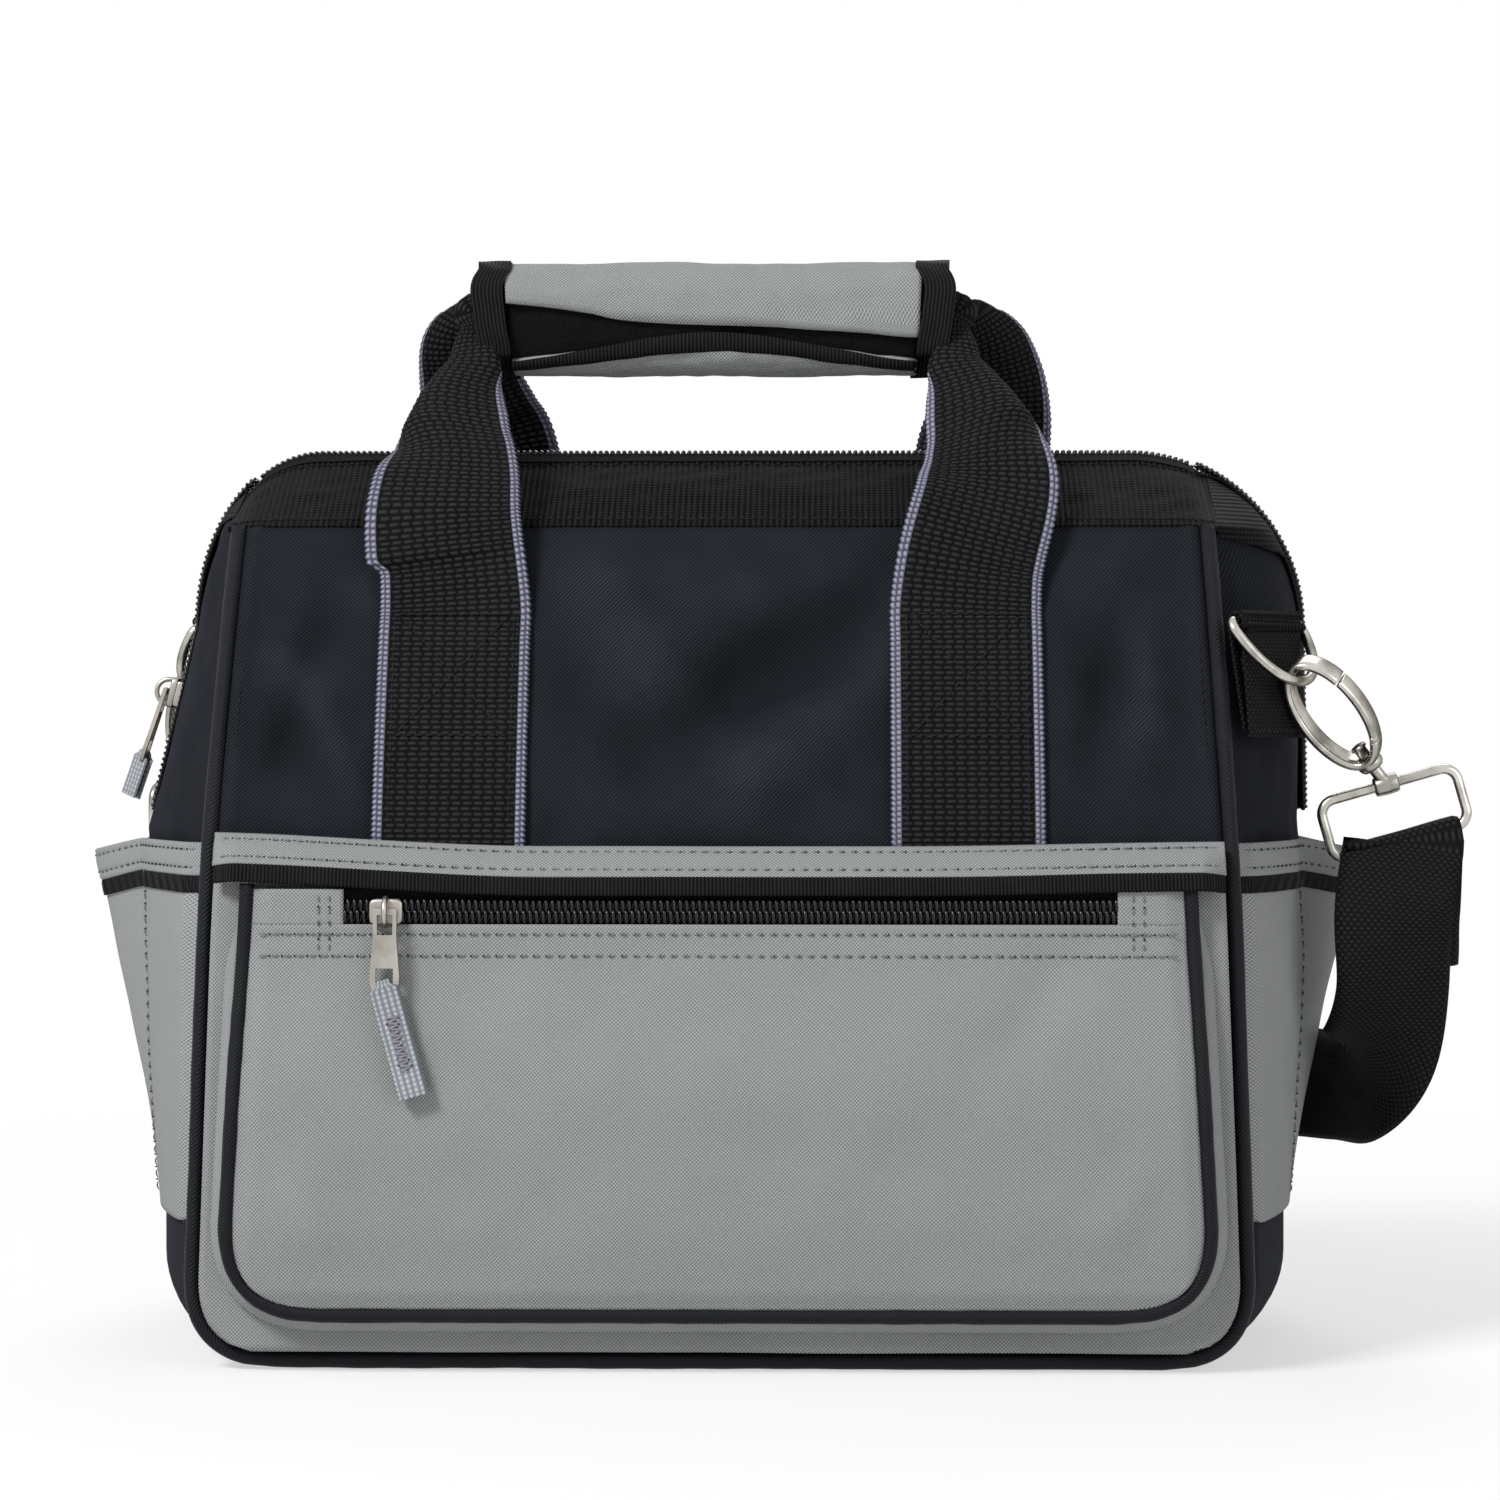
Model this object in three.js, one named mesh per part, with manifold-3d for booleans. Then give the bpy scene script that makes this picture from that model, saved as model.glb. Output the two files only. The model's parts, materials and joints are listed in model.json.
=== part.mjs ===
// Tool tote bag: a sewn body with a zipped arch mouth, two webbing handles held in one grip wrap,
// a zipped front pocket, two flared side pockets and a shoulder strap on swivel snap hooks.
// Millimetres, +Z up, front towards -Y, origin under the middle of the base.
import * as THREE from "three";
import { mergeVertices } from "three/addons/utils/BufferGeometryUtils.js";
import Module from "manifold-3d";

const wasm = await Module();
wasm.setup();

// Fits and cloth thicknesses
const CLEAR = 0.3;
const WALL = 4;
const LOWER_WALL = 2;
const WEBBING = 1.8;
const TRIM = 1;

// Body
const HALF_BOTTOM = 176;
const HALF_TOP = 166;
const CORNER_RADIUS = 31;
const HALF_DEPTH = 95;
const STRAIGHT_HEIGHT = 130;
const CURVE_HEIGHT = 185;
const SEAM_HEIGHT = 277;
const SEAM_HALF_DEPTH = 48;
const PIPING_RADIUS = 2.9;
const PIPING_SEAT = 2;
const BASE_TURN_UP = 47;
const BOARD_THICKNESS = 2.5;
const BOARD_HALF_WIDTH = 150;
const BOARD_HALF_DEPTH = 84;
const BOARD_CORNER = 20;

// Gussets: half-widths of the bag at mid depth, from the base to the arch of the mouth
const MID_BASE = 188;
const MID_HEM = 200;
const SHOULDER_BULGE = { left: 17, right: 33 };
const MID_SHOULDER = { left: HALF_TOP + SHOULDER_BULGE.left, right: HALF_TOP + SHOULDER_BULGE.right };
const SHOULDER_HEIGHT = 244;
const ARCH_FLAT = 140;
const ARCH_POWER = 2;

// Mouth
const ZIP_HEIGHT = 304;
const LIP_THICKNESS = 3;
const ZIP_SLOT = 16;
const ZIP_END = 180;
const ZIP_TAPE = 1.6;
const CHAIN_WIDTH = 5;
const CHAIN_RISE = 2;
const CHAIN_PITCH = 4;

// Hem level that runs round the bag
const HEM_TOP = 175;
const HEM_HEIGHT = 11;
const TAPE_HEIGHT = 6.5;

// Front pocket: its face rises from its back by these amounts
const POCKET_HALF_BOTTOM = 163;
const POCKET_HALF_TOP = 155;
const POCKET_BOTTOM = 17;
const POCKET_CORNER = 34;
const POCKET_WALL = 2.2;
const POCKET_RIM = 2.4;
const POCKET_PIPING_RADIUS = 2.5;
const POCKET_TOP_RISE = 6.3;
const POCKET_BELLY_RISE = 13.3;
const POCKET_FOOT_RISE = 10.3;
const FRONT_ZIP_HEIGHT = 150;
const FRONT_ZIP_HALF = 125;
const FRONT_ZIP_MIDDLE = 4;
const FRONT_SLOT = 9;
const FRONT_TAPE_HEIGHT = 10.5;
const FRONT_TAPE_REACH = 6;
const FRONT_TAPE = 0.8;

// Side pockets
const SIDE_FLARE = 17;
const SIDE_STITCH = 38;
const FLARE_POWER = 1.3;

// Handles and grip
const HANDLE_WIDTH = 50;
const HANDLE_X = 87;
const ANCHOR_BOTTOM = 140;
const ANCHOR_TOP = 252;
const GRIP_HEIGHT = 350;
const GRIP_HALF = 81;
const GATHERED_WIDTH = 26;
const GATHERED_THICKNESS = 8;
const GATHERED_OFFSET = 5.3;
const WRAP_HALF_HEIGHT = 16.8;
const WRAP_HALF_DEPTH = 12.8;
const WRAP_THICKNESS = 2.4;
const WRAP_POWER = 3;
const WRAP_FROM = 5;
const WRAP_TO = 250;
const FLAP_TO = 332;
const BINDING_WIDTH = 7;

// Zip sliders and pullers
const SLIDER_HALF_LENGTH = 5.5;
const SLIDER_TOP = 3.2;
const SLIDER_SKIRT = 1.8;
const CROWN_HEIGHT = 4.6;
const CROWN_BAR = 1.6;
const CROWN_HALF_WIDTH = 1.6;
const PULLER_WIDTH = 9.6;
const PULLER_LENGTH = 26;
const PULLER_THICKNESS = 1.4;
const PULLER_LEAN = THREE.MathUtils.degToRad(5);
const PULL_TAPE_WIDTH = 10;
const PULL_TAPE_LENGTH = { front: 36, main: 14 };
const PULL_TAPE_SWAY = THREE.MathUtils.degToRad(16);
const FRONT_SLIDER_X = -107;
const MAIN_SLIDER_Z = 220;

// D-rings, hooks and strap
const TAB_WIDTH = 38;
const TAB_DEPTH = { left: 46, right: 54 };
const TAB_SEAT = 2.4;
const TAB_BOTTOM = 204;
const TAB_LAYERS = 3.1;
const RING_HEIGHT = 243;
const RING_WIRE = 1.75;
const RING_HALF_WIDTH = 22;
const RING_DROP = 24;
const RING_TILT = THREE.MathUtils.degToRad(22);
const HOOK_HALF_LENGTH = 22;
const HOOK_HALF_WIDTH = 12;
const HOOK_BAND = 3.2;
const HOOK_BAND_WIDTH = 9;
const HOOK_PLAY = 2.8;
const GATE_FROM = 5;
const GATE_TO = 29;
const GATE_TIP_GAP = 0.8;
const SWIVEL_POST = 2.1;
const SWIVEL_HEAD = 2.9;
const SWIVEL_COLLAR = 4.2;
const SWIVEL_LENGTH = 45;
const KNUCKLE_RADIUS = 3.4;
const KNUCKLE_LENGTH = 8;
const LOOP_WIRE = 1.7;
const LOOP_HALF_WIDTH = 23.5;
const LOOP_DROP = 20;
const LOOP_CORNER = 5;
const STRAP_WIDTH = 40;
const STRAP_THICKNESS = 1.8;

// Values that follow from the sizes above
const HEM_LOW = HEM_TOP - HEM_HEIGHT;
const TAPE_LOW = HEM_LOW - TAPE_HEIGHT;
const PANEL_INSET = 2 * PIPING_RADIUS + CLEAR;
const GUSSET_START = PIPING_SEAT + PIPING_RADIUS + 3 * CLEAR;
const LOWER_IN = CLEAR + WEBBING + CLEAR;
const LOWER_OUT = LOWER_IN + LOWER_WALL;
const CHAIN_HALF = CHAIN_WIDTH / 2;
const LIP_TOP_HALF_DEPTH = CHAIN_HALF + 1.5 * CLEAR;
const LIP_HALF_LENGTH = HALF_TOP - WALL - CLEAR;
const POCKET_TOP = TAPE_LOW - CLEAR;
const POCKET_BACK = HALF_DEPTH + LOWER_OUT + CLEAR;
const POCKET_TOP_DEPTH = POCKET_BACK + POCKET_TOP_RISE;
const POCKET_BELLY_DEPTH = POCKET_BACK + POCKET_BELLY_RISE;
const POCKET_FOOT_DEPTH = POCKET_BACK + POCKET_FOOT_RISE;
const FAR = 400;

// Materials
function cloth(color, roughness = 0.9) {
  return new THREE.MeshStandardMaterial({ color, roughness, metalness: 0 });
}

function metal(color, roughness) {
  return new THREE.MeshStandardMaterial({ color, roughness, metalness: 1 });
}

const BLACK_CLOTH = cloth(0x23262e);
const GREY_CLOTH = cloth(0x9a9d9a);
const BLACK_WEBBING = cloth(0x1b1c20, 0.8);
const BLACK_PIPING = cloth(0x17181b, 0.75);
const ZIP_BLACK = cloth(0x141416, 0.55);
const BOARD_PLASTIC = cloth(0x2a2a2a, 0.6);
const NICKEL = metal(0xc9c5bb, 0.2);
const SATIN_NICKEL = metal(0xc2beb6, 0.35);

// Solids and meshes
function solidOf(geometry) {
  const bare = new THREE.BufferGeometry();
  bare.setAttribute("position", geometry.getAttribute("position"));
  bare.setIndex(geometry.index);
  const merged = mergeVertices(bare, 1e-4);
  return new wasm.Manifold(
    new wasm.Mesh({
      numProp: 3,
      vertProperties: new Float32Array(merged.getAttribute("position").array),
      triVerts: new Uint32Array(merged.index.array),
    }),
  );
}

function geometryOf(solid) {
  const made = solid.getMesh();
  const geometry = new THREE.BufferGeometry();
  const count = made.vertProperties.length / made.numProp;
  const positions = new Float32Array(count * 3);
  for (let i = 0; i < count; i += 1) {
    positions.set(made.vertProperties.subarray(i * made.numProp, i * made.numProp + 3), i * 3);
  }
  geometry.setAttribute("position", new THREE.BufferAttribute(positions, 3));
  geometry.setIndex(new THREE.BufferAttribute(new Uint32Array(made.triVerts), 1));
  geometry.computeVertexNormals();
  return geometry;
}

function addMesh(group, name, shape, material) {
  const geometry = shape.isBufferGeometry ? shape : geometryOf(shape);
  const mesh = new THREE.Mesh(geometry, material);
  mesh.name = name;
  group.add(mesh);
  return mesh;
}

// Turns a geometry from its own axes to the three given directions, then moves it to an origin.
function placed(geometry, origin, first, second, third) {
  const basis = new THREE.Matrix4().makeBasis(first, second, third);
  basis.setPosition(origin);
  return geometry.applyMatrix4(basis);
}

const X = new THREE.Vector3(1, 0, 0);
const Y = new THREE.Vector3(0, 1, 0);
const Z = new THREE.Vector3(0, 0, 1);
const MINUS_Y = new THREE.Vector3(0, -1, 0);

function extruded(shape, depth, curveSegments = 8) {
  return new THREE.ExtrudeGeometry(shape, { depth, bevelEnabled: false, curveSegments });
}

// A profile of [y, z] points carried along X.
function prismX(points, low, high) {
  const shape = new THREE.Shape(points.map(([y, z]) => new THREE.Vector2(y, z)));
  return solidOf(placed(extruded(shape, high - low), new THREE.Vector3(low, 0, 0), Y, Z, X));
}

// An outline in X and Z carried along Y.
function prismY(shape, low, high) {
  return solidOf(placed(extruded(shape, high - low), new THREE.Vector3(0, high, 0), X, Z, MINUS_Y));
}

function boxShape(xLow, xHigh, zLow, zHigh) {
  const shape = new THREE.Shape();
  shape.moveTo(xLow, zLow);
  shape.lineTo(xHigh, zLow);
  shape.lineTo(xHigh, zHigh);
  shape.lineTo(xLow, zHigh);
  return shape;
}

// A closed sheet of cloth between two grids of points, whichever way round they are given.
function sheet(outer, inner) {
  const rows = outer.length;
  const columns = outer[0].length;
  const half = rows * columns;
  const points = [...outer.flat(), ...inner.flat()];
  const index = [];
  const quad = (a, b, c, d) => index.push(a, b, c, a, c, d);
  for (let i = 0; i + 1 < rows; i += 1) {
    for (let j = 0; j + 1 < columns; j += 1) {
      const a = i * columns + j;
      const d = a + columns;
      quad(a, a + 1, d + 1, d);
      index.push(half + a, half + d + 1, half + a + 1, half + a, half + d, half + d + 1);
    }
  }
  for (let j = 0; j + 1 < columns; j += 1) {
    const last = (rows - 1) * columns + j;
    quad(j + 1, j, half + j, half + j + 1);
    quad(last, last + 1, half + last + 1, half + last);
  }
  for (let i = 0; i + 1 < rows; i += 1) {
    const start = i * columns;
    const end = start + columns - 1;
    quad(start, start + columns, half + start + columns, half + start);
    quad(end + columns, end, half + end, half + end + columns);
  }
  const volume = (a, b, c) => points[a].dot(points[b].clone().cross(points[c]));
  let sum = 0;
  for (let k = 0; k < index.length; k += 3) {
    sum += volume(index[k], index[k + 1], index[k + 2]);
  }
  if (sum < 0) {
    index.reverse();
  }
  const geometry = new THREE.BufferGeometry().setFromPoints(points);
  geometry.setIndex(index);
  geometry.computeVertexNormals();
  return geometry;
}

// A round bar along an open row of points, with flat ends.
function bar(points, radius, sides = 8) {
  const last = points.length - 1;
  const rings = [];
  let normal = null;
  points.forEach((at, i) => {
    const along = points[Math.min(i + 1, last)].clone().sub(points[Math.max(i - 1, 0)]).normalize();
    const seed = normal ?? (Math.abs(along.z) < 0.9 ? Z : X);
    normal = seed.clone().addScaledVector(along, -seed.dot(along)).normalize();
    const binormal = along.clone().cross(normal);
    for (let k = 0; k < sides; k += 1) {
      const angle = (2 * Math.PI * k) / sides;
      const out = normal.clone().multiplyScalar(radius * Math.cos(angle));
      rings.push(at.clone().add(out.addScaledVector(binormal, radius * Math.sin(angle))));
    }
  });
  const index = [];
  for (let i = 0; i < last; i += 1) {
    for (let k = 0; k < sides; k += 1) {
      const a = i * sides + k;
      const b = i * sides + ((k + 1) % sides);
      index.push(a, b, b + sides, a, b + sides, a + sides);
    }
  }
  for (let k = 1; k + 1 < sides; k += 1) {
    index.push(0, k + 1, k, last * sides, last * sides + k, last * sides + k + 1);
  }
  const geometry = new THREE.BufferGeometry().setFromPoints(rings);
  geometry.setIndex(index);
  geometry.computeVertexNormals();
  return geometry;
}

// A wire bent into a closed ring: its bends join, so it has no ends.
function closedWire(points, radius, steps, sides) {
  const curve = new THREE.CatmullRomCurve3(points, true, "centripetal");
  return solidOf(new THREE.TubeGeometry(curve, steps, radius, sides, true));
}

function cylinderAlong(from, direction, length, radius, sides = 16) {
  const geometry = new THREE.CylinderGeometry(radius, radius, length, sides);
  geometry.translate(0, length / 2, 0);
  const turn = new THREE.Quaternion().setFromUnitVectors(Y, direction);
  geometry.applyQuaternion(turn);
  geometry.translate(from.x, from.y, from.z);
  return solidOf(geometry);
}

// Body surfaces
const curveOfPanel = new THREE.QuadraticBezierCurve(
  new THREE.Vector2(HALF_DEPTH, STRAIGHT_HEIGHT),
  new THREE.Vector2(HALF_DEPTH, CURVE_HEIGHT),
  new THREE.Vector2(SEAM_HALF_DEPTH, SEAM_HEIGHT),
);
const CURVE_STEPS = 6;

// Points up the outside of the front panel with the direction that it faces there.
function panelKnots() {
  const level = new THREE.Vector2(1, 0);
  const knots = [
    { at: new THREE.Vector2(HALF_DEPTH, -WALL), facing: level },
    { at: new THREE.Vector2(HALF_DEPTH, STRAIGHT_HEIGHT), facing: level },
  ];
  for (let i = 1; i <= CURVE_STEPS; i += 1) {
    const tangent = curveOfPanel.getTangent(i / CURVE_STEPS);
    const facing = new THREE.Vector2(tangent.y, -tangent.x);
    knots.push({ at: curveOfPanel.getPoint(i / CURVE_STEPS), facing });
  }
  const top = knots[knots.length - 1];
  const along = new THREE.Vector2(-top.facing.y, top.facing.x);
  knots.push({ at: top.at.clone().addScaledVector(along, CORNER_RADIUS), facing: top.facing });
  return knots;
}

const PANEL_KNOTS = panelKnots();

// Half depth of the body at a height: the panels up to the seam, then the lips.
function halfDepth(z) {
  if (z > SEAM_HEIGHT) {
    const share = (z - SEAM_HEIGHT) / (ZIP_HEIGHT - SEAM_HEIGHT);
    return THREE.MathUtils.lerp(SEAM_HALF_DEPTH, LIP_TOP_HALF_DEPTH, share);
  }
  const above = PANEL_KNOTS.findIndex((knot) => knot.at.y >= z);
  const low = PANEL_KNOTS[Math.max(above - 1, 0)].at;
  const high = PANEL_KNOTS[Math.max(above, 1)].at;
  return THREE.MathUtils.mapLinear(z, low.y, high.y, low.x, high.x);
}

function halfWidth(z) {
  return THREE.MathUtils.mapLinear(Math.min(z, SEAM_HEIGHT), 0, SEAM_HEIGHT, HALF_BOTTOM, HALF_TOP);
}

// A layer of the front panel between two distances out from its face, endless to both sides.
function panelLayer(inner, outer) {
  const offset = (distance) =>
    PANEL_KNOTS.map(({ at, facing }) => [-(at.x + facing.x * distance), at.y + facing.y * distance]);
  return prismX([...offset(outer), ...offset(inner).reverse()], -FAR, FAR);
}

// Outline of the front of the bag, drawn in by an inset, up to a height.
function panelOutline(inset, top) {
  const side = halfWidth(0) - inset;
  const radius = CORNER_RADIUS - inset;
  const shape = new THREE.Shape();
  shape.moveTo(-(halfWidth(top) - inset), top);
  shape.lineTo(-(halfWidth(CORNER_RADIUS) - inset), CORNER_RADIUS);
  shape.quadraticCurveTo(-side, inset, -side + radius, inset);
  shape.lineTo(side - radius, inset);
  shape.quadraticCurveTo(side, inset, halfWidth(CORNER_RADIUS) - inset, CORNER_RADIUS);
  shape.lineTo(halfWidth(top) - inset, top);
  return shape;
}

function bandOutline(inset, low, high) {
  const shape = new THREE.Shape();
  shape.moveTo(-(halfWidth(low) - inset), low);
  shape.lineTo(halfWidth(low) - inset, low);
  shape.lineTo(halfWidth(high) - inset, high);
  shape.lineTo(-(halfWidth(high) - inset), high);
  return shape;
}

function cutFromPanel(inner, outer, outline) {
  return panelLayer(inner, outer).intersect(prismY(outline, -FAR, 0));
}

const PIPING_STEP = 22;

function seamOutline() {
  return panelOutline(PIPING_RADIUS, SEAM_HEIGHT - PIPING_RADIUS);
}

// Piping follows an open outline, set back from a front whose depth is given for each height.
function pipingAlong(outline, depthAt, setBack, radius) {
  const corners = outline.getPoints(8);
  const route = [];
  corners.slice(1).forEach((end, i) => {
    const pieces = Math.ceil(corners[i].distanceTo(end) / PIPING_STEP);
    for (let k = i === 0 ? 0 : 1; k <= pieces; k += 1) {
      const p = corners[i].clone().lerp(end, k / pieces);
      route.push(new THREE.Vector3(p.x, -(depthAt(p.y) - setBack), p.y));
    }
  });
  return bar(route, radius);
}

// Mouth arch
function midHalf(side, z) {
  const shoulder = MID_SHOULDER[side];
  if (z <= HEM_TOP) {
    return THREE.MathUtils.lerp(MID_BASE, MID_HEM, Math.sin((Math.PI / 2) * (z / HEM_TOP)));
  }
  if (z <= SHOULDER_HEIGHT) {
    return THREE.MathUtils.mapLinear(z, HEM_TOP, SHOULDER_HEIGHT, MID_HEM, shoulder);
  }
  const rise = (z - SHOULDER_HEIGHT) / (ZIP_HEIGHT - SHOULDER_HEIGHT);
  return ARCH_FLAT + (shoulder - ARCH_FLAT) * (1 - rise ** ARCH_POWER) ** (1 / ARCH_POWER);
}

// Height at which the arch has come in to a half-width.
function archHeight(side, half) {
  const share = (half - ARCH_FLAT) / (MID_SHOULDER[side] - ARCH_FLAT);
  const rise = (1 - share ** ARCH_POWER) ** (1 / ARCH_POWER);
  return SHOULDER_HEIGHT + (ZIP_HEIGHT - SHOULDER_HEIGHT) * rise;
}

const LOW_STEPS = 4;
const ARCH_STEPS = 6;
const ACROSS_STEPS = 14;

// Heights of the rows of points that every piece on a gusset shares.
function gussetLevels(side, low, high) {
  const levels = [];
  const start = BASE_TURN_UP + CLEAR;
  for (let i = 0; i < LOW_STEPS; i += 1) {
    levels.push(THREE.MathUtils.lerp(start, TAPE_LOW, i / LOW_STEPS));
  }
  levels.push(TAPE_LOW, HEM_LOW, HEM_TOP, SHOULDER_HEIGHT);
  const tip = archHeight(side, HALF_TOP);
  for (let i = 1; i <= ARCH_STEPS; i += 1) {
    const share = Math.sin((Math.PI / 2) * (i / ARCH_STEPS));
    levels.push(THREE.MathUtils.lerp(SHOULDER_HEIGHT, tip, share));
  }
  const inside = levels.filter((z) => z > low + CLEAR && z < high - CLEAR);
  return [low, ...inside, high];
}

// Point on the outside of a gusset: share is -1 at the front seam and 1 at the rear one.
function gussetPoint(side, share, z, out) {
  const sign = side === "left" ? -1 : 1;
  const y = share * (halfDepth(z) - GUSSET_START);
  const bulge = Math.max(midHalf(side, z) - halfWidth(z), 0);
  return new THREE.Vector3(sign * (halfWidth(z) + bulge * (1 - share * share) + out), y, z);
}

// How far the side pocket's mouth stands off the gusset at a place.
function flareAt(y, z) {
  const across = Math.max(1 - (y / SIDE_STITCH) ** 2, 0) ** 2;
  const up = Math.max((z - BASE_TURN_UP) / (HEM_TOP - BASE_TURN_UP), 0) ** FLARE_POWER;
  return SIDE_FLARE * across * up;
}

function gussetGrid(side, levels, out, flared) {
  return levels.map((z) => {
    const row = [];
    for (let j = 0; j <= ACROSS_STEPS; j += 1) {
      const share = (2 * j) / ACROSS_STEPS - 1;
      const y = share * (halfDepth(z) - GUSSET_START);
      row.push(gussetPoint(side, share, z, out + (flared ? flareAt(y, z) : 0)));
    }
    return row;
  });
}

function gussetSheet(side, low, high, inner, outer, flared) {
  const levels = gussetLevels(side, low, high);
  return sheet(gussetGrid(side, levels, outer, flared), gussetGrid(side, levels, inner, flared));
}

function makeGusset(side) {
  const tip = archHeight(side, HALF_TOP);
  const whole = solidOf(gussetSheet(side, BASE_TURN_UP + CLEAR, tip, -WALL, 0, false));
  const half = ZIP_SLOT / 2;
  const slot = prismX(
    [
      [-half, ZIP_END],
      [half, ZIP_END],
      [half, FAR],
      [-half, FAR],
    ],
    -FAR,
    FAR,
  );
  return whole.subtract(slot);
}

// Ribbon on the line of the main zip down one gusset, between two distances out from the line.
function zipRibbon(side, halfAcross, inner, outer) {
  const sign = side === "left" ? -1 : 1;
  const end = LIP_HALF_LENGTH + 5 * CLEAR;
  const levels = gussetLevels(side, ZIP_END + 3 * CLEAR, archHeight(side, end));
  const line = levels.map((z) => new THREE.Vector2(midHalf(side, z), z));
  const row = (i, out) => {
    const before = line[Math.max(i - 1, 0)];
    const after = line[Math.min(i + 1, line.length - 1)];
    const along = after.clone().sub(before).normalize();
    const at = line[i].clone().add(new THREE.Vector2(along.y, -along.x).multiplyScalar(out));
    return [-halfAcross, halfAcross].map((y) => new THREE.Vector3(sign * at.x, y, at.y));
  };
  return sheet(
    line.map((_, i) => row(i, outer)),
    line.map((_, i) => row(i, inner)),
  );
}

// Base
const BASE_STEPS = 6;

// Half of the base's outline at one depth: flat underneath, round at the corner, up to the turn-up.
function baseOutline(share, inset) {
  const half = THREE.MathUtils.lerp(midHalf("right", BASE_TURN_UP), halfWidth(BASE_TURN_UP), share ** 2);
  const radius = CORNER_RADIUS - inset;
  const points = [];
  for (let i = 0; i <= BASE_STEPS; i += 1) {
    const angle = (Math.PI / 2) * (i / BASE_STEPS);
    const x = half - CORNER_RADIUS + radius * Math.sin(angle);
    points.push(new THREE.Vector2(x, CORNER_RADIUS - radius * Math.cos(angle)));
  }
  points.push(new THREE.Vector2(half - inset, BASE_TURN_UP));
  return points;
}

function makeBase() {
  const grid = (inset) => {
    const rows = [];
    for (let j = 0; j <= ACROSS_STEPS; j += 1) {
      const share = (2 * j) / ACROSS_STEPS - 1;
      const y = share * (HALF_DEPTH - GUSSET_START);
      const right = baseOutline(share, inset);
      const left = right.map((p) => new THREE.Vector3(-p.x, y, p.y)).reverse();
      rows.push([...left, ...right.map((p) => new THREE.Vector3(p.x, y, p.y))]);
    }
    return rows;
  };
  return sheet(grid(0), grid(WALL));
}

function makeBoard() {
  const halfX = BOARD_HALF_WIDTH - BOARD_CORNER;
  const halfY = BOARD_HALF_DEPTH - BOARD_CORNER;
  const shape = new THREE.Shape();
  shape.absarc(halfX, halfY, BOARD_CORNER, 0, Math.PI / 2);
  shape.absarc(-halfX, halfY, BOARD_CORNER, Math.PI / 2, Math.PI);
  shape.absarc(-halfX, -halfY, BOARD_CORNER, Math.PI, 1.5 * Math.PI);
  shape.absarc(halfX, -halfY, BOARD_CORNER, 1.5 * Math.PI, 2 * Math.PI);
  return extruded(shape, BOARD_THICKNESS, 4).translate(0, 0, WALL + CLEAR);
}

// Front pocket
const POCKET_BELLY_LOW = POCKET_BOTTOM + POCKET_CORNER;
const POCKET_BELLY_HIGH = THREE.MathUtils.lerp(POCKET_BELLY_LOW, POCKET_TOP, 0.4);

function pocketFace() {
  const slotLow = FRONT_ZIP_HEIGHT - FRONT_SLOT / 2;
  return [
    [POCKET_FOOT_DEPTH, POCKET_BOTTOM - CLEAR],
    [POCKET_BELLY_DEPTH, POCKET_BELLY_LOW],
    [POCKET_BELLY_DEPTH, POCKET_BELLY_HIGH],
    [POCKET_TOP_DEPTH, slotLow - CLEAR],
    [POCKET_TOP_DEPTH, POCKET_TOP + CLEAR],
  ];
}

function pocketDepth(z) {
  const face = pocketFace();
  const above = Math.max(
    face.findIndex((point) => point[1] >= z),
    1,
  );
  const [lowDepth, low] = face[above - 1];
  const [highDepth, high] = face[above];
  return THREE.MathUtils.mapLinear(z, low, high, lowDepth, highDepth);
}

function pocketHalf(z) {
  return THREE.MathUtils.mapLinear(z, POCKET_BOTTOM, POCKET_TOP, POCKET_HALF_BOTTOM, POCKET_HALF_TOP);
}

function pocketOutline(inset, top) {
  const corner = POCKET_BELLY_LOW;
  const side = pocketHalf(POCKET_BOTTOM) - inset;
  const bottom = POCKET_BOTTOM + inset;
  const radius = POCKET_CORNER - inset;
  const shape = new THREE.Shape();
  shape.moveTo(-(pocketHalf(top) - inset), top);
  shape.lineTo(-(pocketHalf(corner) - inset), corner);
  shape.quadraticCurveTo(-side, bottom, -side + radius, bottom);
  shape.lineTo(side - radius, bottom);
  shape.quadraticCurveTo(side, bottom, pocketHalf(corner) - inset, corner);
  shape.lineTo(pocketHalf(top) - inset, top);
  return shape;
}

// The pocket's solid from its back to a depth behind its face, inside an outline.
function pocketBlock(behindFace, back, outline) {
  const face = pocketFace().map(([depth, z]) => [-(depth - behindFace), z]);
  const low = face[0][1];
  const high = face[face.length - 1][1];
  const profile = prismX([[-back, low], ...face, [-back, high]].reverse(), -FAR, FAR);
  return profile.intersect(prismY(outline, -FAR, 0));
}

function makeFrontPocket() {
  const seat = 2 * POCKET_PIPING_RADIUS + CLEAR;
  const rim = pocketBlock(seat, POCKET_BACK, pocketOutline(0, POCKET_TOP));
  const face = pocketBlock(0, POCKET_BACK, pocketOutline(seat, POCKET_TOP));
  const hollow = pocketBlock(
    POCKET_WALL,
    POCKET_BACK - WALL,
    pocketOutline(seat + POCKET_RIM, POCKET_TOP - POCKET_RIM),
  );
  const low = FRONT_ZIP_HEIGHT - FRONT_SLOT / 2;
  const [left, right] = [FRONT_ZIP_MIDDLE - FRONT_ZIP_HALF, FRONT_ZIP_MIDDLE + FRONT_ZIP_HALF];
  const slot = prismY(boxShape(left, right, low, low + FRONT_SLOT), -FAR, -POCKET_BACK);
  return rim.add(face).subtract(hollow).subtract(slot);
}

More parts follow.
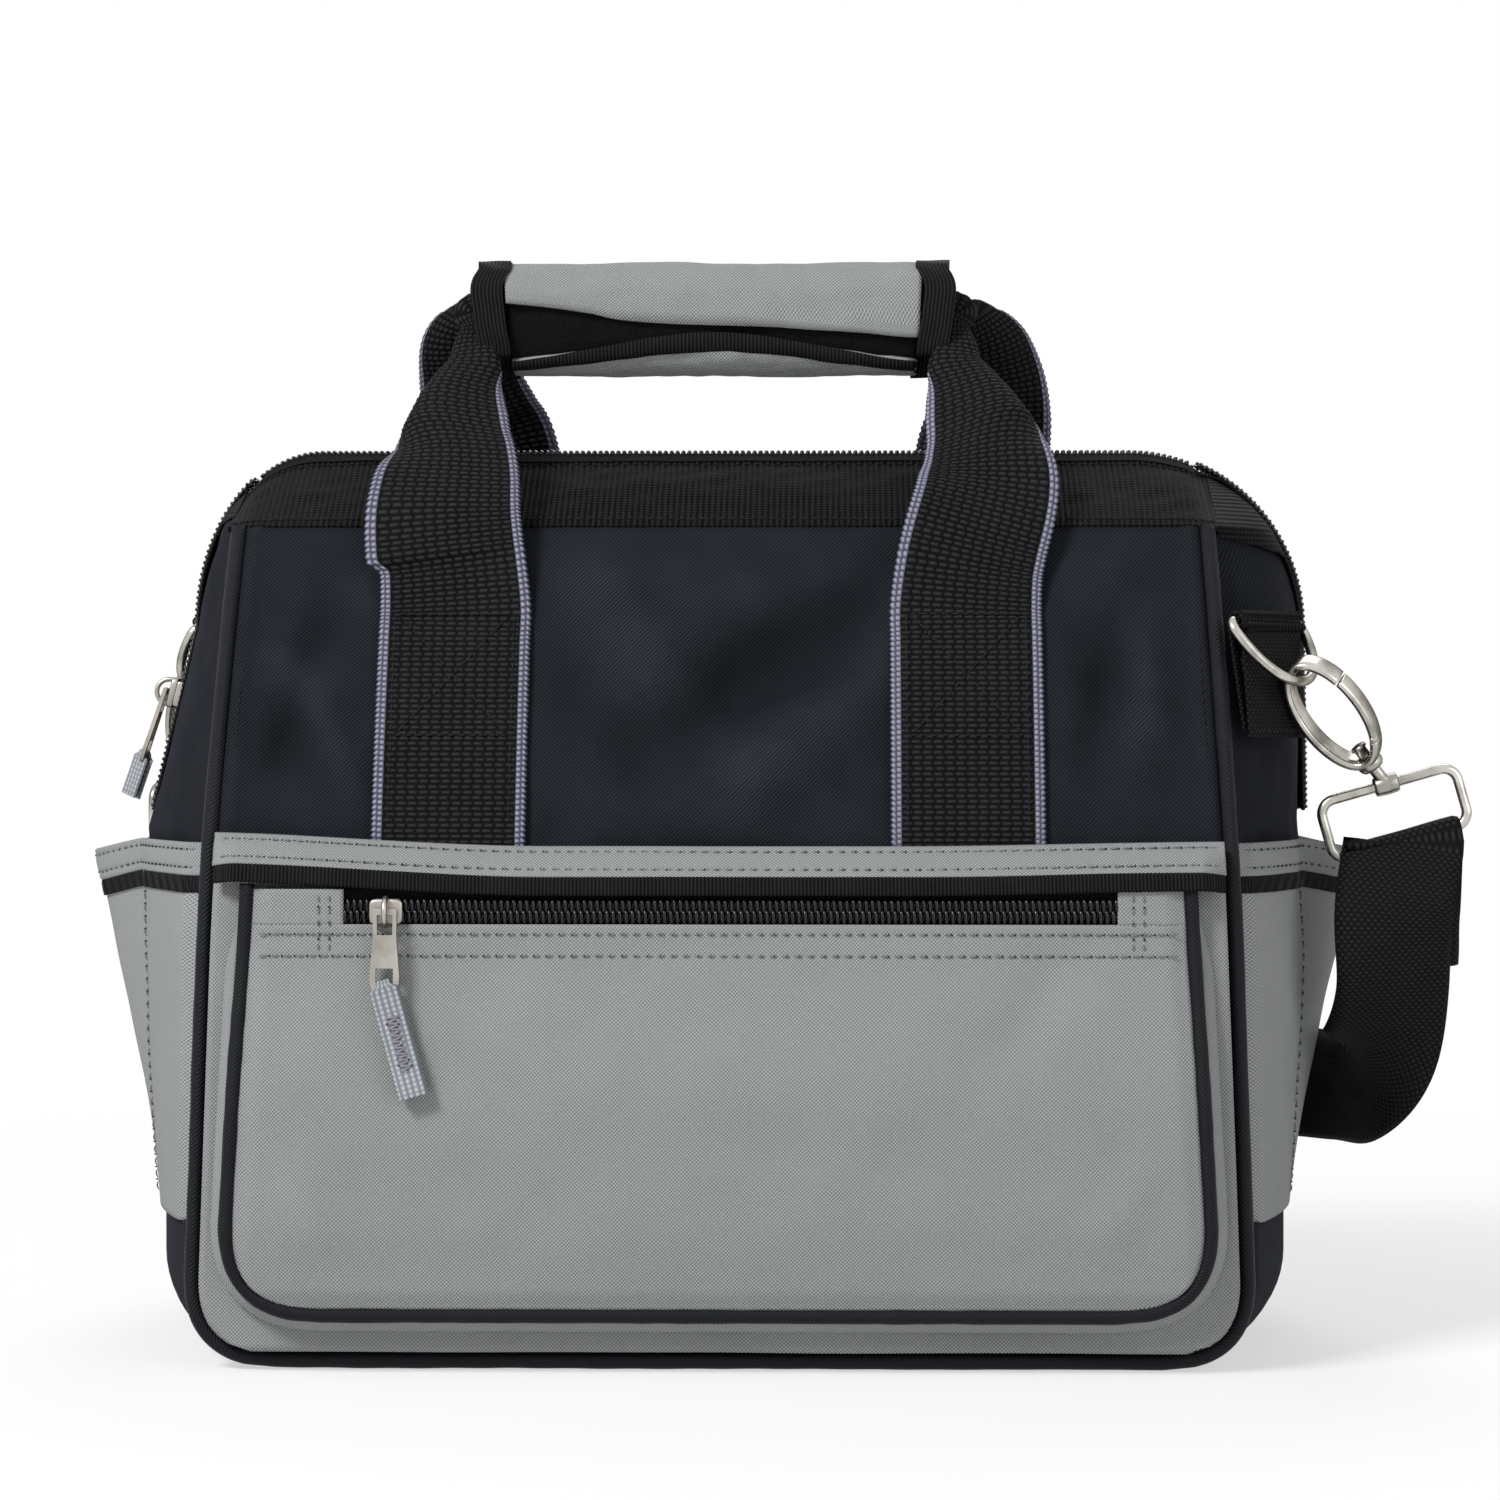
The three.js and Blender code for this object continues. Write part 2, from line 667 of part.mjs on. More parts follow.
function makeFrontZipTape() {
  const high = FRONT_ZIP_HEIGHT + FRONT_SLOT / 2;
  const face = -(POCKET_TOP_DEPTH - POCKET_WALL - CLEAR);
  const half = FRONT_ZIP_HALF + FRONT_TAPE_REACH;
  const outline = boxShape(FRONT_ZIP_MIDDLE - half, FRONT_ZIP_MIDDLE + half, high - FRONT_TAPE_HEIGHT, high);
  return prismY(outline, face, face + FRONT_TAPE);
}

// Interlocked teeth: both edges of the chain step in and out once for each tooth.
function makeFrontChain() {
  const half = FRONT_ZIP_HALF - CLEAR;
  const teeth = Math.floor((2 * half) / CHAIN_PITCH);
  const notch = CHAIN_HALF / 4;
  const edge = [];
  for (let i = 0; i <= teeth; i += 1) {
    const x = FRONT_ZIP_MIDDLE - half + (2 * half * i) / teeth;
    edge.push([x, CHAIN_HALF - (i % 2) * notch]);
  }
  const upper = edge.map(([x, z]) => new THREE.Vector2(x, FRONT_ZIP_HEIGHT + z));
  const lower = edge.map(([x, z]) => new THREE.Vector2(x, FRONT_ZIP_HEIGHT - z)).reverse();
  const back = -(POCKET_TOP_DEPTH - POCKET_WALL);
  return prismY(new THREE.Shape([...upper, ...lower]), back - CHAIN_RISE, back);
}

// Mouth
const LIP_END_STEPS = 5;

// Stations along a lip with the height of the mouth there, for a lip that may be turned to the rear.
function mouthStations(turned) {
  const stations = [];
  for (const [sign, side] of turned ? [[-1, "right"], [1, "left"]] : [[-1, "left"], [1, "right"]]) {
    for (let i = 0; i <= LIP_END_STEPS; i += 1) {
      const half = THREE.MathUtils.lerp(ARCH_FLAT, LIP_HALF_LENGTH, i / LIP_END_STEPS);
      stations.push({ x: sign * half, top: archHeight(side, half) });
    }
  }
  return stations.sort((a, b) => a.x - b.x);
}

function makeLip(turned) {
  const low = SEAM_HEIGHT + CLEAR;
  const run = SEAM_HALF_DEPTH - LIP_TOP_HALF_DEPTH;
  const outer = [];
  const inner = [];
  for (const { x, top } of mouthStations(turned)) {
    const slope = (top - low) / run;
    const across = LIP_THICKNESS * Math.hypot(1, 1 / slope);
    outer.push([new THREE.Vector3(x, -SEAM_HALF_DEPTH, low), new THREE.Vector3(x, -LIP_TOP_HALF_DEPTH, top)]);
    inner.push([
      new THREE.Vector3(x, -SEAM_HALF_DEPTH + across, low),
      new THREE.Vector3(x, -LIP_TOP_HALF_DEPTH, top - across * slope),
    ]);
  }
  return sheet(outer, inner);
}

function makeHalfChain(turned) {
  const depths = [-LIP_TOP_HALF_DEPTH + CLEAR, -CLEAR / 2];
  const rows = (rise) => mouthStations(turned).map(({ x, top }) => depths.map((y) => new THREE.Vector3(x, y, top + rise)));
  return sheet(rows(TRIM), rows(-LIP_THICKNESS));
}

// Handles
function makeAnchor(sign) {
  const half = HANDLE_WIDTH / 2;
  const outline = boxShape(sign * HANDLE_X - half, sign * HANDLE_X + half, ANCHOR_BOTTOM, ANCHOR_TOP);
  return cutFromPanel(CLEAR, CLEAR + WEBBING, outline);
}

const HANDLE_STEPS = 21;

// Webbing rises off the panel, gathers and turns into the grip: one half, from the sewn end to the middle.
function handleStations() {
  const seat = halfDepth(ANCHOR_TOP) + CLEAR + WEBBING / 2;
  const turn = GRIP_HEIGHT - ANCHOR_TOP;
  const rise = (share) => ANCHOR_TOP + CLEAR + share * turn;
  const route = new THREE.CatmullRomCurve3(
    [
      new THREE.Vector3(HANDLE_X, -seat - WEBBING, rise(0)),
      new THREE.Vector3(HANDLE_X + 2, -0.92 * seat, rise(0.3)),
      new THREE.Vector3(HANDLE_X + 8, -0.66 * seat, rise(0.58)),
      new THREE.Vector3(HANDLE_X + 12, -0.36 * seat, rise(0.8)),
      new THREE.Vector3(HANDLE_X + 8, -0.16 * seat, rise(0.95)),
      new THREE.Vector3(GRIP_HALF + 3, -GATHERED_OFFSET, GRIP_HEIGHT),
      new THREE.Vector3(GRIP_HALF / 2, -GATHERED_OFFSET, GRIP_HEIGHT),
      new THREE.Vector3(0, -GATHERED_OFFSET, GRIP_HEIGHT),
    ],
    false,
    "centripetal",
  );
  const stations = [];
  for (let i = 0; i <= HANDLE_STEPS; i += 1) {
    const share = i / HANDLE_STEPS;
    const at = route.getPoint(share);
    const along = route.getTangent(share);
    const gathered = THREE.MathUtils.smoothstep(share, 0.05, 0.7);
    stations.push({
      at,
      across: new THREE.Vector3(along.z, 0, -along.x).normalize(),
      half: THREE.MathUtils.lerp(HANDLE_WIDTH, GATHERED_WIDTH, gathered) / 2,
      thick: THREE.MathUtils.lerp(WEBBING, GATHERED_THICKNESS, gathered) / 2,
    });
  }
  stations[0].across.set(1, 0, 0);
  return stations;
}

function makeHandle() {
  const right = handleStations();
  const row = ({ at, across, half, thick }, sign, face) =>
    [-1, 1].map((edge) => {
      const x = sign * (at.x + edge * half * across.x);
      return new THREE.Vector3(x, at.y + face * thick, at.z + edge * half * across.z);
    });
  const rows = (face) => [
    ...right.map((station) => row(station, 1, face)),
    ...right
      .slice(0, -1)
      .reverse()
      .map((station) => row(station, -1, face)),
  ];
  return sheet(rows(-1), rows(1));
}

const WRAP_STEP_DEGREES = 8;

// Part of the rounded tube round both handles: 0 degrees is at the front, 90 on top.
function wrapSheet(fromDegrees, toDegrees, low, high, proud) {
  const steps = Math.ceil((toDegrees - fromDegrees) / WRAP_STEP_DEGREES);
  const point = (degrees, x, out) => {
    const angle = THREE.MathUtils.degToRad(degrees);
    const bend = (value) => Math.sign(value) * Math.abs(value) ** (2 / WRAP_POWER);
    const y = -(WRAP_HALF_DEPTH + out) * bend(Math.cos(angle));
    return new THREE.Vector3(x, y, GRIP_HEIGHT + (WRAP_HALF_HEIGHT + out) * bend(Math.sin(angle)));
  };
  const grid = (out) => {
    const rows = [];
    for (let i = 0; i <= steps; i += 1) {
      const degrees = THREE.MathUtils.lerp(fromDegrees, toDegrees, i / steps);
      rows.push([low, high].map((x) => point(degrees, x, out)));
    }
    return rows;
  };
  return sheet(grid(WRAP_THICKNESS + proud), grid(0));
}

// Zip slider and puller, drawn with X along the pivot, Y up the puller and Z out from the cloth.
function makeSlider(channelUp) {
  const half = SLIDER_HALF_LENGTH;
  const skirt = CHAIN_HALF + 1.7;
  const outline = channelUp ? boxShape(-skirt, skirt, -half, half) : boxShape(-half, half, -skirt, skirt);
  const groove = CHAIN_HALF + CLEAR;
  const channel = channelUp ? boxShape(-groove, groove, -FAR, FAR) : boxShape(-FAR, FAR, -groove, groove);
  const body = solidOf(extruded(outline, SLIDER_TOP + SLIDER_SKIRT).translate(0, 0, -SLIDER_SKIRT));
  const chainSpace = solidOf(extruded(channel, SLIDER_SKIRT + 2 * CLEAR).translate(0, 0, -SLIDER_SKIRT - CLEAR));
  const reach = CROWN_HEIGHT + CROWN_BAR;
  const crown = new THREE.Shape();
  crown.moveTo(-half + CLEAR, 0);
  crown.lineTo(half - CLEAR, 0);
  crown.lineTo(half - CLEAR - CROWN_BAR, reach - CROWN_BAR);
  crown.quadraticCurveTo(0, reach + CROWN_BAR, -half + CLEAR + CROWN_BAR, reach - CROWN_BAR);
  const tunnel = new THREE.Path();
  tunnel.moveTo(-half + 2 * CROWN_BAR, CROWN_BAR / 2);
  tunnel.lineTo(half - 2 * CROWN_BAR, CROWN_BAR / 2);
  tunnel.lineTo(half - 2 * CROWN_BAR, CROWN_HEIGHT - CROWN_BAR);
  tunnel.quadraticCurveTo(0, CROWN_HEIGHT + CROWN_BAR / 2, -half + 2 * CROWN_BAR, CROWN_HEIGHT - CROWN_BAR);
  crown.holes.push(tunnel);
  const arch = extruded(crown, 2 * CROWN_HALF_WIDTH, 4).translate(0, 0, -CROWN_HALF_WIDTH);
  const raised = placed(arch, new THREE.Vector3(0, 0, SLIDER_TOP - CROWN_BAR / 2), Y, Z, X);
  return body.subtract(chainSpace).add(solidOf(raised));
}

const PULLER_PIVOT = SLIDER_TOP + CROWN_HEIGHT / 2 - CROWN_BAR / 2;
const PULLER_RIM = 1;
const PULLER_EYE = 7.5;
const PULLER_SLOT = 5.4;
const PULLER_FOOT = 2.4;

function makePuller() {
  const half = PULLER_WIDTH / 2;
  const neck = half - TRIM;
  const shape = new THREE.Shape();
  shape.moveTo(-neck, PULLER_RIM);
  shape.lineTo(-neck, -PULLER_EYE - PULLER_RIM);
  shape.lineTo(-half, -PULLER_LENGTH + PULLER_SLOT);
  shape.quadraticCurveTo(-half, -PULLER_LENGTH, -neck + TRIM, -PULLER_LENGTH);
  shape.lineTo(neck - TRIM, -PULLER_LENGTH);
  shape.quadraticCurveTo(half, -PULLER_LENGTH, half, -PULLER_LENGTH + PULLER_SLOT);
  shape.lineTo(neck, -PULLER_EYE - PULLER_RIM);
  shape.lineTo(neck, PULLER_RIM);
  const eyeHalf = CROWN_HALF_WIDTH + 3 * CLEAR;
  shape.holes.push(boxShape(-eyeHalf, eyeHalf, -PULLER_EYE, -PULLER_RIM));
  const slotHalf = half - 2 * TRIM;
  const slotLow = -PULLER_LENGTH + PULLER_FOOT;
  shape.holes.push(boxShape(-slotHalf, slotHalf, slotLow, slotLow + PULLER_SLOT));
  return extruded(shape, PULLER_THICKNESS, 4).translate(0, 0, -PULLER_THICKNESS / 2);
}

// Folded tape threaded through the puller's slot: a narrow fold above, the full width below.
function makePullTape(length) {
  const layer = TRIM;
  const gap = PULLER_THICKNESS / 2 + CLEAR;
  const foldHalf = PULLER_WIDTH / 2 - 2 * TRIM - 3 * CLEAR;
  const above = PULLER_FOOT / 2 + 4 * CLEAR;
  const below = PULLER_FOOT / 2 + 5 * CLEAR;
  const profile = boxShape(-gap - layer, gap + layer, -below - 2 * layer, above + layer);
  profile.holes.push(boxShape(-gap, gap, -below, above));
  const fold = extruded(profile, 2 * foldHalf).translate(0, 0, -foldHalf);
  const threaded = solidOf(placed(fold, new THREE.Vector3(), Z, Y, new THREE.Vector3(-1, 0, 0)));
  const wide = PULL_TAPE_WIDTH / 2;
  const flat = extruded(boxShape(-wide, wide, -length, -below - layer), 2 * layer).translate(0, 0, -layer);
  return threaded.add(solidOf(flat));
}

// D-ring, hook and swivel of one side
function surfaceFrame(side, depth, z) {
  const step = 6;
  const surface = (y, height) => gussetPoint(side, y / (halfDepth(height) - GUSSET_START), height, 0);
  const sign = side === "left" ? -1 : 1;
  const along = surface(depth + step, z).sub(surface(depth - step, z)).normalize().multiplyScalar(sign);
  const up = surface(depth, z + step).sub(surface(depth, z - step)).normalize();
  const out = along.clone().cross(up).normalize();
  up.copy(out).cross(along);
  const origin = surface(depth, z).addScaledVector(out, TAB_SEAT);
  const hang = up.clone().multiplyScalar(-Math.cos(RING_TILT)).addScaledVector(out, Math.sin(RING_TILT));
  return { origin, along, up, out, hang };
}

const TAB_MIDDLE = (TAB_BOTTOM + RING_HEIGHT) / 2;
const RING_OUT = CLEAR + TAB_LAYERS + CLEAR + RING_WIRE;
const RING_EYE = RING_WIRE + 2 * CLEAR;
const FOLD_RADIUS = RING_EYE + WEBBING;

// Tab sewn flat to the gusset, its upper end folded round the bar of the D-ring.
function makeTab(side, frame) {
  const foot = TAB_BOTTOM - TAB_MIDDLE;
  const high = RING_HEIGHT - TAB_MIDDLE;
  const shape = new THREE.Shape();
  shape.moveTo(-TAB_SEAT, foot);
  shape.lineTo(CLEAR + TAB_LAYERS, foot);
  shape.lineTo(CLEAR + TAB_LAYERS, high - FOLD_RADIUS);
  shape.absarc(RING_OUT, high, FOLD_RADIUS, 1.3 * Math.PI, 2.85 * Math.PI);
  shape.lineTo(-TAB_SEAT, high);
  const eye = new THREE.Path();
  eye.absarc(RING_OUT, high, RING_EYE, 0, 2 * Math.PI);
  shape.holes.push(eye);
  const strip = extruded(shape, TAB_WIDTH, 6).translate(0, 0, -TAB_WIDTH / 2);
  const folded = solidOf(placed(strip, frame.origin, frame.out, frame.up, frame.along.clone().negate()));
  const low = BASE_TURN_UP + CLEAR;
  const bulk = gussetSheet(side, low, archHeight(side, HALF_TOP), -8 * WALL, CLEAR, false);
  const seam = pipingAlong(seamOutline(), halfDepth, PIPING_SEAT, PIPING_RADIUS + CLEAR);
  return folded.subtract(solidOf(bulk)).subtract(solidOf(seam));
}

function ringCentre(frame) {
  const rise = RING_HEIGHT - TAB_MIDDLE;
  return frame.origin.clone().addScaledVector(frame.out, RING_OUT).addScaledVector(frame.up, rise);
}

function ringPoint(frame, angle) {
  return ringCentre(frame)
    .addScaledVector(frame.along, RING_HALF_WIDTH * Math.cos(angle))
    .addScaledVector(frame.hang, RING_DROP * Math.sin(angle));
}

const RING_ARC_STEPS = 14;
const RING_BAR_STEPS = 6;

function makeRing(frame) {
  const points = [];
  for (let i = 0; i < RING_ARC_STEPS; i += 1) {
    points.push(ringPoint(frame, (Math.PI * i) / RING_ARC_STEPS));
  }
  for (let i = 0; i < RING_BAR_STEPS; i += 1) {
    const x = THREE.MathUtils.lerp(-RING_HALF_WIDTH, RING_HALF_WIDTH, i / RING_BAR_STEPS);
    points.push(ringCentre(frame).addScaledVector(frame.along, x));
  }
  return closedWire(points, RING_WIRE, 34, 7);
}

// Where one hook hangs: the wire point inside its eye, its own three directions and those of its loop.
function hangerFrame(frame, ringAngle, down, loopAcross) {
  const wire = ringPoint(frame, ringAngle);
  const tangent = ringPoint(frame, ringAngle - 0.05).sub(ringPoint(frame, ringAngle + 0.05));
  const axis = tangent.addScaledVector(down, -tangent.dot(down)).normalize();
  const across = down.clone().cross(axis).normalize();
  const knuckle = wire.clone().addScaledVector(down, SWIVEL_LENGTH);
  const drop = new THREE.Vector3(0, 0, -1);
  drop.addScaledVector(loopAcross, -drop.dot(loopAcross)).normalize();
  return { wire, down, across, axis, knuckle, loopAcross, drop };
}

const HOOK_CENTRE = HOOK_HALF_LENGTH - HOOK_BAND - RING_WIRE - HOOK_PLAY;

function hookBand(hanger) {
  const shape = new THREE.Shape();
  shape.absellipse(HOOK_CENTRE, 0, HOOK_HALF_LENGTH, HOOK_HALF_WIDTH, 0, 2 * Math.PI);
  const eye = new THREE.Path();
  eye.absellipse(HOOK_CENTRE, 0, HOOK_HALF_LENGTH - HOOK_BAND, HOOK_HALF_WIDTH - HOOK_BAND, 0, 2 * Math.PI);
  shape.holes.push(eye);
  return hookBlock(hanger, shape, HOOK_BAND_WIDTH, 14);
}

// An outline in the hook's own plane, given a width along the eye's axis.
function hookBlock(hanger, shape, width, segments) {
  const block = extruded(shape, width, segments).translate(0, 0, -width / 2);
  const third = hanger.down.clone().cross(hanger.across);
  return solidOf(placed(block, hanger.wire, hanger.down, hanger.across, third));
}

function gateRegion(hanger, from, to, width) {
  const low = (HOOK_HALF_WIDTH - HOOK_BAND) / 2;
  return hookBlock(hanger, boxShape(from, to, low, 2 * HOOK_HALF_WIDTH), width, 4);
}

function hookPoint(hanger, along) {
  return hanger.wire.clone().addScaledVector(hanger.down, along);
}

function makeHook(hanger) {
  const end = HOOK_CENTRE + HOOK_HALF_LENGTH;
  const open = gateRegion(hanger, GATE_FROM, GATE_TO, 2 * HOOK_BAND_WIDTH);
  const collar = cylinderAlong(hookPoint(hanger, end - HOOK_BAND / 2), hanger.down, HOOK_BAND, SWIVEL_COLLAR);
  const bore = cylinderAlong(
    hookPoint(hanger, end - 2 * HOOK_BAND),
    hanger.down,
    4 * HOOK_BAND,
    SWIVEL_POST + CLEAR,
  );
  return hookBand(hanger).subtract(open).add(collar).subtract(bore);
}

function makeGate(hanger) {
  const region = gateRegion(hanger, GATE_FROM + GATE_TIP_GAP, GATE_TO - CLEAR, HOOK_BAND_WIDTH - 2 * CLEAR);
  return hookBand(hanger).intersect(region);
}

// Swivel post with its head inside the hook, the knuckle under it and the wire loop that holds the strap.
function makeLoop(hanger) {
  const { knuckle, loopAcross, drop } = hanger;
  const end = HOOK_CENTRE + HOOK_HALF_LENGTH - HOOK_BAND;
  const headAt = end - 1.5 * HOOK_BAND;
  const post = cylinderAlong(hookPoint(hanger, headAt), hanger.down, SWIVEL_LENGTH - headAt, SWIVEL_POST);
  const head = cylinderAlong(hookPoint(hanger, headAt), hanger.down, HOOK_BAND / 2, SWIVEL_HEAD);
  const barrelStart = knuckle.clone().addScaledVector(loopAcross, -KNUCKLE_LENGTH / 2);
  const barrel = cylinderAlong(barrelStart, loopAcross, KNUCKLE_LENGTH, KNUCKLE_RADIUS);
  const outline = new THREE.Shape();
  const x = LOOP_HALF_WIDTH - LOOP_CORNER;
  const z = LOOP_DROP - LOOP_CORNER;
  outline.absarc(x, LOOP_CORNER, LOOP_CORNER, -Math.PI / 2, 0);
  outline.absarc(x, z, LOOP_CORNER, 0, Math.PI / 2);
  outline.absarc(-x, z, LOOP_CORNER, Math.PI / 2, Math.PI);
  outline.absarc(-x, LOOP_CORNER, LOOP_CORNER, Math.PI, 1.5 * Math.PI);
  const points = outline.getPoints(4).map((p) =>
    knuckle.clone().addScaledVector(loopAcross, p.x).addScaledVector(drop, p.y),
  );
  const wire = closedWire(points, LOOP_WIRE, 36, 7);
  return post.add(head).add(barrel).add(wire);
}

// Assembly
const bag = new THREE.Group();
bag.name = "tool_tote_bag";
const front = new THREE.Group();
const rear = new THREE.Group();
rear.rotation.z = Math.PI;
bag.add(front, rear);

addMesh(bag, "base_panel", makeBase(), BLACK_CLOTH);
addMesh(bag, "base_board", makeBoard(), BOARD_PLASTIC);

for (const [name, face, leftSign] of [
  ["front", front, -1],
  ["rear", rear, 1],
]) {
  const panel = cutFromPanel(-WALL, 0, panelOutline(PANEL_INSET, SEAM_HEIGHT));
  addMesh(face, `${name}_panel`, panel, BLACK_CLOTH);
  addMesh(face, `${name}_piping`, pipingAlong(seamOutline(), halfDepth, PIPING_SEAT, PIPING_RADIUS), BLACK_PIPING);
  const lower = cutFromPanel(LOWER_IN, LOWER_OUT, panelOutline(PANEL_INSET, HEM_TOP));
  addMesh(face, `${name}_lower_panel`, lower, GREY_CLOTH);
  const trimIn = LOWER_OUT + CLEAR;
  const hem = cutFromPanel(trimIn, trimIn + TRIM, bandOutline(PANEL_INSET, HEM_LOW, HEM_TOP));
  addMesh(face, `${name}_hem`, hem, GREY_CLOTH);
  const tape = cutFromPanel(trimIn, trimIn + TRIM, bandOutline(PANEL_INSET, TAPE_LOW, HEM_LOW - CLEAR));
  addMesh(face, `${name}_tape`, tape, BLACK_WEBBING);
  addMesh(face, `${name}_handle_end_left`, makeAnchor(leftSign), BLACK_WEBBING);
  addMesh(face, `${name}_handle_end_right`, makeAnchor(-leftSign), BLACK_WEBBING);
  addMesh(face, `${name}_top_band`, makeLip(face === rear), BLACK_WEBBING);
  addMesh(face, `${name}_zip_half`, makeHalfChain(face === rear), ZIP_BLACK);
  addMesh(face, `${name}_handle`, makeHandle(), BLACK_WEBBING);
}

addMesh(front, "front_pocket", makeFrontPocket(), GREY_CLOTH);
addMesh(
  front,
  "front_pocket_piping",
  pipingAlong(pocketOutline(POCKET_PIPING_RADIUS, POCKET_TOP), pocketDepth, POCKET_PIPING_RADIUS, POCKET_PIPING_RADIUS),
  BLACK_PIPING,
);
addMesh(front, "front_zip_tape", makeFrontZipTape(), ZIP_BLACK);
addMesh(front, "front_zip_chain", makeFrontChain(), ZIP_BLACK);

for (const side of ["left", "right"]) {
  addMesh(bag, `${side}_gusset`, makeGusset(side), BLACK_CLOTH);
  const low = BASE_TURN_UP + CLEAR;
  addMesh(bag, `${side}_side_pocket`, gussetSheet(side, low, HEM_TOP, CLEAR, CLEAR + LOWER_WALL, true), GREY_CLOTH);
  const trimIn = CLEAR + LOWER_WALL + CLEAR;
  addMesh(bag, `${side}_side_hem`, gussetSheet(side, HEM_LOW, HEM_TOP, trimIn, trimIn + TRIM, true), GREY_CLOTH);
  const tape = gussetSheet(side, TAPE_LOW, HEM_LOW - CLEAR, trimIn, trimIn + TRIM, true);
  addMesh(bag, `${side}_side_tape`, tape, BLACK_WEBBING);
  addMesh(bag, `${side}_zip_tape`, zipRibbon(side, ZIP_SLOT / 2 - CLEAR, -ZIP_TAPE, 0), ZIP_BLACK);
  addMesh(bag, `${side}_zip_chain`, zipRibbon(side, CHAIN_HALF, CLEAR, CLEAR + CHAIN_RISE), ZIP_BLACK);
}

addMesh(bag, "grip_wrap", wrapSheet(WRAP_FROM, WRAP_TO, BINDING_WIDTH - GRIP_HALF + CLEAR, GRIP_HALF - BINDING_WIDTH - CLEAR, 0), GREY_CLOTH);
addMesh(bag, "grip_flap", wrapSheet(WRAP_TO + 2, FLAP_TO, BINDING_WIDTH - GRIP_HALF + CLEAR, GRIP_HALF - BINDING_WIDTH - CLEAR, 0), GREY_CLOTH);
for (const [side, sign] of [
  ["left", -1],
  ["right", 1],
]) {
  const ends = [sign * (GRIP_HALF - BINDING_WIDTH), sign * GRIP_HALF].sort((a, b) => a - b);
  addMesh(bag, `grip_binding_${side}`, wrapSheet(WRAP_FROM, WRAP_TO, ...ends, CLEAR), BLACK_PIPING);
}

// A slider with its puller and pull tape, set with its pivot axis, its upward and its outward direction.
function addSlider(name, origin, pivotAxis, up, channelUp, sway) {
  const out = pivotAxis.clone().cross(up);
  const slider = new THREE.Group();
  const turn = new THREE.Matrix4().makeBasis(pivotAxis, up, out);
  slider.quaternion.setFromRotationMatrix(turn);
  slider.position.copy(origin);
  bag.add(slider);
  addMesh(slider, `${name}_slider`, makeSlider(channelUp), SATIN_NICKEL);
  const puller = new THREE.Group();
  puller.position.set(0, 0, PULLER_PIVOT);
  puller.rotation.x = -PULLER_LEAN;
  slider.add(puller);
  addMesh(puller, `${name}_puller`, makePuller(), NICKEL);
  const tape = addMesh(puller, `${name}_pull_tape`, makePullTape(PULL_TAPE_LENGTH[name]), GREY_CLOTH);
  tape.position.set(0, -PULLER_LENGTH + PULLER_FOOT / 2, 0);
  tape.rotation.z = sway;
}

const chainFront = POCKET_TOP_DEPTH - POCKET_WALL + CHAIN_RISE;
const frontSlider = new THREE.Vector3(FRONT_SLIDER_X, -chainFront, FRONT_ZIP_HEIGHT);
addSlider("front", frontSlider, X, Z, false, PULL_TAPE_SWAY);

const runUp = new THREE.Vector3(MID_HEM - MID_SHOULDER.left, 0, SHOULDER_HEIGHT - HEM_TOP).normalize();
const runOut = MINUS_Y.clone().cross(runUp);
const mainSlider = new THREE.Vector3(-midHalf("left", MAIN_SLIDER_Z), 0, MAIN_SLIDER_Z);
mainSlider.addScaledVector(runOut, CLEAR + CHAIN_RISE);
addSlider("main", mainSlider, MINUS_Y, runUp, true, 0);

// How each hook hangs: the side of the gusset that its tab is on, the place of its eye on the ring,
// the way that it points and the way that its strap loop lies.
const HANGING = {
  left: {
    depth: TAB_DEPTH.left,
    ringAngle: 1.85,
    down: new THREE.Vector3(-0.25, 0.45, -0.86).normalize(),
    loopAcross: new THREE.Vector3(0.3, 0.95, 0).normalize(),
  },
  right: {
    depth: -TAB_DEPTH.right,
    ringAngle: 1.3,
    down: new THREE.Vector3(0.6, 0.16, -0.78).normalize(),
    loopAcross: new THREE.Vector3(0.96, 0, 0.275).normalize(),
  },
};

const hangers = {};
for (const [side, { depth, ringAngle, down, loopAcross }] of Object.entries(HANGING)) {
  const frame = surfaceFrame(side, depth, TAB_MIDDLE);
  const hanger = hangerFrame(frame, ringAngle, down, loopAcross);
  hangers[side] = hanger;
  addMesh(bag, `${side}_d_tab`, makeTab(side, frame), BLACK_WEBBING);
  addMesh(bag, `${side}_d_ring`, makeRing(frame), NICKEL);
  addMesh(bag, `${side}_hook`, makeHook(hanger), NICKEL);
  addMesh(bag, `${side}_hook_gate`, makeGate(hanger), NICKEL);
  addMesh(bag, `${side}_strap_loop`, makeLoop(hanger), NICKEL);
}

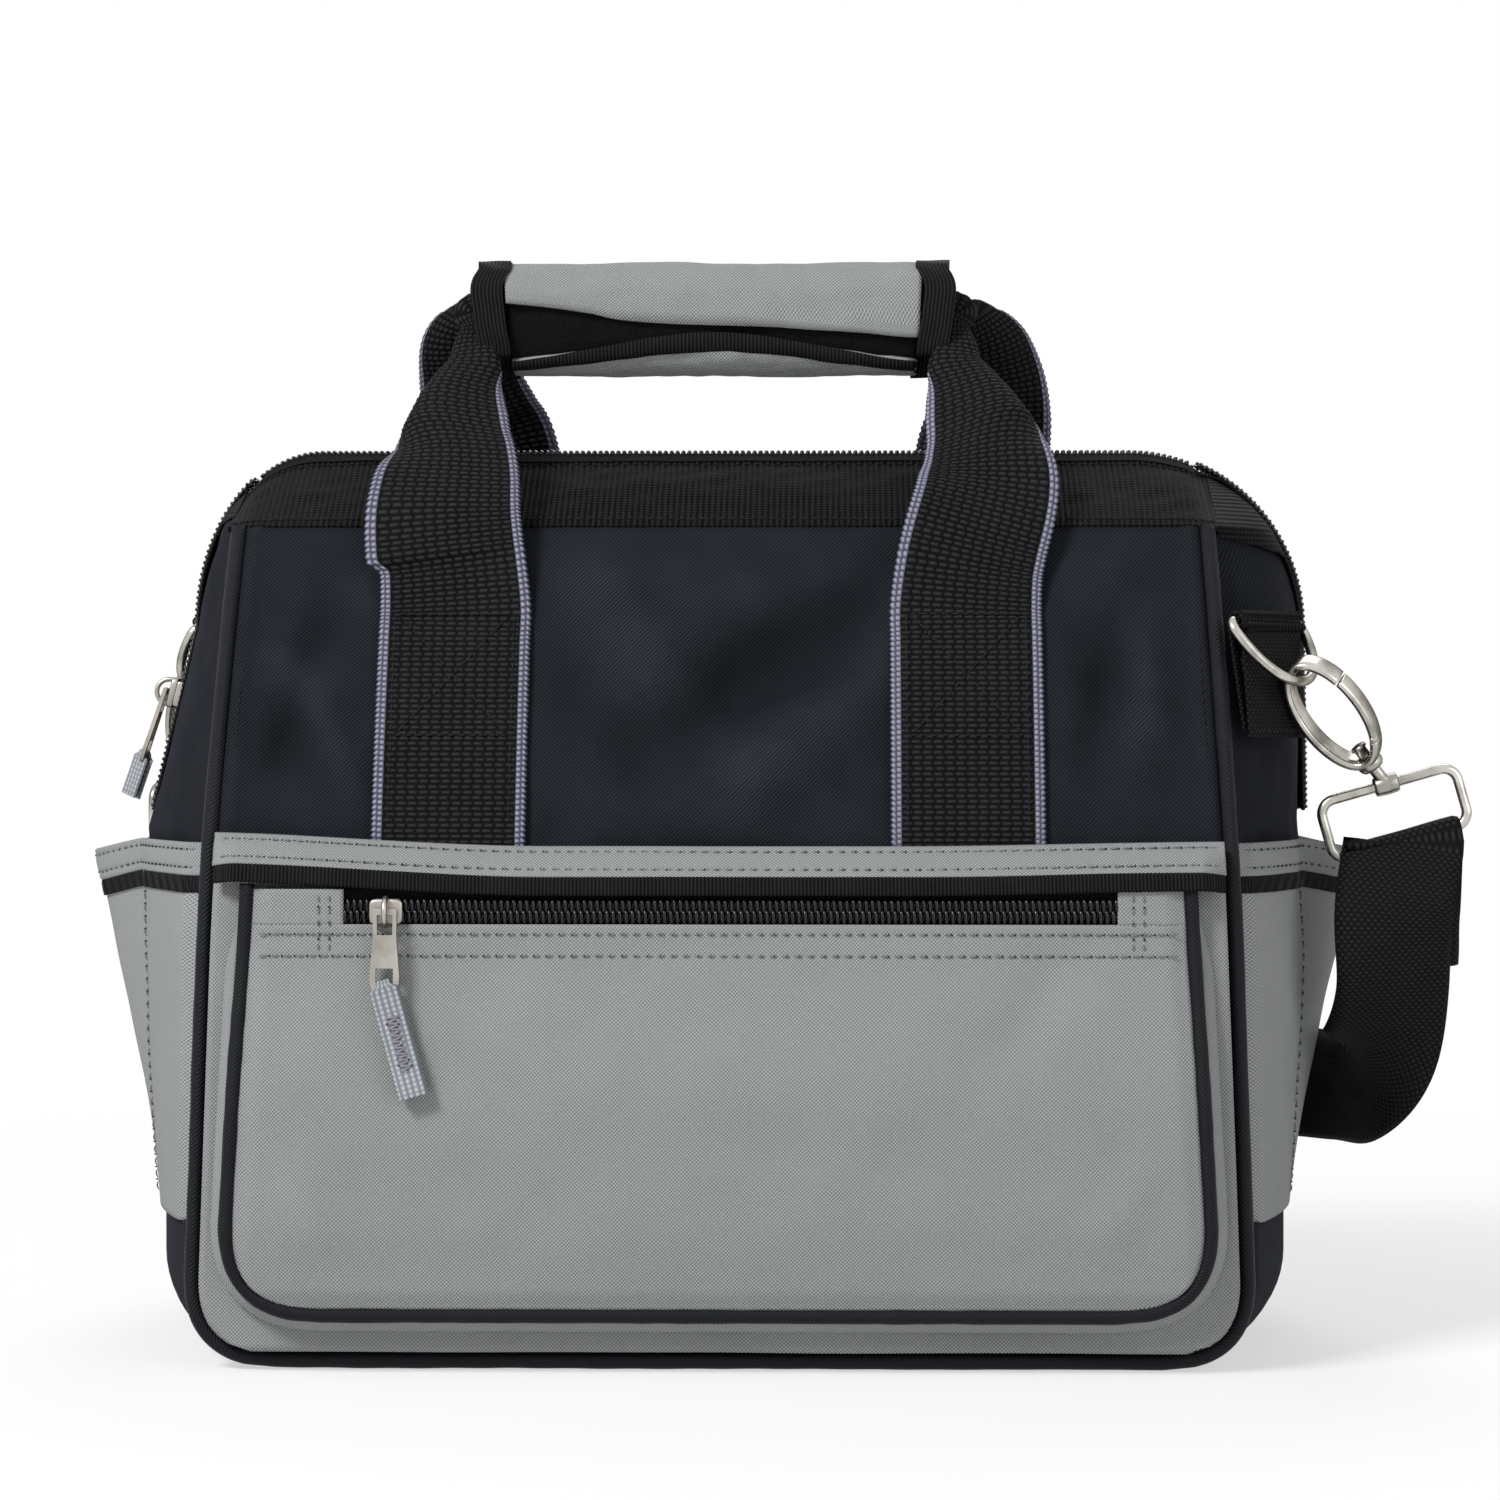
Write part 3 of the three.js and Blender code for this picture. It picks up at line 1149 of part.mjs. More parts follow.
// Hand-laid middle line of the strap from the right loop round the back to the left one, with the way across it.
const STRAP_ROUTE = [
  { at: [224, -61.5, 147], across: [0.97, 0.05, 0.2] },
  { at: [224, -58, 122], across: [0.92, 0.3, -0.2] },
  { at: [221.5, -40, 99], across: [0.65, 0.35, -0.66] },
  { at: [218, -9, 85], across: [0.3, 0.1, -0.95] },
  { at: [212, 30, 82], across: [0.12, 0.05, -0.99] },
  { at: [197, 72, 79], across: [0, 0, -1] },
  { at: [172, 112, 69], across: [0, 0, -1] },
  { at: [135, 145, 52], across: [0, 0, -1] },
  { at: [85, 168, 34], across: [0, 0, -1] },
  { at: [0, 178, 24], across: [0, 0, -1] },
  { at: [-85, 170, 30], across: [0, 0, -1] },
  { at: [-140, 150, 52], across: [0, -0.1, -0.99] },
  { at: [-178, 123.5, 86], across: [-0.15, -0.35, -0.92] },
  { at: [-196, 102.5, 122], across: [-0.3, -0.75, -0.6] },
  { at: [-199, 88.3, 147.5], across: [-0.3, -0.95, -0.1] },
];
const RETURN_ROUTE = [
  { at: [227, -55.5, 147], across: [0.97, 0.05, 0.2] },
  { at: [228.5, -52, 127], across: [0.92, 0.3, -0.2] },
];
const WRAP_OVER_STEPS = 6;

// The strap's turn over the lower bar of a loop, from the layer that carries the bag to the one behind it.
function loopTurn(hanger, facing) {
  const { knuckle, loopAcross, drop } = hanger;
  const centre = knuckle.clone().addScaledVector(drop, LOOP_DROP);
  const radius = LOOP_WIRE + 2 * CLEAR + STRAP_THICKNESS / 2;
  const out = loopAcross.clone().cross(drop).multiplyScalar(facing);
  const points = [];
  for (let i = 0; i <= WRAP_OVER_STEPS; i += 1) {
    const angle = (Math.PI * i) / WRAP_OVER_STEPS;
    const at = centre.clone().addScaledVector(out, radius * Math.cos(angle));
    points.push(at.addScaledVector(drop, -radius * Math.sin(angle)));
  }
  return points;
}

function routeOf(entries) {
  return entries.map(({ at, across }) => ({
    at: new THREE.Vector3(...at),
    across: new THREE.Vector3(...across).normalize(),
  }));
}

// Flat webbing along a row of stations, each a point of its middle line with the way across it.
function webbing(stations) {
  const last = stations.length - 1;
  const rows = (face) =>
    stations.map(({ at, across }, i) => {
      const along = stations[Math.min(i + 1, last)].at.clone().sub(stations[Math.max(i - 1, 0)].at).normalize();
      const square = across.clone().addScaledVector(along, -across.dot(along)).normalize();
      const normal = square.clone().cross(along);
      return [-1, 1].map((edge) =>
        at
          .clone()
          .addScaledVector(square, (edge * STRAP_WIDTH) / 2)
          .addScaledVector(normal, (face * STRAP_THICKNESS) / 2),
      );
    });
  return sheet(rows(1), rows(-1));
}

// Stations along a smooth line through the given ones.
function smoothStations(stations, count) {
  const line = new THREE.CatmullRomCurve3(
    stations.map(({ at }) => at),
    false,
    "centripetal",
  );
  const made = [];
  for (let i = 0; i <= count; i += 1) {
    const place = (i / count) * (stations.length - 1);
    const low = Math.min(Math.floor(place), stations.length - 2);
    const across = stations[low].across.clone().lerp(stations[low + 1].across, place - low);
    made.push({ at: line.getPoint(i / count), across });
  }
  return made;
}

function turnStations(hanger, facing, sign) {
  const across = hanger.loopAcross.clone().multiplyScalar(sign);
  return loopTurn(hanger, facing).map((at) => ({ at, across }));
}

function makeStrap() {
  const rightTurn = turnStations(hangers.right, -1, 1);
  const leftTurn = turnStations(hangers.left, 1, -1);
  const middle = smoothStations([rightTurn[0], ...routeOf(STRAP_ROUTE), leftTurn[0]], 3 * STRAP_ROUTE.length);
  return webbing([...rightTurn.slice(1, -1).reverse(), ...middle, ...leftTurn.slice(1, -1)]);
}

function makeReturn() {
  const rightTurn = turnStations(hangers.right, -1, 1);
  const start = rightTurn[WRAP_OVER_STEPS];
  start.at.addScaledVector(hangers.right.drop, STRAP_THICKNESS);
  return webbing(smoothStations([start, ...routeOf(RETURN_ROUTE)], 3 * RETURN_ROUTE.length));
}

addMesh(bag, "shoulder_strap", makeStrap(), BLACK_WEBBING);
addMesh(bag, "strap_return", makeReturn(), BLACK_WEBBING);

export default bag;
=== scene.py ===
import json
import logging
import math
from dataclasses import dataclass, field
from enum import Enum
from functools import lru_cache
from typing import Callable, Dict, List, Optional, Sequence, Tuple, Union

import bpy
import numpy as np
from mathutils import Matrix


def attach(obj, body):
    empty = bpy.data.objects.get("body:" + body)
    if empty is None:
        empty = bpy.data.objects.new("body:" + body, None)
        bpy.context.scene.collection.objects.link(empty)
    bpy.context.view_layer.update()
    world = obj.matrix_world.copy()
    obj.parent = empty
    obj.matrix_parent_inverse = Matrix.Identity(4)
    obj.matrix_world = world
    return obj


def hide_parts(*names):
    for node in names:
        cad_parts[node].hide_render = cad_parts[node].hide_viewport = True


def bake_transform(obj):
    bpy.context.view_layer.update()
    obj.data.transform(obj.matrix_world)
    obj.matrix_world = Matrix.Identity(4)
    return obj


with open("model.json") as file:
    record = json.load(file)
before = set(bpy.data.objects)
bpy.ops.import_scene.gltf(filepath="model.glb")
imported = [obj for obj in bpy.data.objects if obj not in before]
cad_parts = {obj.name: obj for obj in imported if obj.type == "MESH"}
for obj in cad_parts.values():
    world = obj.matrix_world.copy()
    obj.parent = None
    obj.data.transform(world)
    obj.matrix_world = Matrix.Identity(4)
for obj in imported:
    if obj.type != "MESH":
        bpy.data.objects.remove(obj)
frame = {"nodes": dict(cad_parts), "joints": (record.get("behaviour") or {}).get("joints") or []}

LOG = logging.getLogger("tote")
MM = 0.001
TAU = 2.0 * math.pi
Array = np.ndarray
Colour = Tuple[float, float, float]
Number = Union[int, float]
Curve = Callable[[Array], Array]
Relief = Callable[[Array, Array], Array]
Edge = Union[float, Curve]
Section = Tuple[Array, Array, Array]
Crease = Tuple[float, Tuple[float, float], Tuple[float, float], float]
UP = np.array([0.0, 0.0, 1.0])
FRONTWARD = np.array([0.0, -1.0, 0.0])
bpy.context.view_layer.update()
JOINTS = {joint["name"]: joint for joint in frame["joints"]}
# Name of the point attribute for painted shade and light: cloth colour darker in fold valleys, lighter on
# ridges.
PAINTED_FOLD_SHADE = "fold"
BACK_STEP = 3
WEBBING_BACK_STEP = 5
STITCH_RINGS = 5
STITCH_SIDES = 6
COIL_PITCH = 2.05
COIL_WIRE = 0.68
COIL_STEP = 12


class Named(Enum):
    """A choice whose name is part of the names of pieces."""

    @property
    def word(self) -> str:
        """The name as the pieces have it."""
        return self.name.lower()


class Side(Named):
    """One end of the bag, with the sign of its X."""

    LEFT = -1
    RIGHT = 1


class Face(Named):
    """Front or rear of the bag, with the sign that turns front Y into this face's Y."""

    FRONT = 1
    REAR = -1


class Weave(Enum):
    """How the threads of a cloth cross."""

    TWILL = "twill"
    PLAIN = "plain"
    LADDER = "ladder"
    CHECKER = "checker"
    DOTS = "dots"
    GROSGRAIN = "grosgrain"


# Plain numbers on arrays


def mix(low: Array, high: Array, share: Array) -> Array:
    """Straight line between two values: low + (high - low) * share."""
    return low + (high - low) * share


def ease(share: Array) -> Array:
    """Smooth step: 3 s^2 - 2 s^3 with s held between 0 and 1."""
    held = np.clip(share, 0.0, 1.0)
    return held * held * (3.0 - 2.0 * held)


def unit(vectors: Array) -> Array:
    """Vectors divided by their lengths along the last axis."""
    return vectors / np.maximum(np.linalg.norm(vectors, axis=-1, keepdims=True), 1e-12)


def bent(value: Array, power: float) -> Array:
    """Signed power: sign(v) |v|^p."""
    return np.sign(value) * np.abs(value) ** power


def square_to(direction: Array) -> Array:
    """A direction square to another: Z, or X where that one is nearly upright, less its part along it."""
    seed = UP if abs(direction[2]) < 0.9 else np.array([1.0, 0.0, 0.0])
    return unit(seed - direction * (seed @ direction))


def joint_line(name: str) -> Tuple[Array, Array]:
    """Place in millimetres and direction of a joint of the frame; a slide has no place of its own."""
    joint = JOINTS[name]
    return np.asarray(joint.get("pos_m", (0.0, 0.0, 0.0)), float) / MM, np.asarray(joint["axis"], float)


def sine(value: Array, pitch: float, phase: float = 0.0) -> Array:
    """A sine wave of a pitch, from 0 to 1."""
    return 0.5 + 0.5 * np.sin(TAU * value / pitch + phase)


def woven(weave: Weave, u: object, v: object, wave: Callable[..., object]) -> object:
    """Height of the threads at a place on a cloth, as sums and products of sine waves.

    Args:
        weave: how the threads cross.
        u: length across the cloth in millimetres, an array or a shader value.
        v: length along it.
        wave: gives a 0 to 1 wave of a length, a pitch and a phase.

    Returns:
        Heights of about 0 to 1, of the same kind as u and v.
    """
    crest = math.pi / 2.0
    if weave is Weave.TWILL:
        return wave(u - v, 1.45) * 0.7 + wave(u + v, 0.9) * 0.3
    if weave is Weave.PLAIN:
        return (wave(u, 1.24) - 0.5) * (wave(v, 1.24) - 0.5) * 2.0 + 0.5
    if weave is Weave.LADDER:
        gap = wave(u + 0.8 * wave(v, 3.72), 3.6, crest)
        return (1.0 - gap * gap * gap) * (1.0 - wave(v, 1.86, crest))
    if weave is Weave.CHECKER:
        return ((wave(u, 2.3) - 0.5) * (wave(v, 2.5) - 0.5) * 2.0 + 0.5) * (wave(v, 1.25, -crest) * 0.7 + 0.3)
    if weave is Weave.DOTS:
        return wave(u, 2.0) * (wave(v, 1.67) * 0.65 + 0.35)
    return wave(u, 1.3)


def ripples(u: Array, v: Array, seed: int, wave: float, count: int = 9) -> Array:
    """Soft unevenness: a sum of sine waves that run in seeded directions with seeded lengths.

    Args:
        u: first surface coordinate in millimetres.
        v: second surface coordinate in millimetres.
        seed: picks the directions, lengths and phases.
        wave: middle wavelength in millimetres.
        count: number of waves.

    Returns:
        Values of about -1 to 1.
    """
    rng = np.random.default_rng(seed)
    turn = rng.uniform(0.0, TAU, count)
    length = wave * rng.uniform(0.55, 1.8, count)
    phase = rng.uniform(0.0, TAU, count)
    along = u[..., None] * np.cos(turn) + v[..., None] * np.sin(turn)
    return np.sin(TAU * along / length + phase).sum(axis=-1) / math.sqrt(2.0 * count)


def crease(u: Array, v: Array, start: Sequence[float], end: Sequence[float], width: float) -> Array:
    """A fold along a segment: exp(-(d / width)^2) across it, fading to nothing at both ends."""
    a = np.asarray(start, float)
    b = np.asarray(end, float)
    run = b - a
    span = float(run @ run)
    share = ((u - a[0]) * run[0] + (v - a[1]) * run[1]) / span
    across = ((u - a[0]) * run[1] - (v - a[1]) * run[0]) / math.sqrt(span)
    fade = ease(share / 0.35) * ease((1.0 - share) / 0.35)
    return np.exp(-((across / width) ** 2)) * fade


def creases(u: Array, v: Array, rows: Sequence[Crease]) -> Array:
    """Sum of folds, each a row of height, start, end and width."""
    return sum(height * crease(u, v, start, end, width) for height, start, end, width in rows)


def smooth_path(points: Sequence[Sequence[float]], count: int) -> Array:
    """Centripetal Catmull-Rom line through points, by pyramids of straight blends between knots.

    Args:
        points: rows of numbers, each a point (further columns are blended alike).
        count: rows wanted.

    Returns:
        An array of count rows spread evenly over the given points.
    """
    p = np.asarray(points, float)
    p = np.vstack([2.0 * p[0] - p[1], p, 2.0 * p[-1] - p[-2]])
    gaps = np.linalg.norm(np.diff(p[:, :3], axis=0), axis=1) ** 0.5
    knots = np.concatenate([[0.0], np.cumsum(np.maximum(gaps, 1e-6))])
    place = np.linspace(0.0, len(p) - 3.0, count)
    low = np.minimum(place.astype(int), len(p) - 4)
    t = mix(knots[low + 1], knots[low + 2], place - low)[:, None]
    q = [p[low + k] for k in range(4)]
    k = [knots[low + i][:, None] for i in range(4)]

    def blend(a: Array, b: Array, ta: Array, tb: Array) -> Array:
        """Straight blend of a at ta and b at tb."""
        return (a * (tb - t) + b * (t - ta)) / (tb - ta)

    a1, a2, a3 = (blend(q[i], q[i + 1], k[i], k[i + 1]) for i in range(3))
    return blend(blend(a1, a2, k[0], k[2]), blend(a2, a3, k[1], k[3]), k[1], k[2])


def travel_along(path: Array) -> Array:
    """Length along a line from its start to each of its points."""
    return np.concatenate([[0.0], np.cumsum(np.linalg.norm(np.diff(path[:, :3], axis=0), axis=1))])


def even_steps(path: Array, count: int, closed: bool = False) -> Array:
    """The same line with its rows spaced evenly along its length."""
    line = np.vstack([path, path[:1]]) if closed else path
    travel = travel_along(line)
    want = np.linspace(0.0, travel[-1], count + 1 if closed else count)
    made = np.stack([np.interp(want, travel, line[:, c]) for c in range(line.shape[1])], axis=1)
    return made[:-1] if closed else made


def path_length(path: Array) -> float:
    """Sum of the straight steps of a line."""
    return float(np.linalg.norm(np.diff(path[:, :3], axis=0), axis=1).sum())


def tangents(path: Array, closed: bool = False) -> Array:
    """Directions along a line from the points on either side of each point."""
    if closed:
        return unit(np.roll(path, -1, axis=0) - np.roll(path, 1, axis=0))
    return unit(np.gradient(path, axis=0))


def round_foot(z: Array, foot: float, corner: float, inset: float, half: Curve) -> Array:
    """Half-width of an outline drawn in by an inset, round at its two lower corners.

    A corner of radius r is the quadratic curve (1 - t)^2 a + 2 t (1 - t) b + t^2 (b - r), with a and b the
    half-widths at its top and at the foot, and t = 1 - sqrt((z - foot - inset) / r).

    Args:
        z: heights.
        foot: height of the outline's foot.
        corner: height of its corners.
        inset: distance that it is drawn in.
        half: half-width of the outline at a height, without its corners.

    Returns:
        Half-widths.
    """
    radius = corner - inset
    side = half(np.asarray(foot)) - inset
    t = 1.0 - np.sqrt(np.clip((z - foot - inset) / radius, 0.0, 1.0))
    top = half(np.asarray(foot + corner)) - inset
    low = (1.0 - t) ** 2 * top + 2.0 * t * (1.0 - t) * side + t * t * (side - radius)
    return np.where(z < foot + corner, low, half(z) - inset)


def round_edge(
    outline: Curve, heights: Tuple[float, float, float], counts: Tuple[int, int, int]
) -> Tuple[Array, Array]:
    """X and Z along an outline from its top left round the foot to its top right.

    Args:
        outline: half-width at a height.
        heights: top, start of the corners, and foot.
        counts: points on a side, in a corner and along the foot.

    Returns:
        X and Z of each point.
    """
    top, turn, foot = heights
    z = np.concatenate([np.linspace(top, turn, counts[0]), np.linspace(turn, foot, counts[1])[1:]])
    x = outline(z)
    low = np.linspace(-x[-1], x[-1], counts[2])[1:-1]
    return np.concatenate([-x, low, x[::-1]]), np.concatenate([z, np.full_like(low, foot), z[::-1]])


# Meshes


def grid_faces(rows: int, columns: int, wrap_rows: bool = False, wrap_columns: bool = False) -> Array:
    """Corner numbers of the four-sided faces of a grid, joined round where it wraps."""
    i = np.arange(rows if wrap_rows else rows - 1)[:, None]
    j = np.arange(columns if wrap_columns else columns - 1)[None, :]
    low, high = i * columns, ((i + 1) % rows) * columns
    right = (j + 1) % columns
    return np.stack([low + j, low + right, high + right, high + j], axis=-1).reshape(-1, 4)


def grid_uv(points: Array, wrap_rows: bool, wrap_columns: bool) -> Array:
    """Lengths in millimetres along the rows and columns of a grid, from its own middle lines."""
    rows, columns = points.shape[:2]
    column_line = points[rows // 2]
    row_line = points[:, columns // 2]
    if wrap_columns:
        column_line = np.vstack([column_line, column_line[:1]])
    if wrap_rows:
        row_line = np.vstack([row_line, row_line[:1]])
    u = travel_along(column_line)
    return np.stack(np.meshgrid(u - u[-1] / 2.0, travel_along(row_line)), axis=-1)


def fill_mesh(
    mesh: bpy.types.Mesh, points: Array, faces: List[Sequence[int]], corner_uv: Optional[Array]
) -> bpy.types.Mesh:
    """Puts points in millimetres, faces and a UV row for each corner into an empty mesh, smooth shaded."""
    mesh.from_pydata((np.asarray(points, float).reshape(-1, 3) * MM).tolist(), [], faces)
    if corner_uv is not None:
        layer = mesh.uv_layers.new(name="UVMap")
        layer.data.foreach_set("uv", np.asarray(corner_uv, np.float32).ravel())
    mesh.polygons.foreach_set("use_smooth", np.ones(len(mesh.polygons), bool))
    mesh.update()
    return mesh


def new_object(
    name: str, points: Array, faces: List[Sequence[int]], corner_uv: Optional[Array]
) -> bpy.types.Object:
    """A mesh object at the origin from points in millimetres.

    Args:
        name: piece name.
        points: rows of X, Y, Z in millimetres.
        faces: corner numbers of each face.
        corner_uv: one row for each corner of each face, or None.

    Returns:
        The object, smooth shaded and linked to the scene.
    """
    made = bpy.data.objects.new(name, fill_mesh(bpy.data.meshes.new(name), points, faces, corner_uv))
    bpy.context.scene.collection.objects.link(made)
    return made


def surface(
    name: str, points: Array, wrap_rows: bool = False, wrap_columns: bool = False, caps: bool = False
) -> bpy.types.Object:
    """A piece from a grid of points: rows by columns, facing columns cross rows.

    Args:
        name: piece name.
        points: grid of X, Y, Z in millimetres.
        wrap_rows: the last row joins the first.
        wrap_columns: the last column joins the first.
        caps: close the first and last rows with one face each.

    Returns:
        The object, with lengths in millimetres as its UV map.
    """
    rows, columns = points.shape[:2]
    quads = grid_faces(rows, columns, wrap_rows, wrap_columns)
    uv = grid_uv(points, wrap_rows, wrap_columns)
    u_rows, u_columns = uv.shape[:2]
    corners = grid_faces(u_rows, u_columns)
    corner_uv = uv.reshape(-1, 2)[corners].reshape(-1, 2)
    faces = quads.tolist()
    if caps:
        first = list(range(columns))[::-1]
        last = [(rows - 1) * columns + c for c in range(columns)]
        faces += [first, last]
        corner_uv = np.vstack([corner_uv, np.zeros((2 * columns, 2))])
    return new_object(name, points, faces, corner_uv)


def rod(name: str, rings: Array) -> bpy.types.Object:
    """A closed bar from rings of points, with a face on each end."""
    return surface(name, rings, wrap_columns=True, caps=True)


def lay_uv(piece: bpy.types.Object, u: Array, v: Array) -> bpy.types.Object:
    """Writes two lengths of each point of an open grid as its UV map, so that its weave runs straight."""
    wide, tall = np.broadcast_arrays(u, v)
    uv = np.stack([wide, tall], axis=-1).reshape(-1, 2)
    corners = grid_faces(*wide.shape)
    piece.data.uv_layers["UVMap"].data.foreach_set("uv", uv[corners].astype(np.float32).ravel())
    return piece


def upright(name: str, grid: Array, across: int = 0) -> bpy.types.Object:
    """An open surface whose threads run level and upright: its UV map is X, or Y for across 1, and Z."""
    return lay_uv(surface(name, grid), grid[..., across], grid[..., 2])


def tube_points(path: Array, radius: Union[Number, Array], sides: int, closed: bool = False) -> Array:
    """Circles carried along a line, square to it, turned as little as possible from one to the next."""
    along = tangents(path, closed)
    seed = square_to(along[0])
    normals = np.empty_like(path)
    for i, direction in enumerate(along):
        seed = unit(seed - direction * (seed @ direction))
        normals[i] = seed
    binormals = np.cross(along, normals)
    angle = np.arange(sides) * TAU / sides
    size = np.broadcast_to(np.asarray(radius, float), (len(path),))[:, None, None]
    ring = np.cos(angle)[None, :, None] * normals[:, None] + np.sin(angle)[None, :, None] * binormals[:, None]
    return path[:, None] + size * ring


def tube(
    name: str, path: Array, radius: Union[Number, Array], sides: int = 12, closed: bool = False
) -> bpy.types.Object:
    """A round bar along a line in millimetres, closed on itself or with flat ends."""
    return surface(name, tube_points(path, radius, sides, closed), closed, True, not closed)


def strip(
    name: str, path: Array, across: Array, profile: Section, thickness: float, weave: Weave,
    relief: Tuple[float, float],
) -> bpy.types.Object:
    """Webbing along a line: a section carried square to it, both faces raised by the threads of the weave.

    The second face, the one that hardly shows, keeps every fifth place across.

    Args:
        name: piece name.
        path: middle line, one row for each station.
        across: direction across at each station.
        profile: the unfolded width, then the reach across and the height for each station and place across.
        thickness: between the two faces.
        weave: threads of the faces.
        relief: rise of the threads on the face that across x along looks out of, and on the other one.

    Returns:
        The object, with the unfolded width and the travel along the line as its UV map.
    """
    width, reach, height = profile
    along = tangents(path)
    square = unit(across - along * (across * along).sum(axis=1, keepdims=True))
    facing = np.cross(square, along)
    travel = travel_along(path)
    u, v = np.meshgrid(width, travel)
    threads = woven(weave, u, v, sine)
    if weave is Weave.LADDER:
        reach = reach * (1.0 + 0.024 * np.abs(u / width.max()) ** 12 * (sine(v, 1.86) - 0.5))
    edge = np.sqrt(np.clip(1.0 - np.abs(u / width.max()) ** 30, 0.0, 1.0))
    slope_across = np.gradient(reach, axis=1)
    slope_up = np.gradient(height, axis=1)
    lean = unit(np.stack([-slope_up, slope_across], axis=-1))
    layers = []
    for sign, rise in ((1.0, relief[0]), (-1.0, relief[1])):
        proud = sign * edge * (thickness / 2.0 + rise * threads)
        sideways = reach + proud * lean[..., 0]
        upward = height + proud * lean[..., 1]
        layers.append(
            path[:, None] + sideways[..., None] * square[:, None] + upward[..., None] * facing[:, None]
        )
    coarse = np.arange(len(width) - 1 - WEBBING_BACK_STEP // 2, 1, -WEBBING_BACK_STEP)
    points = np.concatenate([layers[0], layers[1][:, coarse]], axis=1)
    piece = rod(name, points)
    rows, columns = points.shape[:2]
    around = np.concatenate([width, width[coarse], width[:1]])
    uv = np.stack(np.meshgrid(around, travel), axis=-1)
    sides = uv.reshape(-1, 2)[grid_faces(rows, columns + 1)].reshape(-1, 2)
    corner_uv = np.vstack([sides, np.zeros((2 * columns, 2))])
    piece.data.uv_layers["UVMap"].data.foreach_set("uv", corner_uv.astype(np.float32).ravel())
    return piece


def flat_profile(half: float, columns: int, stations: int) -> Section:
    """Section of a flat strip for every station of a line: its width, reach across and height."""
    width = np.linspace(-half, half, columns)
    reach = np.broadcast_to(width, (stations, columns))
    return width, reach, np.zeros((stations, columns))


def join(name: str, pieces: Sequence[bpy.types.Object]) -> bpy.types.Object:
    """Several meshes made one object, with their UV maps kept."""
    with bpy.context.temp_override(active_object=pieces[0], selected_editable_objects=list(pieces)):
        bpy.ops.object.join()
    pieces[0].name = name
    pieces[0].data.name = name
    return pieces[0]


def rim_faces(front: Array, back: Array, kept: Array, forward: bool) -> List[List[int]]:
    """Faces between one border of a grid and the coarser border of its back, one for each step of the back.

    Args:
        front: corner numbers along the border.
        back: corner numbers along the back's border.
        kept: places of the back's corners along the front.
        forward: the faces run along the border, not against it.

    Returns:
        Corner numbers of each face.
    """
    faces = []
    for i, (low, high) in enumerate(zip(kept[:-1], kept[1:])):
        face = front[low : high + 1].tolist() + [int(back[i + 1]), int(back[i])]
        faces.append(face if forward else face[::-1])
    return faces


def thicken(piece: bpy.types.Object, thickness: float) -> bpy.types.Object:
    """Closes an open grid into cloth of a thickness in millimetres.

    The back is every third row and column of the surface, moved against its normals, and a rim joins the two.
    """
    mesh = piece.data
    count, corner_count = len(mesh.vertices), len(mesh.loops)
    points, normals = np.empty(3 * count, np.float32), np.empty(3 * count, np.float32)
    mesh.vertices.foreach_get("co", points)
    mesh.vertex_normals.foreach_get("vector", normals)
    corners, corner_uv = np.empty(corner_count, np.int32), np.empty(2 * corner_count, np.float32)
    mesh.loops.foreach_get("vertex_index", corners)
    mesh.uv_layers["UVMap"].data.foreach_get("uv", corner_uv)
    uv = np.zeros((count, 2))
    uv[corners] = corner_uv.reshape(-1, 2)
    # The painted fold shade, where the piece has one, is carried over to the back's points.
    shades = np.zeros(count, np.float32)
    folded = PAINTED_FOLD_SHADE in mesh.attributes
    if folded:
        mesh.attributes[PAINTED_FOLD_SHADE].data.foreach_get("value", shades)
    columns = int(corners[:4].max()) - 1
    number = np.arange(count).reshape(-1, columns)
    kept_rows, kept_columns = (
        np.unique(np.append(np.arange(0, size, BACK_STEP), size - 1)) for size in number.shape
    )
    kept = number[kept_rows][:, kept_columns]
    back = np.arange(kept.size).reshape(kept.shape) + count
    behind = points.reshape(-1, 3) / MM - thickness * normals.reshape(-1, 3)
    every = np.concatenate([np.arange(count), kept.ravel()])
    whole = np.vstack([points.reshape(-1, 3) / MM, behind[kept.ravel()]])
    faces = corners.reshape(-1, 4).tolist() + (grid_faces(*kept.shape)[:, ::-1] + count).tolist()
    faces += rim_faces(number[0], back[0], kept_columns, False)
    faces += rim_faces(number[-1], back[-1], kept_columns, True)
    faces += rim_faces(number[:, 0], back[:, 0], kept_rows, True)
    faces += rim_faces(number[:, -1], back[:, -1], kept_rows, False)
    mesh.clear_geometry()
    fill_mesh(mesh, whole, faces, uv[every[np.concatenate(faces)]])
    if folded:
        mesh.attributes.new(PAINTED_FOLD_SHADE, "FLOAT", "POINT").data.foreach_set("value", shades[every])
    return piece


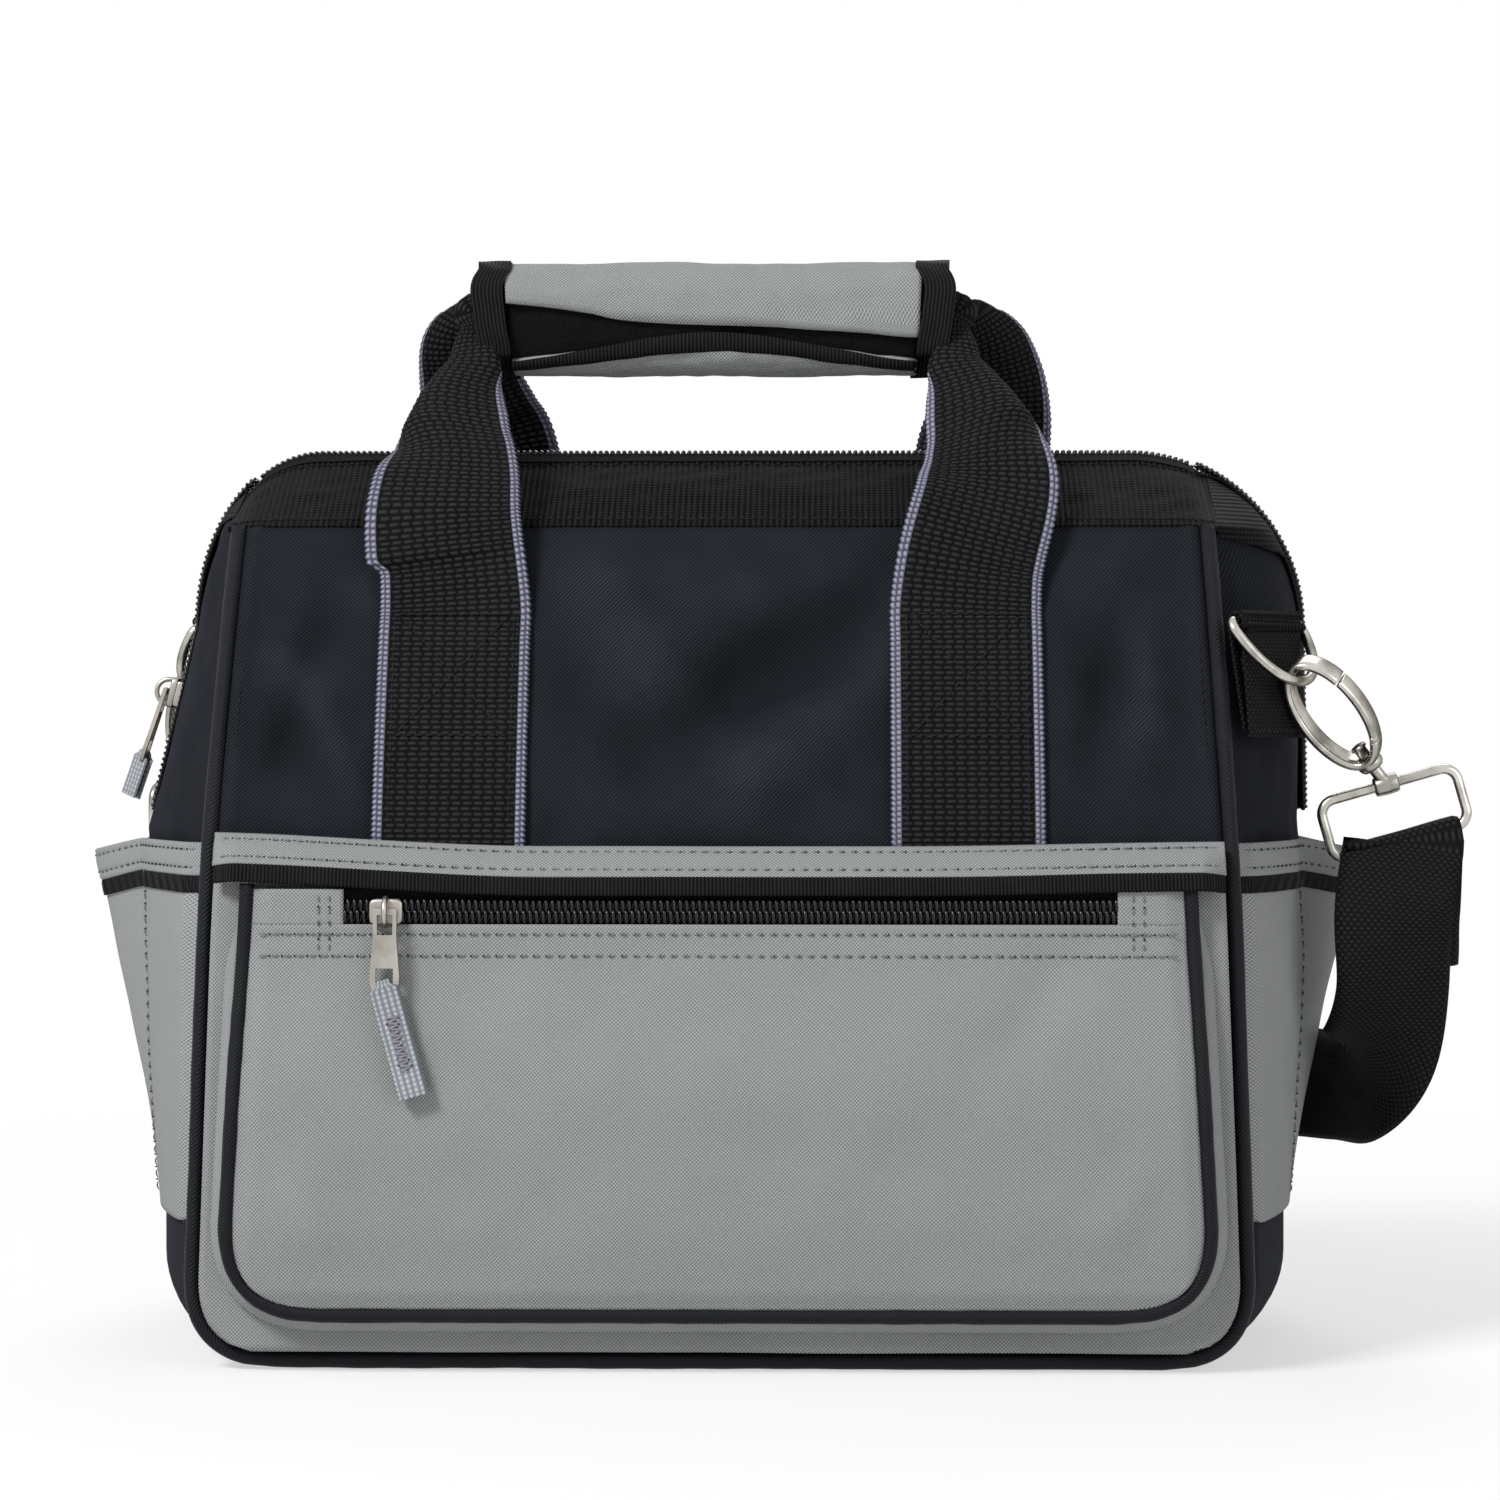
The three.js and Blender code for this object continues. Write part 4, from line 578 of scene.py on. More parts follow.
def stitch_points(path: Array, out: Array, pitch: float, length: float, radius: float) -> Array:
    """Small bowed threads along a line: each is a thin round bar that dips into the cloth at both ends.

    Args:
        path: points on the cloth, in millimetres.
        out: direction out of the cloth at each point.
        pitch: distance from one stitch to the next.
        length: length of a stitch.
        radius: half the thread's thickness.

    Returns:
        Points of shape stitches, rings, sides, 3.
    """
    travel = travel_along(path)
    count = max(int(travel[-1] / pitch), 1)
    middle = (np.arange(count) + 0.5) * travel[-1] / count
    share = np.linspace(-0.5, 0.5, STITCH_RINGS)
    at = middle[:, None] + share[None, :] * length
    line = np.stack([np.interp(at, travel, path[:, c]) for c in range(3)], axis=-1)
    facing = unit(np.stack([np.interp(at, travel, out[:, c]) for c in range(3)], axis=-1))
    along = unit(line[:, -1:] - line[:, :1])
    side = unit(np.cross(np.broadcast_to(along, facing.shape), facing))
    bow = radius * (1.1 - 7.0 * share**2)
    line = line + facing * bow[None, :, None]
    angle = np.arange(STITCH_SIDES) * TAU / STITCH_SIDES
    girth = radius * np.sqrt(np.clip(1.0 - (1.9 * share) ** 2, 0.12, 1.0))
    ring = np.cos(angle)[:, None] * facing[:, :, None] + np.sin(angle)[:, None] * side[:, :, None]
    return line[:, :, None] + girth[None, :, None, None] * ring


def thread_bars(name: str, points: Array) -> bpy.types.Object:
    """One piece from many small bars of equal rings and sides, their ends closed."""
    quads = grid_faces(STITCH_RINGS, STITCH_SIDES, False, True)
    first = np.arange(STITCH_SIDES)
    ends = np.stack([first[::-1], first + (STITCH_RINGS - 1) * STITCH_SIDES])
    start = np.arange(len(points))[:, None, None] * (STITCH_RINGS * STITCH_SIDES)
    faces = (start + quads[None]).reshape(-1, 4).tolist()
    faces += (start + ends[None]).reshape(-1, STITCH_SIDES).tolist()
    return new_object(name, points.reshape(-1, 3), faces, None)


def sew(
    name: str, lines: Sequence[Tuple[Array, Array]], finish: str, body: str,
    pitch: float = 4.0, length: float = 3.0, radius: float = 0.3,
) -> None:
    """Sewn lines, each a path and the way out of the cloth: one piece of thread and one of dark needle holes.

    Args:
        name: piece name of the thread.
        lines: paths with the directions out of the cloth.
        finish: finish of the thread.
        body: body that both ride on.
        pitch: distance from one stitch to the next.
        length: length of a stitch.
        radius: half the thread's thickness.
    """
    bars = [stitch_points(path, out, pitch, length, radius) for path, out in lines]
    dress(thread_bars(name, np.concatenate(bars)), finish, body)
    dents = []
    for path, out in lines:
        span = path_length(path)
        count = max(int(span / pitch), 1)
        if count > 2:
            inner = even_steps(np.hstack([path, out]), 40 * count)[20:-20]
            dents.append(
                stitch_points(inner[:, :3] - 0.1 * inner[:, 3:], inner[:, 3:], span / count, 0.75, 0.4)
            )
    dress(thread_bars(f"{name}_holes", np.concatenate(dents)), "hole", body)


def rounded_block(
    name: str, centre: Array, axes: Array, half: Sequence[float], power: float
) -> bpy.types.Object:
    """A closed block with round edges: half-sizes times signed powers of sines and cosines.

    Args:
        name: piece name.
        centre: middle of the block.
        axes: three rows, its right-handed directions.
        half: three half-sizes.
        power: 1 gives an egg, less gives flatter faces.

    Returns:
        The object.
    """
    tilt = np.linspace(-math.pi / 2.0 + 0.02, math.pi / 2.0 - 0.02, 25)[:, None]
    turn = (np.arange(48) * TAU / 48.0)[None, :]
    x = half[0] * bent(np.cos(tilt), power) * bent(np.cos(turn), power)
    y = half[1] * bent(np.cos(tilt), power) * bent(np.sin(turn), power)
    z = half[2] * bent(np.sin(tilt), power) * np.ones_like(turn)
    local = np.stack(np.broadcast_arrays(x, y, z), axis=-1)
    return rod(name, np.asarray(centre, float) + local @ np.asarray(axes, float))


def turned(
    name: str, start: Array, axis: Array, profile: Sequence[Tuple[float, float]], sides: int = 32
) -> bpy.types.Object:
    """A turned piece: profile rows of (distance along the axis, radius) spun round the axis, ends closed."""
    rows = np.asarray(profile, float)
    axis = unit(np.asarray(axis, float))
    normal = square_to(axis)
    binormal = np.cross(axis, normal)
    angle = np.arange(sides) * TAU / sides
    ring = np.cos(angle)[:, None] * normal + np.sin(angle)[:, None] * binormal
    centre = np.asarray(start, float) + rows[:, :1] * axis
    return rod(name, centre[:, None] + rows[:, 1][:, None, None] * ring[None])


# Materials


class Graph:
    """The node tree of one material or of the surroundings."""

    def __init__(self, owner: Union[bpy.types.Material, bpy.types.World]) -> None:
        """Empties the owner's tree."""
        self.owner = owner
        owner.use_nodes = True
        self.tree = owner.node_tree
        self.tree.nodes.clear()

    def node(
        self, kind: str, settings: Optional[Dict[str, object]] = None,
        sockets: Optional[Dict[object, object]] = None,
        out: Union[int, str] = 0,
    ) -> "Value":
        """Adds one node.

        Args:
            kind: Blender's name of the node type.
            settings: properties that are set first; "stops" gives a ramp's (place, colour) pairs.
            sockets: inputs by name or number, each a plain value or a Value to link.
            out: which output to return.

        Returns:
            The wrapped output.
        """
        made = self.tree.nodes.new(kind)
        for key, value in (settings or {}).items():
            if key == "stops":
                ramp = made.color_ramp
                while len(ramp.elements) < len(value):
                    ramp.elements.new(0.5)
                for element, (place, colour) in zip(ramp.elements, value):
                    element.position = place
                    element.color = (*colour, 1.0)
            else:
                setattr(made, key, value)
        for key, value in (sockets or {}).items():
            if isinstance(value, Value):
                self.tree.links.new(value.socket, made.inputs[key])
            else:
                made.inputs[key].default_value = value
        return Value(self, made.outputs[out] if made.outputs else None)

    def plane(self) -> Tuple["Value", "Value"]:
        """The piece's own two surface lengths, in millimetres."""
        uv = self.node("ShaderNodeUVMap", {"uv_map": "UVMap"})
        split = self.node("ShaderNodeSeparateXYZ", None, {0: uv}, 0)
        return split, Value(self, split.socket.node.outputs[1])

    def noise(self, scale: float, detail: float = 3.0, uv: bool = False) -> "Value":
        """Cloudy unevenness of a scale in features a metre, or a millimetre on the UV map."""
        if uv:
            where = self.node("ShaderNodeUVMap", {"uv_map": "UVMap"})
        else:
            where = self.node("ShaderNodeTexCoord", None, None, "Object")
        return self.node("ShaderNodeTexNoise", None, {"Vector": where, "Scale": scale, "Detail": detail}, 0)

    def colours(self, low: Union[Colour, "Value"], high: Union[Colour, "Value"], share: "Value") -> "Value":
        """Colour from low to high by a value."""
        ends = [end if isinstance(end, Value) else (*end, 1.0) for end in (low, high)]
        return self.node("ShaderNodeMix", {"data_type": "RGBA"}, {0: share, 6: ends[0], 7: ends[1]}, 2)

    def seen(self) -> "Value":
        """One where a ray comes from the camera, a reflection or a clear piece, else nought."""
        kinds = ("Camera", "Glossy", "Transmission")
        rays = [self.node("ShaderNodeLightPath", None, None, f"Is {kind} Ray") for kind in kinds]
        return rays[0].math("MAXIMUM", rays[1]).math("MAXIMUM", rays[2])

    def finish(
        self, colour: object, roughness: object, height: Optional["Value"], depth: float,
        extra: Dict[str, object]
    ) -> bpy.types.Material:
        """Closes the tree with one shader, its bump and the output.

        Args:
            colour: base colour, a value or a link.
            roughness: roughness, a value or a link.
            height: bump height of 0 to 1, or None.
            depth: metres that the bump stands for.
            extra: constants for further sockets of the shader.

        Returns:
            The finished material.
        """
        sockets: Dict[object, object] = {"Base Color": colour, "Roughness": roughness, **extra}
        if height is not None:
            sockets["Normal"] = self.node(
                "ShaderNodeBump", None, {"Strength": 1.0, "Distance": depth, "Height": height}
            )
        shader = self.node("ShaderNodeBsdfPrincipled", None, sockets)
        self.node("ShaderNodeOutputMaterial", None, {0: shader})
        return self.owner


class Value:
    """A node's output that takes part in sums: each operator adds a Math node."""

    def __init__(self, graph: Graph, socket: object) -> None:
        """Wraps one output socket."""
        self.graph = graph
        self.socket = socket

    def math(self, operation: str, *others: Union["Value", Number]) -> "Value":
        """One Math node of an operation on this value and up to two others."""
        sockets = {i + 1: other for i, other in enumerate(others)}
        return self.graph.node("ShaderNodeMath", {"operation": operation}, {0: self, **sockets})

    def reflected(self, operation: str, other: Number) -> "Value":
        """The same with a plain number first."""
        return self.graph.node("ShaderNodeMath", {"operation": operation}, {0: float(other), 1: self})

    def __add__(self, other: Union["Value", Number]) -> "Value":
        """Sum."""
        return self.math("ADD", other)

    __radd__ = __add__

    def __mul__(self, other: Union["Value", Number]) -> "Value":
        """Product."""
        return self.math("MULTIPLY", other)

    __rmul__ = __mul__

    def __sub__(self, other: Union["Value", Number]) -> "Value":
        """Difference."""
        return self.math("SUBTRACT", other)

    def __rsub__(self, other: Number) -> "Value":
        """A number less this."""
        return self.reflected("SUBTRACT", other)

    def wave(self, pitch: float, phase: Union["Value", Number] = 0.0) -> "Value":
        """A sine wave of a pitch, from 0 to 1."""
        return ((self * (TAU / pitch) + phase).math("SINE") * 0.5) + 0.5

    def clamp(self, low: float, high: float) -> "Value":
        """Share of the way from low to high, held between 0 and 1."""
        return self.graph.node(
            "ShaderNodeMapRange", {"clamp": True}, {0: self, 1: low, 2: high, 3: 0.0, 4: 1.0}
        )


@dataclass(frozen=True)
class ClothFinish:
    """Woven cloth: two thread colours, a weave with its bump depth, roughness and shine of the threads."""

    name: str
    dark: Colour
    light: Colour
    weave: Weave
    depth: float
    roughness: float = 0.85
    shine: float = 0.15
    stripe: Optional[Colour] = None
    stripe_from: float = 0.0
    cloudy: float = 0.3
    weight: float = 0.7

    def make(self) -> bpy.types.Material:
        """Builds the material: thread height from the weave on the surface lengths, cloudy colour over it."""
        graph = Graph(bpy.data.materials.new(self.name))
        u, v = graph.plane()
        height = woven(self.weave, u, v, Value.wave)
        cloud = graph.noise(55.0, 4.0)
        fibre = graph.noise(2.6, 3.0, True)
        # Painted shade and light: the fold attribute darkens the colour in fold valleys and lightens it on
        # ridges.
        fold = graph.node("ShaderNodeAttribute", {"attribute_name": PAINTED_FOLD_SHADE}, {}, 2)
        shade = height * self.weight + cloud * self.cloudy + fibre * 0.3 - (0.15 + 0.5 * self.cloudy)
        shade = (shade * (fold * 0.5 + 1.0)).clamp(0.0, 1.0)
        colour = graph.colours(self.dark, self.light, shade)
        if self.stripe is not None:
            out = u.math("ABSOLUTE")
            second = out.clamp(self.stripe_from + 1.8, self.stripe_from + 1.9)
            dots = (out - self.stripe_from).wave(1.85, -math.pi / 2.0) * v.wave(1.86, second * 0.8)
            side = out.clamp(self.stripe_from, self.stripe_from + 0.3)
            pale = graph.colours(
                tuple(0.22 * c for c in self.stripe), self.stripe, (dots * 1.7).clamp(0.0, 1.0)
            )
            colour = graph.colours(colour, pale, side)
            height = height * (1.0 - side) + dots * side
        rough = (fibre * 0.16 + (self.roughness - 0.08)).clamp(0.0, 1.0)
        return graph.finish(
            colour, rough, height * 0.85 + fibre * 0.3, self.depth * MM, {"Specular IOR Level": self.shine},
        )


@dataclass(frozen=True)
class MetalFinish:
    """Plated metal with soft smears and fine scratches; its cloudy parts are darker, partly smears and partly
    painted dark reflections.
    """

    name: str
    bright: Colour
    dull: Colour
    roughness: float
    smear: float
    rim: Colour = (0.2, 0.18, 0.16)

    def make(self) -> bpy.types.Material:
        """Builds the material: cloudy smears in roughness, cloudy dark colour partly as painted reflection,
        fine scratch bump.
        """
        graph = Graph(bpy.data.materials.new(self.name))
        cloud = graph.noise(95.0, 3.0)
        scratch = graph.noise(1900.0, 2.0)
        patch = (cloud * 2.6 - 0.85).clamp(0.0, 1.0)
        # Painted reflection: the dark colour in the cloudy patches stands for darker surroundings mirrored in
        # the metal; the smears add roughness there.
        colour = graph.colours(self.dull, self.bright, patch)
        rough = (self.roughness + self.smear) - patch * self.smear + scratch * 0.06
        return graph.finish(
            colour, rough, cloud * 0.6 + scratch * 0.4, 0.00004,
            {"Metallic": 1.0, "Specular Tint": (*self.rim, 1.0)}
        )


@dataclass(frozen=True)
class PlainFinish:
    """Moulded nylon or thread: one colour with slight unevenness and fine grain."""

    name: str
    dark: Colour
    light: Colour
    roughness: float
    grain: float
    shine: float = 0.2

    def make(self) -> bpy.types.Material:
        """Builds the material: noise in colour, roughness and bump."""
        graph = Graph(bpy.data.materials.new(self.name))
        grain = graph.noise(self.grain, 3.0)
        colour = graph.colours(self.dark, self.light, (grain * 1.5 - 0.25).clamp(0.0, 1.0))
        return graph.finish(
            colour, grain * 0.2 + (self.roughness - 0.1), grain, 0.00006, {"Specular IOR Level": self.shine}
        )


STRIPE = (0.28, 0.285, 0.375)
COAL = (0.001, 0.001, 0.0012)
SOOT = (0.025, 0.025, 0.027)
FINISHES = {
    "navy": ClothFinish(
        "navy_twill", (0.0045, 0.0052, 0.0075), (0.033, 0.036, 0.046), Weave.TWILL, 0.24, 0.88, 0.05
    ),
    "grey": ClothFinish(
        "grey_weave", (0.14, 0.147, 0.146), (0.5, 0.515, 0.512), Weave.PLAIN, 0.3, 0.9, 0.06, cloudy=0.08
    ),
    "webbing": ClothFinish(
        "strap_webbing", COAL, (0.0215, 0.0215, 0.0215), Weave.CHECKER, 0.4, 0.7, 0.06, cloudy=0.1, weight=1.1
    ),
    "striped": ClothFinish(
        "striped_webbing", COAL, SOOT, Weave.LADDER, 0.35, 0.7, 0.07, STRIPE, 21.6, cloudy=0.2, weight=1.1
    ),
    "band": ClothFinish(
        "band_webbing", COAL, (0.0185, 0.0185, 0.02), Weave.DOTS, 0.4, 0.7, 0.05, cloudy=0.1, weight=1.0
    ),
    "grosgrain": ClothFinish("grosgrain_tape", COAL, (0.022, 0.022, 0.024), Weave.GROSGRAIN, 0.35, 0.7, 0.07),
    "piping": ClothFinish(
        "piping_cloth", (0.0028, 0.0032, 0.0046), (0.0135, 0.015, 0.02), Weave.TWILL, 0.25, 0.5, 0.13
    ),
    "pull": ClothFinish("pull_tape", (0.17, 0.185, 0.205), (0.62, 0.64, 0.67), Weave.DOTS, 0.3, 0.8, 0.15),
    "zip": PlainFinish("nylon_coil", (0.003, 0.003, 0.004), (0.008, 0.008, 0.01), 0.2, 600.0, 0.35),
    "tape": ClothFinish(
        "zip_tape", (0.002, 0.002, 0.0024), (0.0085, 0.0085, 0.0095), Weave.TWILL, 0.12, 0.8, 0.06
    ),
    "felt": PlainFinish("loop_felt", (0.0025, 0.0025, 0.003), (0.0085, 0.0085, 0.0095), 0.95, 900.0, 0.04),
    "board": PlainFinish("base_board", (0.015, 0.015, 0.015), (0.03, 0.03, 0.03), 0.6, 300.0),
    "thread": PlainFinish("blue_grey_thread", (0.11, 0.118, 0.14), (0.2, 0.21, 0.235), 0.75, 900.0),
    "lilac_thread": PlainFinish("lilac_thread", (0.17, 0.16, 0.21), (0.3, 0.28, 0.34), 0.75, 900.0),
    "black_thread": PlainFinish("black_thread", (0.004, 0.004, 0.005), (0.014, 0.014, 0.017), 0.7, 900.0),
    "hole": PlainFinish("needle_hole", (0.012, 0.013, 0.017), (0.03, 0.032, 0.04), 0.9, 900.0),
    "nickel": MetalFinish("bright_nickel", (0.7, 0.67, 0.62), (0.26, 0.25, 0.23), 0.12, 0.16),
    "satin": MetalFinish("satin_nickel", (0.56, 0.53, 0.48), (0.3, 0.28, 0.25), 0.26, 0.18),
}


@lru_cache(maxsize=None)
def material(finish: str) -> bpy.types.Material:
    """The material of a finish, made on first use."""
    return FINISHES[finish].make()


def dress(piece: bpy.types.Object, finish: str, body: Optional[str], *nodes: str) -> bpy.types.Object:
    """Gives a piece its material and slot, the body that it rides on, and the solids that it stands for.

    Args:
        piece: the object.
        finish: a key of FINISHES.
        body: the body to ride on, or None to leave it on none.
        nodes: solids that it replaces.

    Returns:
        The same object.
    """
    piece.data.materials.clear()
    piece.data.materials.append(material(finish))
    if body is not None:
        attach(piece, body)
    if nodes:
        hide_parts(*nodes)
    LOG.info("%s: %d faces, %s", piece.name, len(piece.data.polygons), finish)
    return piece


def cloth(name: str, grid: Array, thickness: float, finish: str, body: str, *nodes: str) -> bpy.types.Object:
    """A dressed piece of cloth of a thickness from an open grid; the rest is as for dress."""
    return dress(thicken(surface(name, grid), thickness), finish, body, *nodes)


# The bag's own form


@dataclass(frozen=True)
class BagForm:
    """Main sizes in millimetres and the surfaces that every sewn piece lies on."""

    half_bottom: float = 176.0
    half_top: float = 166.0
    corner: float = 31.0
    half_depth: float = 95.0
    straight: float = 130.0
    control: float = 185.0
    seam: float = 277.0
    seam_depth: float = 48.0
    piping: float = 2.9
    piping_seat: float = 2.0
    turn_up: float = 47.0
    mid_base: float = 188.0
    mid_hem: float = 200.0
    shoulder: float = 244.0
    arch_flat: float = 140.0
    arch_power: float = 2.0
    zip_height: float = 304.0
    lip_top: float = 2.95
    gusset_start: float = 5.8
    hem_top: float = 175.0
    hem_low: float = 164.0
    tape_low: float = 157.5
    flare: float = 17.0
    flare_half: float = 38.0
    flare_power: float = 1.3
    left_shoulder: float = 183.0
    right_shoulder: float = 199.0

    def width(self, z: Array) -> Array:
        """Half-width at the seams: a straight taper from the base to the top seam."""
        return mix(self.half_bottom, self.half_top, np.minimum(z, self.seam) / self.seam)

    def panel(self, z: Array) -> Tuple[Array, Array, Array]:
        """Depth of a panel at a height with the direction that it faces.

        Upright to the straight height, then a quadratic curve d = D - (D - S) t^2 whose t solves
        z = z0 + 2 (c - z0) t + (s - 2 c + z0) t^2.

        Args:
            z: heights.

        Returns:
            Depth from the mid plane, outward and upward parts of the facing direction.
        """
        z = np.asarray(z, float)
        b = 2.0 * (self.control - self.straight)
        a = self.seam - 2.0 * self.control + self.straight
        t = (-b + np.sqrt(np.maximum(b * b + 4.0 * a * np.maximum(z - self.straight, 0.0), 0.0))) / (2.0 * a)
        drop = (self.half_depth - self.seam_depth) * t * t
        facing = unit(np.stack([b + 2.0 * a * t, 2.0 * (self.half_depth - self.seam_depth) * t], axis=-1))
        return self.half_depth - drop, facing[..., 0], facing[..., 1]

    def depth(self, z: Array) -> Array:
        """Half depth of the body: the panels to the seam, then the lips up to the zip."""
        share = (z - self.seam) / (self.zip_height - self.seam)
        return np.where(z > self.seam, mix(self.seam_depth, self.lip_top, share), self.panel(z)[0])

    def outline(self, z: Array, inset: float) -> Array:
        """Half-width of the front outline drawn in by an inset, round at the lower corners."""
        return round_foot(z, 0.0, self.corner, inset, self.width)

    def on_panel(self, x: Array, z: Array, out: Array, face: Face) -> Array:
        """Points a distance out from a panel."""
        depth, level, up = self.panel(z)
        y = -(depth + out * level) * face.value
        return np.stack(np.broadcast_arrays(x * face.value, y, z + out * up), axis=-1)

    def panel_patch(
        self, low: float, high: float, inset: float, face: Face, rows: int, columns: int, out: Relief
    ) -> Array:
        """A grid on a panel between two heights and the outline, pushed out by a function of place."""
        z = np.linspace(low, high, rows)[:, None]
        x = np.linspace(-1.0, 1.0, columns)[None, :] * self.outline(z, inset)
        return self.on_panel(x, z + 0.0 * x, out(x, z + 0.0 * x), face)

    def shoulder_half(self, side: Side) -> float:
        """Half-width at the shoulder of one end."""
        return self.left_shoulder if side is Side.LEFT else self.right_shoulder

    def middle(self, z: Array, side: Side) -> Array:
        """Half-width at mid depth: a sine rise to the hem, a straight lean to the shoulder, then the arch."""
        z = np.asarray(z, float)
        low = mix(
            self.mid_base, self.mid_hem, np.sin(0.5 * math.pi * np.minimum(z, self.hem_top) / self.hem_top)
        )
        lean = mix(
            self.mid_hem, self.shoulder_half(side), (z - self.hem_top) / (self.shoulder - self.hem_top)
        )
        rise = np.clip((z - self.shoulder) / (self.zip_height - self.shoulder), 0.0, 1.0)
        span = self.shoulder_half(side) - self.arch_flat
        arch = self.arch_flat + span * (1.0 - rise**self.arch_power) ** (1.0 / self.arch_power)
        return np.where(z <= self.hem_top, low, np.where(z <= self.shoulder, lean, arch))

    def arch_height(self, half: Array, side: Side) -> Array:
        """Height of the arch over a half-width."""
        share = np.clip((half - self.arch_flat) / (self.shoulder_half(side) - self.arch_flat), 0.0, 1.0)
        rise = (1.0 - share**self.arch_power) ** (1.0 / self.arch_power)
        return self.shoulder + (self.zip_height - self.shoulder) * rise

    def arch_over(self, x: Array, face: Face) -> Array:
        """Height of the arch over places along a face, which count the other way at the rear."""
        left, right = (self.arch_height(np.abs(x), side) for side in Side)
        return np.where(x * face.value < 0.0, left, right)

    def hem_section(self, run: Array, z: Array, pucker: float) -> Array:
        """Height of a folded hem: round, drawn in at its two stitch rows, with small puckers along them."""
        share = (z - self.hem_low) / (self.hem_top - self.hem_low)
        rows = np.exp(-(((share - 0.8) / 0.07) ** 2)) + np.exp(-(((share - 0.24) / 0.07) ** 2))
        edge = np.clip(4.0 * share * (1.0 - share), 0.0, 1.0) ** 0.25
        return 0.9 * edge - 0.45 * rows + pucker * np.sin(TAU * run / 4.2) * rows

    def tape_section(self, run: Array, z: Array) -> Array:
        """Height of the tape below a hem: cross ribs, one each 1.3 mm, thinner at its two edges."""
        share = (z - self.tape_low) / (self.hem_low - self.tape_low)
        edge = np.clip(4.0 * share * (1.0 - share), 0.0, 1.0) ** 0.3
        return edge * (0.35 + 0.3 * np.abs(np.sin(math.pi * run / 1.3)))

    def end_reach(self, z: Array, side: Side) -> Array:
        """Half depth of an end: short of the piping below the top seam, along the lips' ends above it."""
        tip = float(self.arch_height(np.asarray(self.half_top), side))
        lips = mix(self.seam_depth, self.lip_top, np.clip((z - self.seam) / (tip - self.seam), 0.0, 1.0))
        level = np.where(z > self.seam, lips, self.panel(np.minimum(z, self.seam))[0])
        return level - mix(self.gusset_start, 0.4, ease((z - self.seam + 6.0) / 7.0))

    def gusset(self, y: Array, z: Array, out: Array, side: Side) -> Array:
        """Points on an end of the bag: seam half-width plus a bulge (1 - s^2), s the share of the depth."""
        share = np.clip(y / self.end_reach(z, side), -1.0, 1.0)
        bulge = np.maximum(self.middle(z, side) - self.width(z), 0.0) * (1.0 - share**2)
        x = (self.width(z) + bulge + out) * side.value
        return np.stack(np.broadcast_arrays(x, y, z), axis=-1)

    def flare_at(self, y: Array, z: Array) -> Array:
        """How far a side pocket stands off: F (1 - (y/h)^2)^2 times a power of the height."""
        across = np.clip(1.0 - (y / self.flare_half) ** 2, 0.0, 1.0) ** 2
        up = np.clip((z - self.turn_up) / (self.hem_top - self.turn_up), 0.0, None) ** self.flare_power
        return self.flare * across * up

    def gusset_patch(
        self, low: float, high: float, side: Side, rows: int, columns: int, out: Relief
    ) -> Array:
        """A grid on one end between two heights, from seam to seam, facing out."""
        z = np.linspace(low, high, rows)[:, None]
        share = np.linspace(-1.0, 1.0, columns)[None, :] * side.value
        y = share * self.end_reach(z, side)
        return self.gusset(y, z + 0.0 * y, out(y, z + 0.0 * y), side)


FORM = BagForm()


